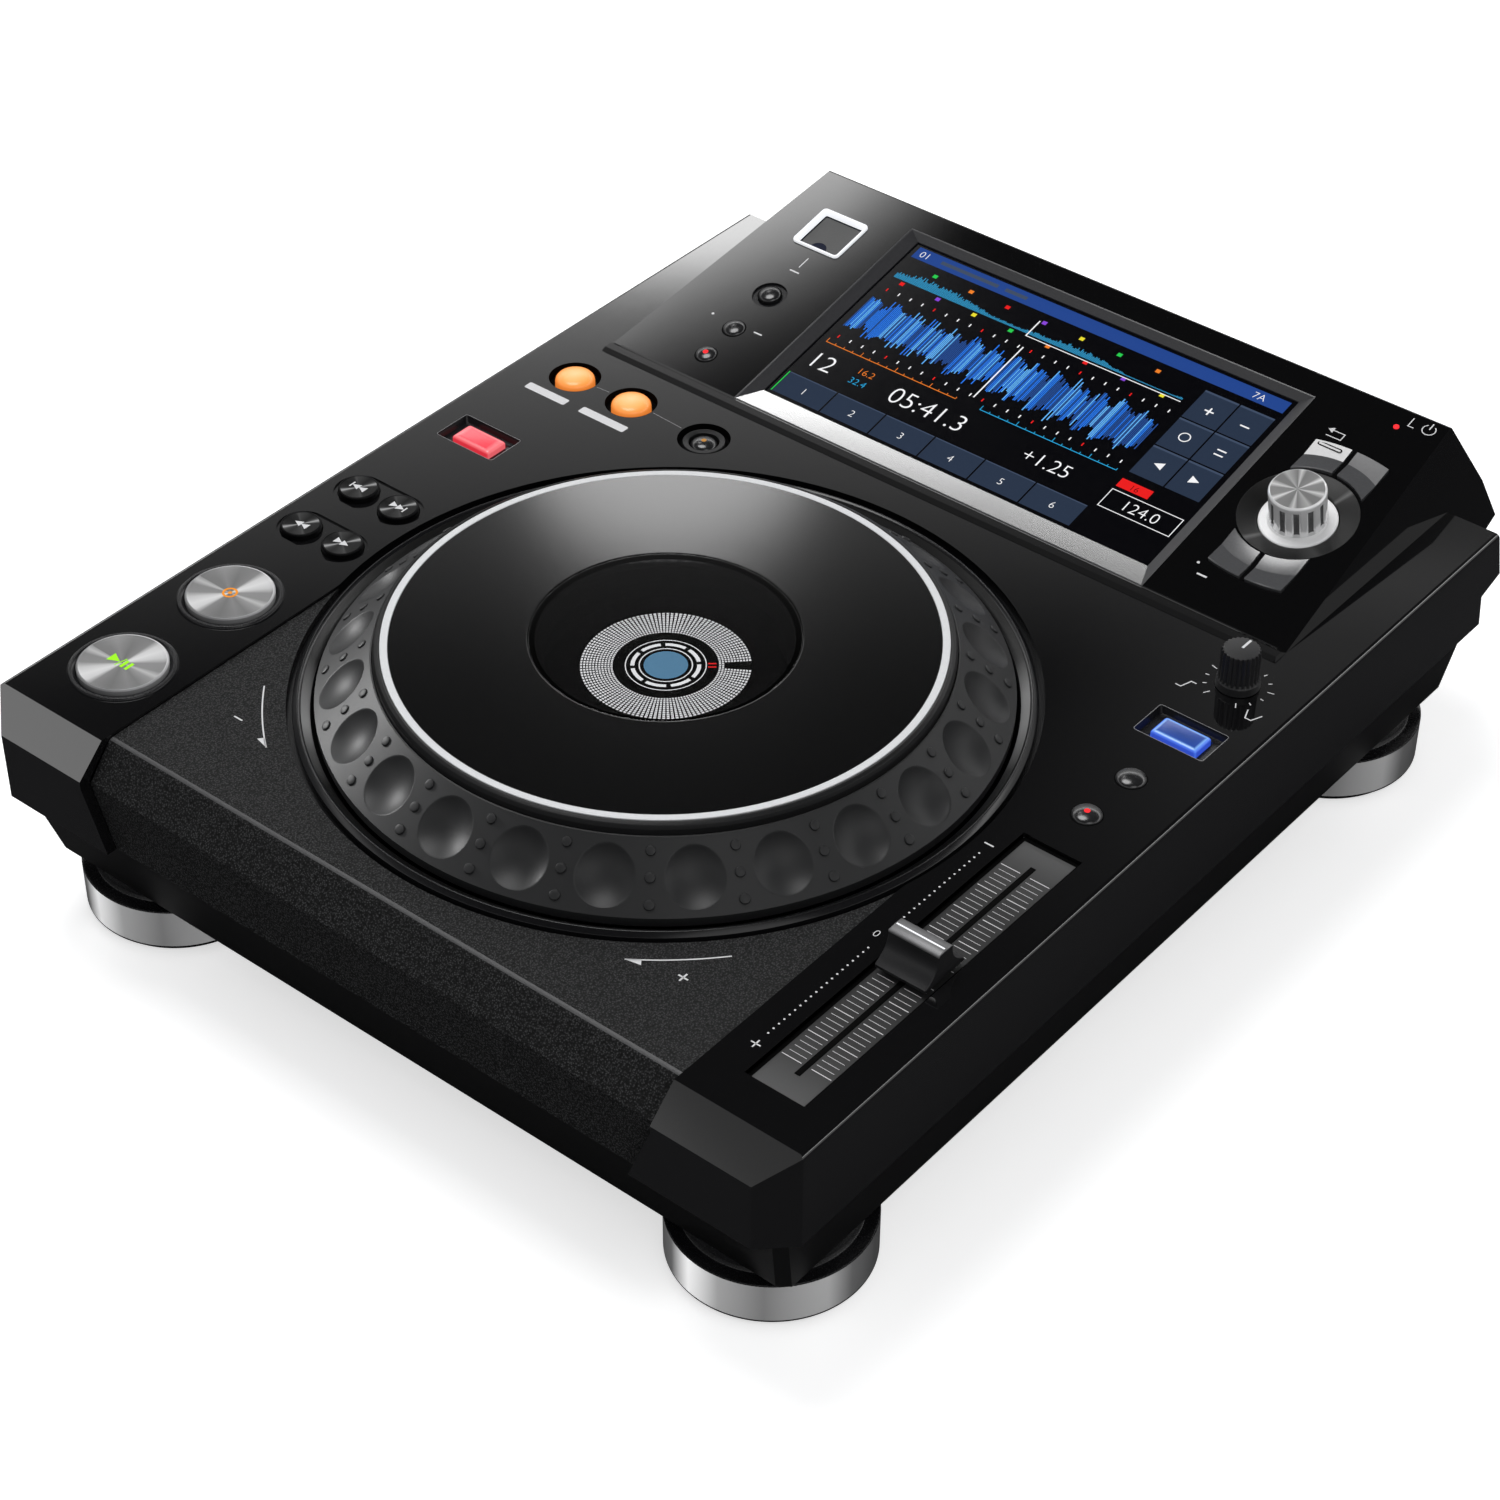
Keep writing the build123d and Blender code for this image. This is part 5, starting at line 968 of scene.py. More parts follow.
# ---- Studio ----
# The sky that gloss mirrors, as (place, brightness) stops. Height runs from 0 at the horizon to 1 overhead.
SKY_FRONT = [(0.0, 0.01), (0.42, 0.04), (0.475, 0.3), (0.51, 0.28), (0.571, 0.06), (0.62, 0.03), (0.8, 0.004)]
SKY_REAR_LEFT = [
    (0.0, 0.03), (0.1, 0.08), (0.44, 0.14), (0.48, 0.6), (0.505, 1.0), (0.519, 0.95), (0.529, 0.3), (0.536, 0.15),
    (0.55, 0.095), (0.566, 0.065), (0.582, 0.04), (0.6, 0.016), (0.615, 0.004), (0.95, 0.004)
]
SKY_REAR_RIGHT = [
    (0.0, 0.03), (0.1, 0.08), (0.44, 0.14), (0.48, 0.6), (0.519, 0.95), (0.545, 0.05), (0.572, 0.025),
    (0.584, 0.05), (0.6, 0.03), (0.62, 0.024), (0.64, 0.016), (0.68, 0.004)
]
SKY_PARTING = [(0.57, 0.0), (0.62, 1.0)]
# A soft white panel high at the rear left: its reach across, back and in height
PANEL_ACROSS = [(0.38, 0.0), (0.43, 1.0), (0.475, 1.0), (0.505, 0.0)]
PANEL_BACK = [(0.27, 0.0), (0.33, 1.0), (0.43, 1.0), (0.49, 0.0)]
PANEL_HEIGHT = [
    (0.66, 0.0), (0.7, 0.9), (0.735, 1.0), (0.742, 0.75), (0.75, 0.3), (0.756, 0.1), (0.763, 0.02), (0.772, 0.0)
]


class DJ_OT_studio(PlayerOperator):
    """Camera, pale floor, world and soft lamps"""

    bl_idname = "dj.studio"
    bl_label = "Studio"

    def make(self, s):
        scene = bpy.context.scene
        scene.view_settings.view_transform = "Standard"
        yaw, pitch, roll = (radians(angle) for angle in CAMERA_TURN)
        forward = Vector((-sin(yaw) * cos(pitch), cos(yaw) * cos(pitch), -sin(pitch)))
        right = Vector((cos(yaw), sin(yaw), 0))
        up = right.cross(forward)
        right, up = cos(roll) * right + sin(roll) * up, cos(roll) * up - sin(roll) * right
        lens = bpy.data.cameras.new("camera")
        lens.lens = LENS_MM
        lens.sensor_width = 36
        lens.clip_start = 0.01
        camera = bpy.data.objects.new("camera", lens)
        aim = Matrix((right, up, -forward)).transposed().to_4x4()
        camera.matrix_world = Matrix.Translation(CAMERA_SPOT) @ aim
        scene.collection.objects.link(camera)
        scene.camera = camera

        floor = bpy.data.meshes.new("floor")
        work = bmesh.new()
        bmesh.ops.create_grid(work, x_segments=8, y_segments=8, size=6)
        work.to_mesh(floor)
        work.free()
        floor.materials.append(self.floor_finish())
        ground = bpy.data.objects.new("floor", floor)
        ground.location.z = -0.0002
        scene.collection.objects.link(ground)
        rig.stage(ground)

        self.world(scene)
        self.lamp("key_lamp", *KEY_LAMP, s.lamp_level)
        self.lamp("fill_lamp", *FILL_LAMP, s.lamp_level)
        self.lamp("foot_lamp", *FOOT_LAMP, s.lamp_level, bpy.data.collections.new("foot_lamp_lights"))
        self.lamp("dimple_lamp", *DIMPLE_LAMP, s.lamp_level, bpy.data.collections.new("dimple_lamp_lights"))
        plate_lights = bpy.data.collections.new("plate_lamp_lights")
        for k, size in enumerate(PLATE_LAMP_SIZES):
            power = PLATE_LAMP_POWER * size**2
            self.lamp(
                f"plate_lamp_{k + 1}", PLATE_LAMP_SPOT, PLATE_LAMP_AIM, size, power, s.lamp_level, plate_lights
            )

    def lamp(self, name, spot, aim, size, power, level, pieces=None):
        """A round soft lamp, on everything or on the pieces of one collection."""
        light = bpy.data.lights.new(name, "AREA")
        light.shape = "DISK"
        light.size = size
        light.energy = power * level
        holder = bpy.data.objects.new(name, light)
        holder.location = spot
        holder.rotation_euler = (Vector(aim) - Vector(spot)).to_track_quat("-Z", "Y").to_euler()
        bpy.context.scene.collection.objects.link(holder)
        if pieces is not None:
            holder.light_linking.receiver_collection = pieces

    def floor_finish(self):
        p = Paint("pale_floor")
        path = p.node("ShaderNodeLightPath").socket.node
        camera, glossy = (Wire(p, path.outputs[i]) for i in ("Is Camera Ray", "Is Glossy Ray"))
        fine = p.noise(40, 3)
        plain = p.node(
            "ShaderNodeBsdfDiffuse", None, {"Color": p.mix(fine, (0.84, 0.84, 0.84), (0.86, 0.86, 0.86))}
        )
        bright = p.node("ShaderNodeEmission", None, {"Color": (1.0, 1.0, 1.0), "Strength": 0.6})
        lifted = p.node("ShaderNodeAddShader", None, {0: plain, 1: bright})
        mirrored = p.node("ShaderNodeBsdfDiffuse", None, {"Color": (0.06, 0.06, 0.062)})
        unseen = p.node("ShaderNodeMixShader", None, {0: glossy, 1: plain, 2: mirrored})
        return p.show(p.node("ShaderNodeMixShader", None, {0: camera, 1: unseen, 2: lifted}))

    def world(self, scene):
        """White behind the object; in gloss a sky that is bright low down and dark above."""
        world = bpy.data.worlds.new("studio_sky")
        world.use_nodes = True
        world.cycles.sampling_method = "NONE"
        scene.world = world
        tree = world.node_tree
        tree.nodes.clear()
        p = Paint.__new__(Paint)
        p.tree = tree
        path = p.node("ShaderNodeLightPath").socket.node
        camera, glossy, through = (
            Wire(p, path.outputs[i]) for i in ("Is Camera Ray", "Is Glossy Ray", "Is Transmission Ray")
        )
        across, back, height = p.parts(p.node("ShaderNodeTexCoord"))
        rear = p.ramp(back, [(0.0, 0.0), (0.3, 1.0)])
        low = p.mix(p.ramp(across + 1, SKY_PARTING), p.ramp(height, SKY_REAR_LEFT), p.ramp(height, SKY_REAR_RIGHT))
        panel = p.ramp(across + 1, PANEL_ACROSS) * p.ramp(back, PANEL_BACK) * p.ramp(height, PANEL_HEIGHT)
        sky = p.mix(panel, p.mix(rear, p.ramp(height, SKY_FRONT), low), (1.0, 1.0, 1.0))
        soft = p.node("ShaderNodeBackground", None, {0: (0.98, 0.985, 1.0), 1: 0.42})
        mirror = p.node("ShaderNodeBackground", None, {0: sky, 1: 6.0})
        white = p.node("ShaderNodeBackground", None, {0: (1.0, 1.0, 1.0), 1: 1.0})
        lit = p.node("ShaderNodeMixShader", None, {0: glossy, 1: soft, 2: mirror})
        seen = p.node("ShaderNodeMixShader", None, {0: (camera + through).clamped(), 1: lit, 2: white})
        tree.links.new(seen.socket, tree.nodes.new("ShaderNodeOutputWorld").inputs[0])


# ---- Shells ----
class DJ_OT_shells(PlayerOperator):
    """Finishes of the deck, front panel, lower case, display housing and what lies inside"""

    bl_idname = "dj.shells"
    bl_label = "Shells"

    def make(self, s):
        for finish_name, nodes in {
            "gloss_black": ["deck_cover"],
            "grained_black": ["front_panel"],
            "satin_black": ["bottom_case", "rear_panel"],
            "housing_black": ["display_housing"],
            "inner_plastic": ["lcd_module"],
            "board_green": ["display_board", "main_board", "key_boards", "power_supply"],
            "socket_metal": ["case_screws", "selector_plunger", "fader_body"],
            "socket_dark": ["usb_socket", "audio_jacks", "data_sockets", "ac_inlet"],
            "black_gap": ["jog_hub", "jog_base", "jog_sensor"],
            "dark_key": ["power_button"],
            "screen_black": ["touch_panel"],
        }.items():
            for node in nodes:
                repaint(node, finish_name)
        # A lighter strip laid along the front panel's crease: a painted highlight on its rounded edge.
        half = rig.box("front_panel")[1].x / MM - 0.1
        crease = Shape()
        for y, z in ((4.2, -0.99), (3.75, -1.03), (3.3, -1.17), (2.9, -1.38)):
            crease.points += [(-half, y, z), (half, y, z)]
        for k in (0, 2, 4):
            crease.face((k, k + 1, k + 3, k + 2))
        crease.build("front_panel_crease_highlight", DECK, ["edge_grey"], CASE, "textured_black", sharp=80)


# ---- Jog ----
class DJ_OT_jog_wheel(PlayerOperator):
    """The dimpled cone of the jog wheel, with raised dots between its dimples"""

    bl_idname = "dj.jog_wheel"
    bl_label = "Jog wheel"

    def make(self, s):
        foot_r, foot_h, top_r, top_h = 104.2, 0.2, 87.0, 15.0
        slope = hypot(foot_r - top_r, top_h - foot_h)
        inward, upward = (foot_r - top_r) / slope, (top_h - foot_h) / slope
        mid_r, mid_h = (foot_r + top_r) / 2, (foot_h + top_h) / 2
        step = 2 * pi / s.dimples
        half_u, half_v = step / 2 * mid_r, slope / 2
        rim = 9.0
        ball = (rim**2 + s.dimple_depth**2) / (2 * s.dimple_depth)

        def spot(turn, v, out=0.0):
            radius = mid_r - v * inward + out * upward
            return (radius * cos(turn), radius * sin(turn), mid_h + v * upward + out * inward)

        dot_turns = [2 * pi * i / 16 for i in range(16)]
        side = 12
        climb = [2 * k / side - 1 for k in range(side)]
        fall = [1 - 2 * k / side for k in range(side)]
        edge = [(half_u, half_v * t) for t in climb] + [(half_u * t, half_v) for t in fall]
        edge += [(-half_u, half_v * t) for t in fall] + [(half_u * t, -half_v) for t in climb]
        shape = Shape()
        for number in range(s.dimples):
            turn = (number + 0.02) * step
            rings = [[spot(turn, 0, -s.dimple_depth)]]
            for share in (0.2, 0.4, 0.6, 0.76, 0.88, 0.95, 0.985):
                depth = sqrt(ball**2 - (share * rim) ** 2) - (ball - s.dimple_depth)
                rings.append([])
                for u, v in edge:
                    reach = share / hypot(u / (s.dimple_width / 2), v / (s.dimple_length / 2))
                    rings[-1].append(spot(turn + u * reach / mid_r, v * reach, -depth))
            for past in (0.0, 0.05, 0.5, 1.0):
                rings.append([])
                for u, v in edge:
                    reach = 1 / hypot(u / (s.dimple_width / 2), v / (s.dimple_length / 2))
                    reach = (1 + 0.02 * (past == 0)) * reach * (1 - past) + past
                    rings[-1].append(spot(turn + u * reach / mid_r, v * reach, 0.0))
            shape.stack(rings)
            for v in (-7.6, 0.0, 7.6):
                between = turn + step / 2
                shape.stack([
                    [spot(between + r * cos(a) / mid_r, v + r * sin(a), h) for a in dot_turns]
                    for r, h in ((1.6, -0.05), (1.52, 0.36), (1.38, 0.52), (1.05, 0.6), (0.5, 0.63))
                ], cap_last=True)
        shape.turn([(98.0, -3.0), (foot_r - 0.4, -3.0), (foot_r, -2.6), (foot_r, foot_h)], 192)
        shape.turn(
            [(top_r, top_h), (top_r - 0.5, top_h + 0.1), (top_r - 0.7, 12.6), (78.0, 12.6), (78.0, 10.2)], 192
        )
        wheel = shape.build(
            "jog_wheel_dimpled", JOG, ["jog_rubber"], JOG_BODY, "jog_grey", ["jog_wheel"], sharp=24, weld=True
        )
        bpy.data.collections["dimple_lamp_lights"].objects.link(wheel)


class DJ_OT_jog_top(PlayerOperator):
    """The jog's plate, pale ring, dark window and the bezel round the wheel"""

    bl_idname = "dj.jog_top"
    bl_label = "Jog plate and bezel"

    def make(self, s):
        plate = Shape()
        plate.turn([
            (38.5, 14.2), (38.5, 16.8), (40.7, 16.8), (40.7, 18.5, 0.15), (40.9, 18.5), (81.4, 18.5), (81.45, 18.2),
            (81.45, 16.1),
        ], 160)
        plate.turn(
            [
                (84.0, 16.1), (84.0, 18.3, 0.1), (84.6, 18.4), (85.6, 17.95, 0.5), (86.2, 16.8, 0.4), (86.2, 12.6),
                (79.0, 12.6), (79.0, 14.2), (38.5, 14.2)
            ],
            160, 1
        )
        disc_top = plate.build(
            "jog_plate_disc", JOG, ["jog_plate_finish", "jog_edge_grey"], JOG_BODY, "jog_top", ["jog_plate"]
        )
        bpy.data.collections["plate_lamp_lights"].objects.link(disc_top)
        ring = Shape().turn(
            [(81.55, 16.1), (81.55, 18.6, 0.25), (83.9, 18.6, 0.25), (83.9, 16.1), (81.55, 16.1)], 160
        )
        ring.build("jog_pale_ring", JOG, ["pale_ring"], JOG_BODY, "ring_grey", ["jog_light_ring"])
        window = Shape().turn(
            [(0, 18.35), (39.8, 18.35), (40.3, 18.35, 0.2), (40.55, 18.1), (40.55, 16.8), (0, 16.8)], 128
        )
        window.build("jog_dark_window", JOG, ["window_dark"], JOG_BODY, "window_dark", ["jog_window"])
        bezel = Shape().turn([
            (114.8, -5.8), (114.8, -3.4), (110.8, -3.4), (110.8, -1.0, 0.4), (109.3, 0.15, 0.3), (108.9, 0.15),
            (108.2, -0.45),
            (107.2, -1.25), (106.3, -1.9), (105.6, -2.5), (105.2, -3.0, 0.2), (105.2, -8.0), (110.8, -8.0),
            (110.8, -5.8), (114.8, -5.8),
        ], 192)
        # Dish faces take bezel_dish, whose lighter patches are painted highlights.
        for k, face in enumerate(bezel.faces):
            heights = [bezel.points[i][2] for i in face]
            reach = max(hypot(*bezel.points[i][:2]) for i in face)
            if -2.6 < min(heights) and max(heights) < -0.2 and reach < 108.5:
                bezel.tones[k] = 1
        bezel.build(
            "jog_bezel_ring", JOG, ["bezel_black", "bezel_dish"], CASE, "black_ring", ["jog_bezel"], sharp=50
        )
        self.dial()

    def dial(self):
        """Lit figures deep under the window: a grid ring with a gap, segments and a middle disc."""
        top = middle_of("jog_display", JOG)[1][2] + 0.03
        repaint("jog_display", "black_gap")
        cells = []
        count = 120
        for row in range(11):
            inner = 15.8 + row * 0.9
            for k in range(count):
                a = k * 360 / count
                if abs((a - 39 + 180) % 360 - 180) < 5.5 and row > 1:
                    continue
                cells.append(
                    arc(inner, a - 0.95, a + 0.95, steps=1) + arc(inner + 0.6, a + 0.95, a - 0.95, steps=1)
                )
        marks("jog_grid_ring", JOG, cells, top, "segment_white", CASE, "display_face")
        segments = []
        for k in range(8):
            segments.append(
                arc(9.3, k * 45 + 4, k * 45 + 41, steps=10) + arc(10.5, k * 45 + 41, k * 45 + 4, steps=10)
            )
        segments += hoop(7.9, 48, 0.35) + hoop(12.0, 64, 0.3)
        marks("jog_segments", JOG, segments, top, "segment_white", CASE, "display_face")
        marks("jog_middle_disc", JOG, [disc(0, 0, 6.6, 48)], top, "disc_blue", CASE, "display_face")
        marks(
            "jog_marker", moved(JOG, 0, 0, 0, radians(39)),
            [box(12.5, 0.5, 15.0, 1.1), box(12.5, -1.1, 15.0, -0.5)], top, "marker_red", CASE, "display_face"
        )


# ---- Round caps ----
def cap(name, node, place, profile, finishes, tones=0, slot=None, steps=96, sharp=32):
    """A turned cap over a button's node."""
    shape = Shape().turn(profile, steps, tones)
    return shape.build(name, place, finishes, node, slot, [node], sharp)


class DJ_OT_transport(PlayerOperator):
    """Play and cue: spun silver discs in black rings"""

    bl_idname = "dj.transport"
    bl_label = "Play and cue"

    def make(self, s):
        rings = Shape()
        for node in ("play_button", "cue_button"):
            place = over(node, DECK)
            profile = [
                (0, 1.55), (12.4, 1.72), (12.9, 1.95, 0.2), (13.5, 1.95, 0.35), (13.9, 1.5, 0.3), (13.9, CAP_FOOT),
                (6, CAP_FOOT),
            ]
            cap(f"{node}_cap", node, place, profile, ["spun_silver"], slot="spun_silver", steps=128, sharp=60)
            x, y = spot_of(node, DECK)
            rings.turn([
                (14.2, CAP_FOOT), (14.2, 0.2, 0.3), (15.2, 0.75, 0.3), (16.1, 0.75, 0.35), (16.7, 0.1),
                (16.7, -2.6), (18.4, -2.6), (18.4, CAP_FOOT), (14.2, CAP_FOOT),
            ], 128, 0, x, y)
            # A dark ring in the gap between the cap and its ring: painted shade in the gap.
            marks(f"{node}_gap", place, hoop(14.05, 96, 0.3), -0.5, "black_gap", CASE, "black_ring")
        rings.build("transport_ring_pair", DECK, ["black_ring"], CASE, "black_ring", ["transport_rings"], sharp=60)
        play = over("play_button", DECK)
        sign = [pointer(-3.1, 0, 3.9), box(0.3, -1.75, 1.4, 1.75), box(2.3, -1.75, 3.4, 1.75)]
        sign += stroke([(-1.2, -2.2), (-0.2, 2.2)], 0.4)
        marks("play_mark", play, sign, 1.64, "play_green", "play_button", "spun_silver")
        cue = over("cue_button", DECK)
        marks(
            "cue_mark", cue, hoop(2.1, 40, 0.75) + [disc(0, 0, 0.7)], 1.64, "cue_orange", "cue_button",
            "spun_silver"
        )


class DJ_OT_search(PlayerOperator):
    """Four small spun black buttons with white pointers"""

    bl_idname = "dj.search"
    bl_label = "Search buttons"

    def make(self, s):
        for row, bar in (("search", False), ("track_search", True)):
            for ends, way in (("back", -1), ("forward", 1)):
                node = f"{row}_{ends}_button"
                place = over(node, DECK)
                profile = [
                    (0, 1.2), (5.7, 1.3), (6.0, 1.5, 0.15), (6.35, 1.4, 0.2), (6.6, 1.0, 0.2), (6.6, CAP_FOOT),
                    (2, CAP_FOOT)
                ]
                cap(f"{node}_cap", node, place, profile, ["spun_black"], slot="spun_black", steps=72, sharp=60)
                icon = [pointer(way * -1.5, 0, 2.8, way), pointer(way * 1.1, 0, 2.8, way)]
                if bar:
                    icon.append(box(way * 2.75 - 0.26, -1.4, way * 2.75 + 0.26, 1.4))
                marks(f"{node}_mark", place, icon, 1.3, "white_print", node, "spun_black")


class DJ_OT_lit_caps(PlayerOperator):
    """Two glowing orange caps and a dark cap with a small orange point, in black recesses"""

    bl_idname = "dj.lit_caps"
    bl_label = "Loop buttons"

    def make(self, s):
        for node in ("loop_in_button", "loop_out_button"):
            profile = [(0, 1.2), (2.5, 1.12), (4.6, 0.85), (5.9, 0.35), (6.5, -0.4), (6.7, -1.3), (6.7, KEY_FOOT)]
            cap(
                f"{node}_cap", node, over(node, DECK), profile, ["orange_key"], slot="key_orange", steps=64,
                sharp=60
            )
        node = "reloop_button"
        place = over(node, DECK)
        profile = [(0, -0.6), (2.0, -0.7), (3.4, -1.1), (4.3, -1.8), (4.7, -2.6), (4.7, KEY_FOOT)]
        cap(f"{node}_cap", node, place, profile, ["dark_key"], slot="key_dark", steps=64, sharp=60)
        marks("reloop_point", place, [disc(0, 0, 0.85)], -0.56, "amber_dot", node, "key_dark")
        recess = Shape()
        floors = Shape()
        for node, inner in (("loop_in_button", 7.05), ("loop_out_button", 7.05), ("reloop_button", 5.05)):
            x, y = spot_of(node, DECK)
            recess.turn([(RECESS_R, PRINT_LIFT), (RECESS_R, -2.9)], 72, 0, x, y)
            floors.turn([(RECESS_R, -2.9), (inner, -2.9)], 72, 0, x, y)
        recess.build("loop_recess_walls", DECK, ["black_gap"], CASE, "gloss_shell")
        floors.build("loop_recess_floors", DECK, ["black_gap"], CASE, "gloss_shell")
        x, y = spot_of("reloop_button", DECK)
        collar = Shape().turn(
            [(5.05, -2.8), (5.05, -1.2, 0.2), (6.9, -0.9, 0.2), (7.3, -1.6), (7.3, -2.9)], 72, 0, x, y
        )
        collar.build("reloop_collar", DECK, ["jog_edge_grey"], CASE, "gloss_shell", sharp=60)


class DJ_OT_keys(PlayerOperator):
    """The lit red direction key and the lit blue jog mode key in their recesses"""

    bl_idname = "dj.keys"
    bl_label = "Lit keys"

    def make(self, s):
        for node, finish_name, slot in (
            ("direction_button", "red_key", "key_red"), ("jog_mode_button", "blue_key", "key_dark")
        ):
            place = over(node, DECK)
            rings = []
            for grow, z in (
                (1.4, -6.2), (1.4, -5.0), (0.0, -5.0), (0.0, -1.3), (-0.25, -0.85), (-0.7, -0.55), (-1.5, -0.42)
            ):
                rings.append(rounded(16.2 + 2 * grow, 8.8 + 2 * grow, 1.0 if grow >= 0 else 0.9, z))
            Shape().stack(rings, cap_first=True, cap_last=True).build(
                f"{node}_cap", place, [finish_name], node, slot, [node], sharp=50
            )
            frame_lines = stroke(rounded(24.2, 14.6, 0.9), 0.22, closed=True)
            marks(f"{node}_recess_line", place, frame_lines, PRINT_LIFT, "grey_print", CASE, "gloss_shell")
            steps = ((24.5, 14.9, -0.05), (22.6, 13.0, -2.2), (18.0, 10.4, -2.45), (17.2, 9.8, -2.45))
            bezel = Shape().stack([rounded(w, l, 0.8, z) for w, l, z in steps])
            bezel.build(f"{node}_recess", place, ["black_ring"], CASE, "gloss_shell", sharp=20)


class DJ_OT_small_caps(PlayerOperator):
    """Small domed dark buttons, some with a red point of light"""

    bl_idname = "dj.small_caps"
    bl_label = "Small buttons"

    def make(self, s):
        for node, place, radius, top in (
            ("master_tempo_button", DECK, 4.6, 1.6), ("tempo_range_button", DECK, 4.6, 1.6),
            ("usb_stop_button", PANEL, 3.9, 1.4), ("time_mode_button", PANEL, 3.9, 1.3),
            ("quantize_button", PANEL, 3.7, 1.3),
        ):
            spot = over(node, place)
            turns = [pi / 2 * k / 8 for k in range(9)]
            profile = [(radius * sin(a), top - radius * 0.36 * (1 - cos(a))) for a in turns] + [(radius, -3.0)]
            cap(f"{node}_cap", node, spot, profile, ["dark_key"], slot="key_dark", steps=64, sharp=60)
            # A dark ring on the deck round the cap: painted shade of the gap round it.
            marks(f"{node}_gap", spot, hoop(radius + 0.16, 64, 0.3), 0.02, "black_gap", CASE, "gloss_shell")
            if node in ("master_tempo_button", "quantize_button"):
                marks(f"{node}_light", spot, [disc(0, 0, 0.95)], top + 0.02, "led_red", node, "key_dark")
        well = over("usb_stop_button", PANEL)
        Shape().turn([(6.15, 0.03), (6.1, -0.2), (5.9, -0.75), (4.2, -0.75)], 64).build(
            "usb_stop_well", well, ["black_ring"], CASE, "housing_black", sharp=60
        )


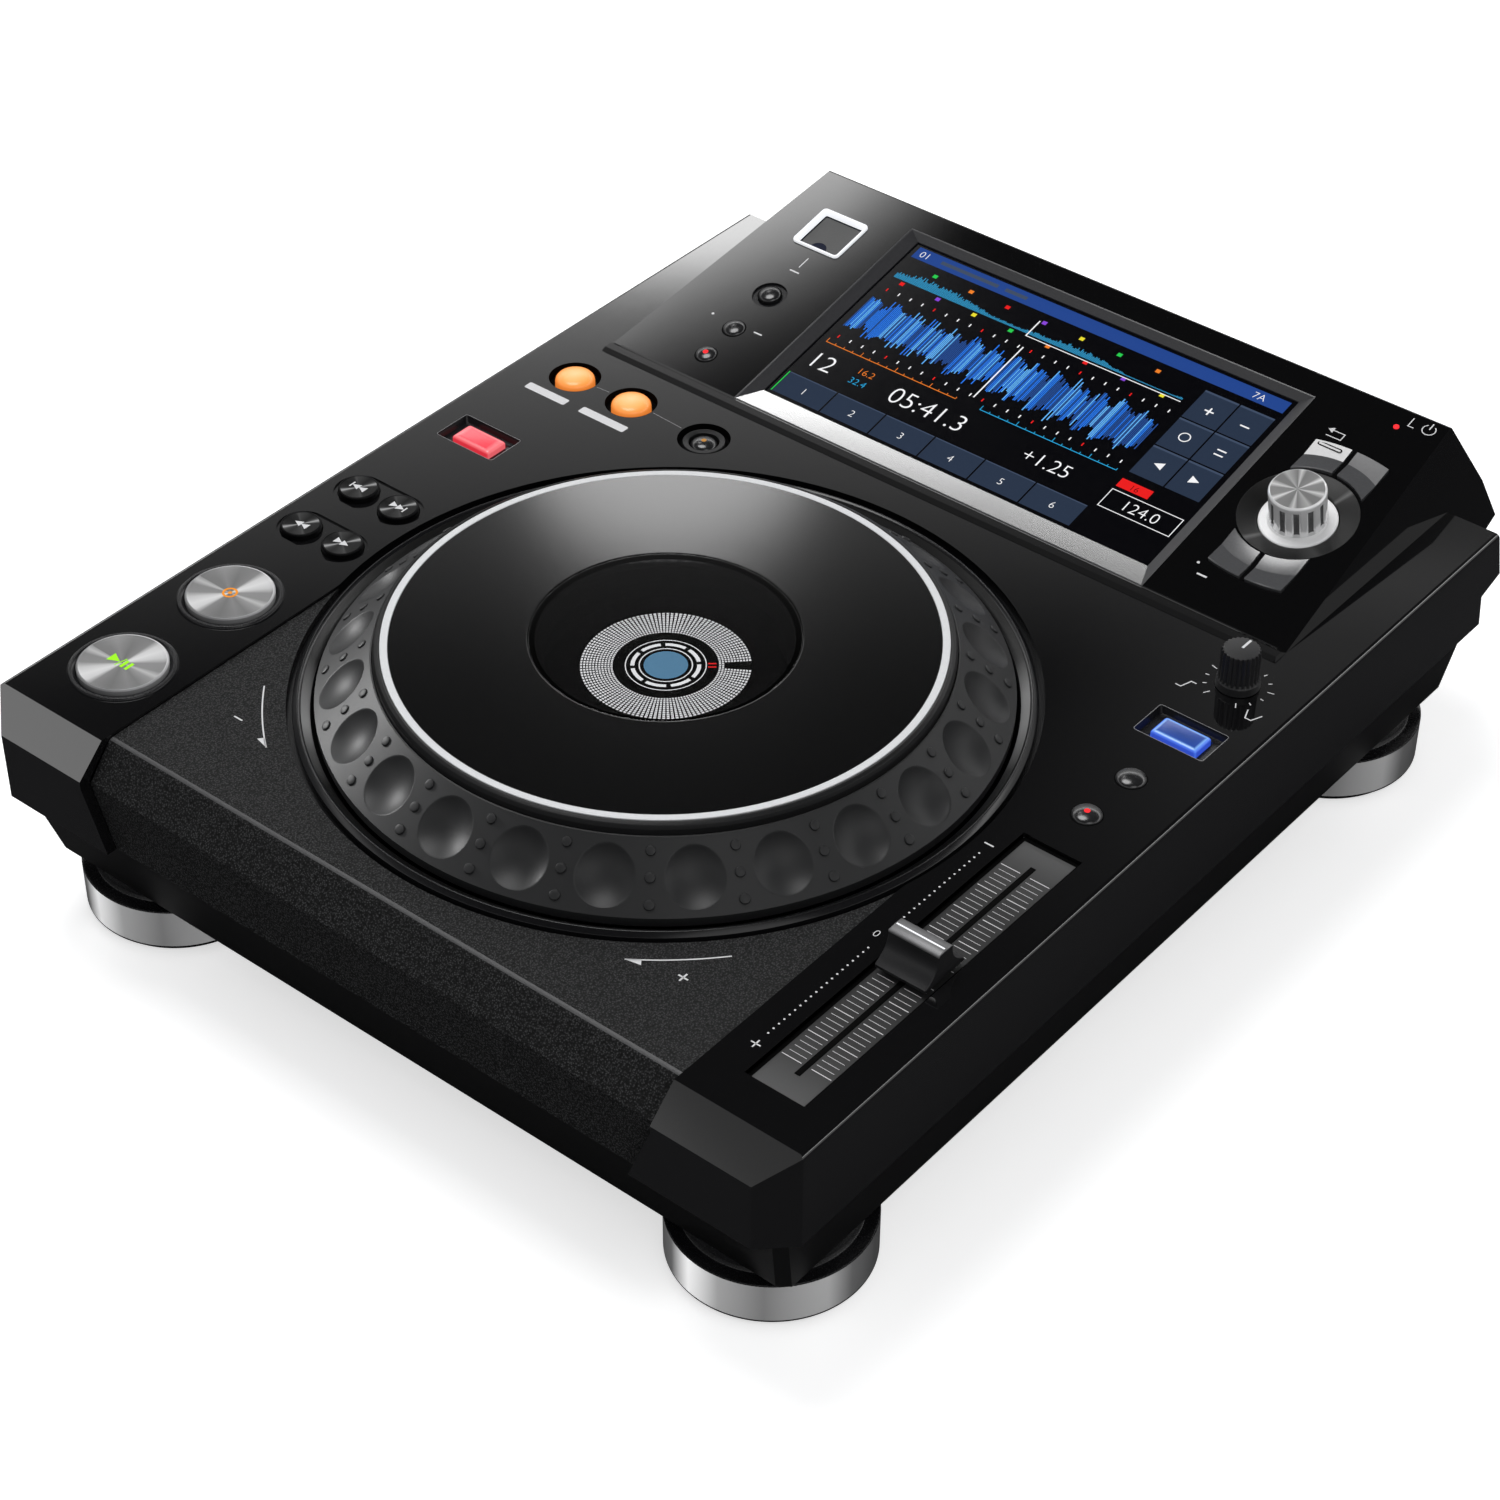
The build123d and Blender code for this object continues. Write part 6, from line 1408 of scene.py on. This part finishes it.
# ---- Display controls ----
class DJ_OT_selector(PlayerOperator):
    """The fluted selector knob, its spun collar and the four pads round it"""

    bl_idname = "dj.selector"
    bl_label = "Selector"

    def make(self, s):
        place = over("selector_knob", PANEL)
        collar = Shape().turn(
            [
                (12.9, -3.4), (12.9, -1.75, 0.1), (13.4, -1.5), (18.7, -0.1, 0.3), (19.2, 0.05, 0.15), (19.2, -1.2),
                (17.45, -1.2), (17.45, -3.4), (12.9, -3.4)
            ],
            128
        )
        collar.build(
            "selector_collar_ring", place, ["spun_collar"], CASE, "spun_black", ["selector_collar"], sharp=40
        )
        flute_centre, flute_r, side_r = 9.9, 1.5, 9.2
        steps = s.knob_flutes * 20

        def wall(z, depth_share, radius):
            ring = []
            for i in range(steps):
                a = 2 * pi * i / steps
                off = (a + pi / s.knob_flutes) % (2 * pi / s.knob_flutes) - pi / s.knob_flutes
                across = flute_centre * sin(off)
                reach = radius
                if abs(across) < flute_r:
                    reach = min(radius, flute_centre * cos(off) - sqrt(flute_r**2 - across**2))
                reach = radius + (reach - radius) * depth_share
                ring.append((reach * cos(a), reach * sin(a), z))
            return ring

        knob = Shape()
        rings = [wall(-0.9, 0, side_r + 0.1), wall(-0.5, 0, side_r), wall(0.1, 0.6, side_r), wall(0.7, 1, side_r),
                 wall(8.6, 1, side_r), wall(9.1, 0.7, side_r), wall(9.4, 0, side_r), wall(10.4, 0, side_r)]
        knob.stack(rings)
        knob.turn([(side_r, 10.4), (side_r - 0.05, 10.8, 0.2), (8.75, 11.3, 0.15), (8.5, 11.42)], steps)
        # Flute faces take the darker finish: painted shade in the flutes.
        for k, polygon in enumerate(knob.faces):
            middle = [sum(knob.points[i][j] for i in polygon) / len(polygon) for j in range(3)]
            if hypot(middle[0], middle[1]) < side_r - 0.3 and -0.2 < middle[2] < 9.2:
                knob.tones[k] = 1
        start = len(knob.faces)
        knob.turn([(8.5, 11.42), (0, 11.36)], 96)
        knob.tones[start:] = [2] * (len(knob.faces) - start)
        start = len(knob.faces)
        knob.turn([(9.3, -0.9), (9.8, -1.6, 0.5), (12.1, -1.65, 0.2), (12.5, -2.0), (12.5, -2.9), (3.2, -2.9)], 128)
        knob.tones[start:] = [3] * (len(knob.faces) - start)
        knob.build(
            "selector_knob_fluted", place, ["chrome", "flute_dark", "spun_rays", "skirt_silver"], "selector_knob",
            "spun_silver", ["selector_knob"], sharp=28
        )
        self.pads(place)

    def pads(self, place):
        """Four pads with a crease along an arc round the knob: two behind it and two in front."""
        for node in ("back_button", "tag_button", "filter_button", "shortcut_button"):
            (x, y, _), (high_x, high_y, _) = middle_of(node, place)
            half_w, far = high_x - x - 0.7, abs(high_y) - 0.7 if y > 0 else abs(2 * y - high_y) - 0.7
            side = 1 if y > 0 else -1
            shape = Shape()
            columns = [x - half_w + 2 * half_w * k / 16 for k in range(17)]
            widest = max(abs(c) for c in columns)
            rows = (
                (0.0, -0.6), (0.0, 0.75), (0.02, 1.0), (0.5, 0.32), (0.53, 0.32), (0.98, 1.0), (1.0, 0.75),
                (1.0, -0.6)
            )
            for share, z in rows:
                for c in columns:
                    near, crease, out = sqrt(20.2**2 - c**2), sqrt(26.2**2 - c**2), far - 1.6 * (c / widest) ** 2
                    if share < 0.51:
                        reach = near + (crease - near) * share * 2
                    else:
                        reach = crease + (out - crease) * (share * 2 - 1)
                    shape.points.append((c, side * reach, z))
            n = len(columns)
            for r in range(len(rows) - 1):
                for k in range(n - 1):
                    a = r * n + k
                    # The outer rows of the back and tag pads take painted reflections.
                    shape.face(
                        (a, a + 1, a + n + 1, a + n),
                        {"back_button": 2, "tag_button": 1}.get(node, 0) if r > 3 else 0
                    )
            for k in (0, n - 1):
                shape.face(tuple(r * n + k for r in range(len(rows))))
            shape.build(
                f"{node}_creased", place, ["pad_grey", "pad_light", "pad_pale"], node, "key_dark", [node], sharp=20
            )
            if node == "back_button":
                loop = stroke(round_box(8.4, 1.3, 0.6, x - 0.6, far - 2.6), 0.42, closed=True)
                marks("back_button_mark", place, loop, 0.93, "black_gap", node, "key_dark")


class DJ_OT_speed_knob(PlayerOperator):
    """The small ribbed knob with a white pointer"""

    bl_idname = "dj.speed_knob"
    bl_label = "Speed knob"

    def make(self, s):
        place = over("speed_knob", DECK)
        ribs = 24
        steps = ribs * 8

        def wall(z, radius, depth):
            ring = []
            for i in range(steps):
                a = 2 * pi * i / steps
                reach = radius - depth * (0.5 - 0.5 * cos(ribs * a))
                ring.append((reach * cos(a), reach * sin(a), z))
            return ring

        shape = Shape()
        shape.stack(
            [
                wall(0.3, 6.8, 0), wall(2.6, 6.6, 0), wall(3.0, 6.3, 0.1), wall(3.6, 6.25, 0.5),
                wall(12.4, 6.1, 0.6), wall(12.95, 6.0, 0.6), wall(13.4, 5.7, 0.4), wall(13.5, 5.0, 0)
            ],
            cap_last=True
        )
        shape.build(
            "speed_knob_ribbed", place, ["knob_black"], "speed_knob", "knob_black", ["speed_knob"], sharp=28
        )
        marks(
            "speed_knob_pointer", place, [box(-0.4, 0.4, 0.4, 5.0)], 13.53, "white_print", "speed_knob",
            "knob_black"
        )


# ---- Fader ----
class DJ_OT_fader(PlayerOperator):
    """The tempo fader: plate with fine lines, slot and a hollow-sided knob with a silver ridge"""

    bl_idname = "dj.fader"
    bl_label = "Tempo fader"

    def make(self, s):
        repaint("fader_plate", "fader_plate_grey")
        place = over("fader_plate", DECK)
        lines, long_lines = [], []
        for half in (-1, 1):
            for k in range(21):
                y = half * (4.5 + k * 2.22)
                strong = k % 5 == 0
                near, far, thick = 1.7, 8.3 if strong else 7.5, 0.13 if strong else 0.08
                for ends in ((-far, -near), (near, far)):
                    (long_lines if strong else lines).append(box(ends[0], y - thick, ends[1], y + thick))
        marks("fader_fine_lines", place, lines, FADER_FACE, "white_print", CASE, "fader_grey")
        marks("fader_long_lines", place, long_lines, FADER_FACE + 0.01, "white_print", CASE, "fader_grey")
        marks(
            "fader_slot_shadow", place, [box(-0.95, -53, 0.95, 53)], FADER_FACE + 0.005, "black_gap", CASE,
            "fader_grey"
        )
        marks(
            "fader_border", place, stroke(rounded(18.9, 123.1, 0.2, steps=1), 1.3, closed=True), FADER_FACE + 0.015,
            "black_gap", CASE, "fader_grey"
        )
        wall = Shape().stack([rounded(20.2, 124.4, 0.3, z) for z in (0.02, -1.7)])
        wall.build("fader_window_wall", place, ["black_ring"], CASE, "gloss_shell")
        self.knob()

    def knob(self):
        place = over("fader_knob", DECK)
        top = middle_of("fader_knob", DECK)[1][2]
        half_w, half_l, ridge = 8.6, 8.8, 3.1
        side = [(half_l, 0.3), (half_l, 1.2)]
        for k in range(1, 12):
            t = k / 12
            side.append((half_l + (ridge - half_l) * (1 - (1 - t) ** 2.4), 1.2 + (top - 2.4) * t**1.05))
        side += [(ridge, top - 1.2), (ridge, top - 0.7), (ridge - 0.35, top - 0.4), (0.4, top - 0.04)]
        outline = side + [(-y, z) for y, z in reversed(side)]
        shape = Shape()
        rings = []
        for x, draw in (
            (-half_w, 0.35), (-half_w + 0.12, 0.12), (-half_w + 0.35, 0.0), (half_w - 0.35, 0.0),
            (half_w - 0.12, 0.12), (half_w, 0.35)
        ):
            rings.append([(x, y * (1 - draw / half_l), min(z, top - draw)) for y, z in outline])
        shape.stack(rings, cap_first=True, cap_last=True)
        for k, polygon in enumerate(shape.faces):
            spots = [shape.points[i] for i in polygon]
            if len(spots) == 4 and min(p[2] for p in spots) > top - 1.5:
                shape.tones[k] = 1
        shape.build(
            "fader_knob_hollow", place, ["knob_black", "ridge_silver"], "fader_knob", "knob_black", ["fader_knob"],
            sharp=35
        )
        marks(
            "fader_knob_line", place, [box(-8.1, -0.3, 8.1, 0.3)], top - 0.01, "lit_white", "fader_knob",
            "knob_black"
        )


# ---- Screen ----
class DJ_OT_screen(PlayerOperator):
    """Sloping surround and the picture on the screen: bars, wave, clock and tiles"""

    bl_idname = "dj.screen"
    bl_label = "Screen"

    def make(self, s):
        self.surround()
        self.picture(s)

    def surround(self):
        outer = [(-81.0, 1.05), (81.0, 1.05), (81.0, 98.35), (-81.0, 98.35)]
        rim = [(-81.55, 0.65), (81.55, 0.65), (81.55, 98.75), (-81.55, 98.75)]
        inner = [(-77.0, 10.3), (77.0, 10.3), (77.0, 96.0), (-77.0, 96.0)]
        shape = Shape()
        starts = []
        for ring, z in ((rim, -0.6), (rim, 0.02), (outer, -0.06), (inner, -2.2), (inner, -2.75)):
            starts.append(len(shape.points))
            shape.points += [(x, y, z) for x, y in ring]
        for k, (a, b) in enumerate(zip(starts, starts[1:])):
            for i in range(4):
                j = (i + 1) % 4
                # The lower sloping face takes the silver finish with its painted reflection.
                shape.face((a + i, a + j, b + j, b + i), 1 if k == 2 and i == 0 else 0)
        shape.build(
            "screen_surround", PANEL, ["bevel_dark", "bevel_silver"], CASE, "screen_bevel", ["screen_frame"],
            sharp=5
        )

    def picture(self, s):
        chance = Random(7)

        def show(name, outlines, finish_name, lift=0.0):
            marks(f"screen_{name}", PANEL, outlines, PICTURE_DEPTH + lift, finish_name, CASE, "screen_glass")

        show("title_bar", [box(-75, 89.2, 75, 94.8)], "picture_bar")
        show("title_figures", figures("01", -73, 90.6, 4.2) + figures("7A", 62, 90.6, 4.2), "picture_white", 0.03)
        show("title_blocks", [box(-64, 91.2, -40, 92.8), box(-37, 91.2, -28, 92.8)], "picture_tile_light", 0.02)
        overview, markers = [], {
            "picture_red": [], "picture_green": [], "picture_violet": [], "picture_orange": [], "picture_yellow": []
        }
        left, right, base = -74, 44, 78.0
        count = 236
        for k in range(count):
            x = left + (right - left) * k / count
            wave = 0.45 + 0.3 * sin(k * 0.052) + 0.2 * sin(k * 0.019 + 1)
            high = max(0.4, 5.6 * wave * (0.55 + 0.45 * chance.random()))
            overview.append(box(x, base, x + 0.36, base + high))
        show("overview", overview, "picture_teal")
        for k, key in enumerate(list(markers) * 3):
            x = left + 4 + k * 7.6
            markers[key].append(box(x, base + (6.4 if k % 2 else -2.4), x + 1.7, base + (8.0 if k % 2 else -0.8)))
        for key, outlines in markers.items():
            show(key.replace("picture_", "marker_"), outlines, key)
        head = [box(-18, base - 1.0, -17.5, base + 7.2)] + stroke([(-18, base - 1.0), (44, base - 1.0)], 0.35)
        show("overview_head", head, "picture_white", 0.02)
        dark, mid, light = [], [], []
        middle = 58.0
        count = 196
        for k in range(count):
            x = left + (right - left) * k / count
            beat = 1 - 0.45 * (k % 14) / 14
            high = 11.6 * beat * (0.45 + 0.55 * chance.random() ** 0.5)
            pick = chance.random()
            pile = dark if pick < 0.36 else mid if pick < 0.8 else light
            pile.append(box(x, middle - high, x + 0.44, middle + high))
        show("wave_deep", dark, "picture_navy")
        show("wave_blue", mid, "picture_blue", 0.004)
        show("wave_sky", light, "picture_sky", 0.008)
        ticks, red_ticks = [], []
        for k in range(24):
            x = left + 2 + k * 5.0
            for y in (middle + 12.8, middle - 14.2):
                (red_ticks if k % 4 == 0 else ticks).append(box(x, y, x + 0.45, y + 1.4))
        show("beat_ticks", ticks, "picture_white")
        show("bar_ticks", red_ticks, "picture_red")
        show("play_head", [box(-15.4, middle - 14, -14.9, middle + 14)], "picture_white", 0.03)
        for colour, start in (("orange", -74), ("cyan", -10)):
            meter = stroke([(start, 40.4), (start + 54, 40.4)], 0.3)
            for k in range(16):
                meter.append(box(start + k * 3.6, 40.4, start + 0.25 + k * 3.6, 41.3 if k % 4 else 42.4))
            show(f"meter_{colour}", meter, f"picture_{colour}")
        show("clock", figures("05:41.3", -40, 28.0, 10.5), "picture_white")
        show("count", figures("12", -74, 28.0, 10.5), "picture_white")
        show("tempo", figures("+1.25", 14, 28.6, 8.2), "picture_white")
        show("small_orange", figures("16.2", -56, 33.4, 4.0), "picture_orange")
        show("small_cyan", figures("32.4", -56, 28.4, 4.0), "picture_cyan")
        g = s.tile_gap
        tiles, edges = [], []
        for k in range(6):
            x0 = -75 + k * 20.2
            tiles.append(box(x0, 12.2, x0 + 20.2 - g, 22.6))
            edges.append(box(x0, 22.2, x0 + 20.2 - g, 22.6))
        for column in range(2):
            for row in range(3):
                x0, y0 = 48 + column * 13.6, 42.0 + row * 14.8
                tiles.append(box(x0, y0, x0 + 13.6 - g, y0 + 14.8 - g))
                edges.append(box(x0, y0 + 14.0 - g, x0 + 13.6 - g, y0 + 14.8 - g))
        show("tiles", tiles, "picture_tile")
        show("tile_edges", edges, "picture_tile_light", 0.01)
        icons = [pointer(54.4, 49.2, 3.4, -1), pointer(68.2, 49.2, 3.4, 1)]
        icons += hoop(1.9, 28, 0.4, x=54.4, y=64.0) + [box(66.4, 62.4, 69.8, 63.0), box(66.4, 64.6, 69.8, 65.2)]
        icons += [box(52.8, 77.6, 56.2, 78.2), box(54.2, 76.2, 54.8, 79.6), box(66.4, 77.6, 69.8, 78.2)]
        for k in range(6):
            icons += figures(str(k + 1), -65.2 + k * 20.2, 15.6, 4.2, align="CENTER")
        show("tile_signs", icons, "picture_white", 0.03)
        show("range_box", [box(48, 34.6, 60, 38.6)], "picture_red")
        show("range_figures", figures("16", 54, 35.2, 3.4, align="CENTER"), "screen_black", 0.03)
        speed = stroke(
            box(48, 24.6, 75, 33.0), 0.3, closed=True
        ) + figures("124.0", 61.5, 26.6, 6.4, align="CENTER")
        show("speed_box", speed, "picture_white")
        show("live_edge", [box(-75.6, 12.2, -75.2, 22.6)], "picture_green")


# ---- Prints ----
class DJ_OT_prints(PlayerOperator):
    """White lines, arrows, dots and signs printed on the deck and the display's panel"""

    bl_idname = "dj.prints"
    bl_label = "Prints"

    def make(self, s):
        self.deck()
        self.front()
        self.panel()

    def deck(self):
        white, grey = [], []
        for y in [29.1 + k * 2.27 for k in range(20)] + [88.3 + k * 2.31 for k in range(16)]:
            white.append(disc(117.3, y, 0.32, 12))
        white += figures("0", 114.6, 76.9, 3.9)
        white += [box(115.7, 23.7, 118.9, 24.15), box(117.08, 22.3, 117.52, 25.5), box(115.7, 127.4, 118.9, 127.9)]
        x, y = spot_of("speed_knob", DECK)
        for k in range(13):
            a, far = radians(240 - k * 25), 11.4 if k % 3 == 0 else 10.4
            white += stroke([(x + r * cos(a), y + r * sin(a)) for r in (9.2, far)], 0.36)
        white += stroke([(x - 14.5, y - 11.5), (x - 12.6, y - 11.5), (x - 11.4, y - 7.6), (x - 9.6, y - 7.6)], 0.4)
        white += stroke([(x + 9.0, y - 8.2), (x + 10.4, y - 12.0), (x + 12.4, y - 12.0), (x + 14.0, y - 8.2)], 0.4)
        ax, ay = spot_of("loop_in_button", DECK)
        bx, by = spot_of("loop_out_button", DECK)
        cx, cy = spot_of("reloop_button", DECK)
        grey += stroke([(ax + 9.6, ay), (bx - 9.6, by)], 0.3)
        grey += stroke([(bx + 9.6, by), (cx - 9.6, cy)], 0.3)
        plates = [round_box(17.4, 3.5, 0.7, ax - 0.6, ay - 13.4), round_box(19.4, 3.5, 0.7, bx - 0.6, by - 13.4)]
        marks("deck_white_print", DECK, white, PRINT_LIFT, "white_print", CASE, "gloss_shell")
        marks("deck_fine_lines", DECK, grey, PRINT_LIFT, "grey_print", CASE, "gloss_shell")
        marks("loop_label_plates", DECK, plates, PRINT_LIFT, "white_print", CASE, "gloss_shell")

    def front(self):
        """Arrows that follow the jog, one each way, with plain signs."""
        shapes = []
        for start, end in ((219.5, 233.5), (319.0, 305.0)):
            shapes += stroke(arc(ARROW_R, start, end, steps=30), 0.45)
            tail = end - (2.2 if end < 260 else -2.2)
            shapes.append([arc(r, a, end, steps=1)[0] for r, a in ((ARROW_R, end), (ARROW_R, tail), (121.6, tail))])
        for a, plus in ((226.5, False), (312.5, True)):
            x, y = SIGN_R * cos(radians(a)), SIGN_R * sin(radians(a))
            shapes.append(box(x - 1.7, y - 0.28, x + 1.7, y + 0.28))
            if plus:
                shapes.append(box(x - 0.28, y - 1.7, x + 0.28, y + 1.7))
        marks("jog_arrows", moved(JOG, 0, 0, -1.0), shapes, PRINT_LIFT, "white_print", CASE, "textured_black")

    def panel(self):
        white = []
        x, y = spot_of("usb_stop_button", PANEL)
        white += [box(x - 2.0, y + 13.4, x + 2.0, y + 14.0), box(x - 0.2, y + 16.2, x + 0.2, y + 21.5)]
        x, y = spot_of("time_mode_button", PANEL)
        white += [disc(x - 11.0, y + 2.2, 0.5, 12), box(x + 7.0, y + 1.8, x + 10.4, y + 2.4)]
        x, y = spot_of("selector_knob", PANEL)
        white += [disc(x - 14.8, y - 33.2, 0.5, 12), box(x - 12.6, y - 37.6, x - 9.0, y - 36.9)]
        white += stroke(
            [(x - 12.6, y + 37.4), (x - 6.6, y + 37.4), (x - 6.6, y + 34.6), (x - 12.0, y + 34.6)], 0.34
        )
        white.append([(x - 12.8, y + 37.4), (x - 10.8, y + 38.6), (x - 10.8, y + 36.2)])
        power = stroke(arc(2.2, 125, 415, x=120.1, y=104.1, steps=30), 0.34) + [box(119.88, 104.3, 120.32, 107.2)]
        power += stroke([(113.4, 106.4), (113.4, 102.4), (115.4, 102.4)], 0.34)
        marks("panel_white_print", PANEL, white + power, PRINT_LIFT, "white_print", CASE, "housing_black")


# ---- USB, light and feet ----
class DJ_OT_usb(PlayerOperator):
    """The lit white frame round the memory stick's socket, its well and the standby light"""

    bl_idname = "dj.usb"
    bl_label = "Socket frame and light"

    def make(self, s):
        place = over("usb_frame", PANEL)
        rings = [rounded(w, l, r, z) for w, l, r, z in (
            (19.5, 19.0, 1.6, -1.0), (19.5, 19.0, 1.6, 0.6), (19.3, 18.8, 1.5, 0.85), (19.0, 18.5, 1.4, 0.9),
            (18.2, 17.7, 1.1, 0.9), (17.9, 17.4, 1.0, 0.8), (16.3, 15.8, 0.7, -0.8), (16.1, 15.6, 0.6, -1.1),
        )]
        Shape().stack(rings).build(
            "usb_frame_lit", place, ["lit_white"], CASE, "lit_white", ["usb_frame"], sharp=30
        )
        well = Shape().stack([rounded(16.05, 15.55, 0.6, z) for z in (-0.95, -1.9)], cap_last=True)
        well.build("usb_well", place, ["well_navy"], CASE, "housing_black")
        flap = [
            rounded(15.5, 15.0, 0.6, z, -0.2, 0.2) for z in (-1.85, -1.5)
        ] + [rounded(15.2, 14.7, 0.5, -1.38, -0.2, 0.2)]
        Shape().stack(flap, cap_last=True).build("usb_flap", place, ["flap_grey"], CASE, "housing_black")
        notch = [p[:2] for p in arc(3.2, 0, 180, x=-0.4, y=-7.3, steps=20)]
        marks("usb_flap_notch", place, [notch], -1.36, "well_navy", CASE, "housing_black")
        repaint("standby_led", "led_red")


class DJ_OT_feet(PlayerOperator):
    """Brushed silver rings over glossy black cores and rubber pads"""

    bl_idname = "dj.feet"
    bl_label = "Feet"

    def make(self, s):
        low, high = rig.box("foot_rings")
        reach = (high.x - low.x) / 2 / MM - FOOT_R
        front, back = low.y / MM + FOOT_R, high.y / MM - FOOT_R
        for name, x, y in (
            ("left_front", -reach, front), ("left_back", -reach, back), ("right_front", reach, front),
            ("right_back", reach, back)
        ):
            place = Matrix.Translation((x * MM, y * MM, 0))
            ring = Shape().turn([(FOOT_R, 2.8), (FOOT_R, 16.2)], 128)
            turned = ring.build(f"foot_ring_{name}", place, ["foot_silver"], CASE, "foot_silver", sharp=50)
            bpy.data.collections["foot_lamp_lights"].objects.link(turned)
            core = Shape().turn(
                [
                    (FOOT_R, 16.2), (30.1, 16.6, 0.2), (29.4, 16.7), (27.0, 16.7), (26.2, 16.9, 0.5),
                    (25.5, 18.0, 0.6), (25.5, 21.5)
                ],
                128
            )
            core.turn([(27.0, 1.5), (29.5, 1.5), (FOOT_R, 2.2, 0.5), (FOOT_R, 2.8)], 128)
            core.build(f"foot_core_{name}", place, ["foot_black"], CASE, "foot_black", sharp=50)
            pad = Shape().turn([(0, 0), (28.2, 0, 0.3), (28.5, 0.4), (28.5, 1.5), (0, 1.5)], 96)
            pad.build(f"foot_pad_{name}", place, ["rubber_black"], CASE, "rubber_black", sharp=50)
            if name == "left_front":
                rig.replaces(bpy.data.objects[f"foot_ring_{name}"], "foot_rings")
                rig.replaces(bpy.data.objects[f"foot_core_{name}"], "foot_cores")
                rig.replaces(bpy.data.objects[f"foot_pad_{name}"], "foot_pads")


OPERATORS = (
    DJ_OT_studio, DJ_OT_shells, DJ_OT_jog_wheel, DJ_OT_jog_top, DJ_OT_transport, DJ_OT_search,
    DJ_OT_lit_caps, DJ_OT_keys, DJ_OT_small_caps, DJ_OT_selector, DJ_OT_speed_knob, DJ_OT_fader,
    DJ_OT_screen, DJ_OT_prints, DJ_OT_usb, DJ_OT_feet,
)


class DJ_PT_player(Panel):
    bl_idname = "DJ_PT_player"
    bl_label = "DJ Player"
    bl_space_type = "VIEW_3D"
    bl_region_type = "UI"
    bl_category = "DJ Player"

    def draw(self, context):
        for name in PlayerSettings.__annotations__:
            self.layout.prop(context.scene.dj_player, name)
        for operator in OPERATORS:
            self.layout.operator(operator.bl_idname)


def register():
    for item in (PlayerSettings, *OPERATORS, DJ_PT_player):
        bpy.utils.register_class(item)
    bpy.types.Scene.dj_player = PointerProperty(type=PlayerSettings)


def unregister():
    del bpy.types.Scene.dj_player
    for item in (DJ_PT_player, *reversed(OPERATORS), PlayerSettings):
        bpy.utils.unregister_class(item)


def main():
    register()
    for operator in OPERATORS:
        group, name = operator.bl_idname.split(".")
        getattr(getattr(bpy.ops, group), name)()
    sizes = {"cad": cad_box, "visual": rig.bounds()}
    with open("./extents.json", "w") as file:
        json.dump({name: [list(corner) for corner in corners] for name, corners in sizes.items()}, file)


if __name__ == "__main__":
    main()
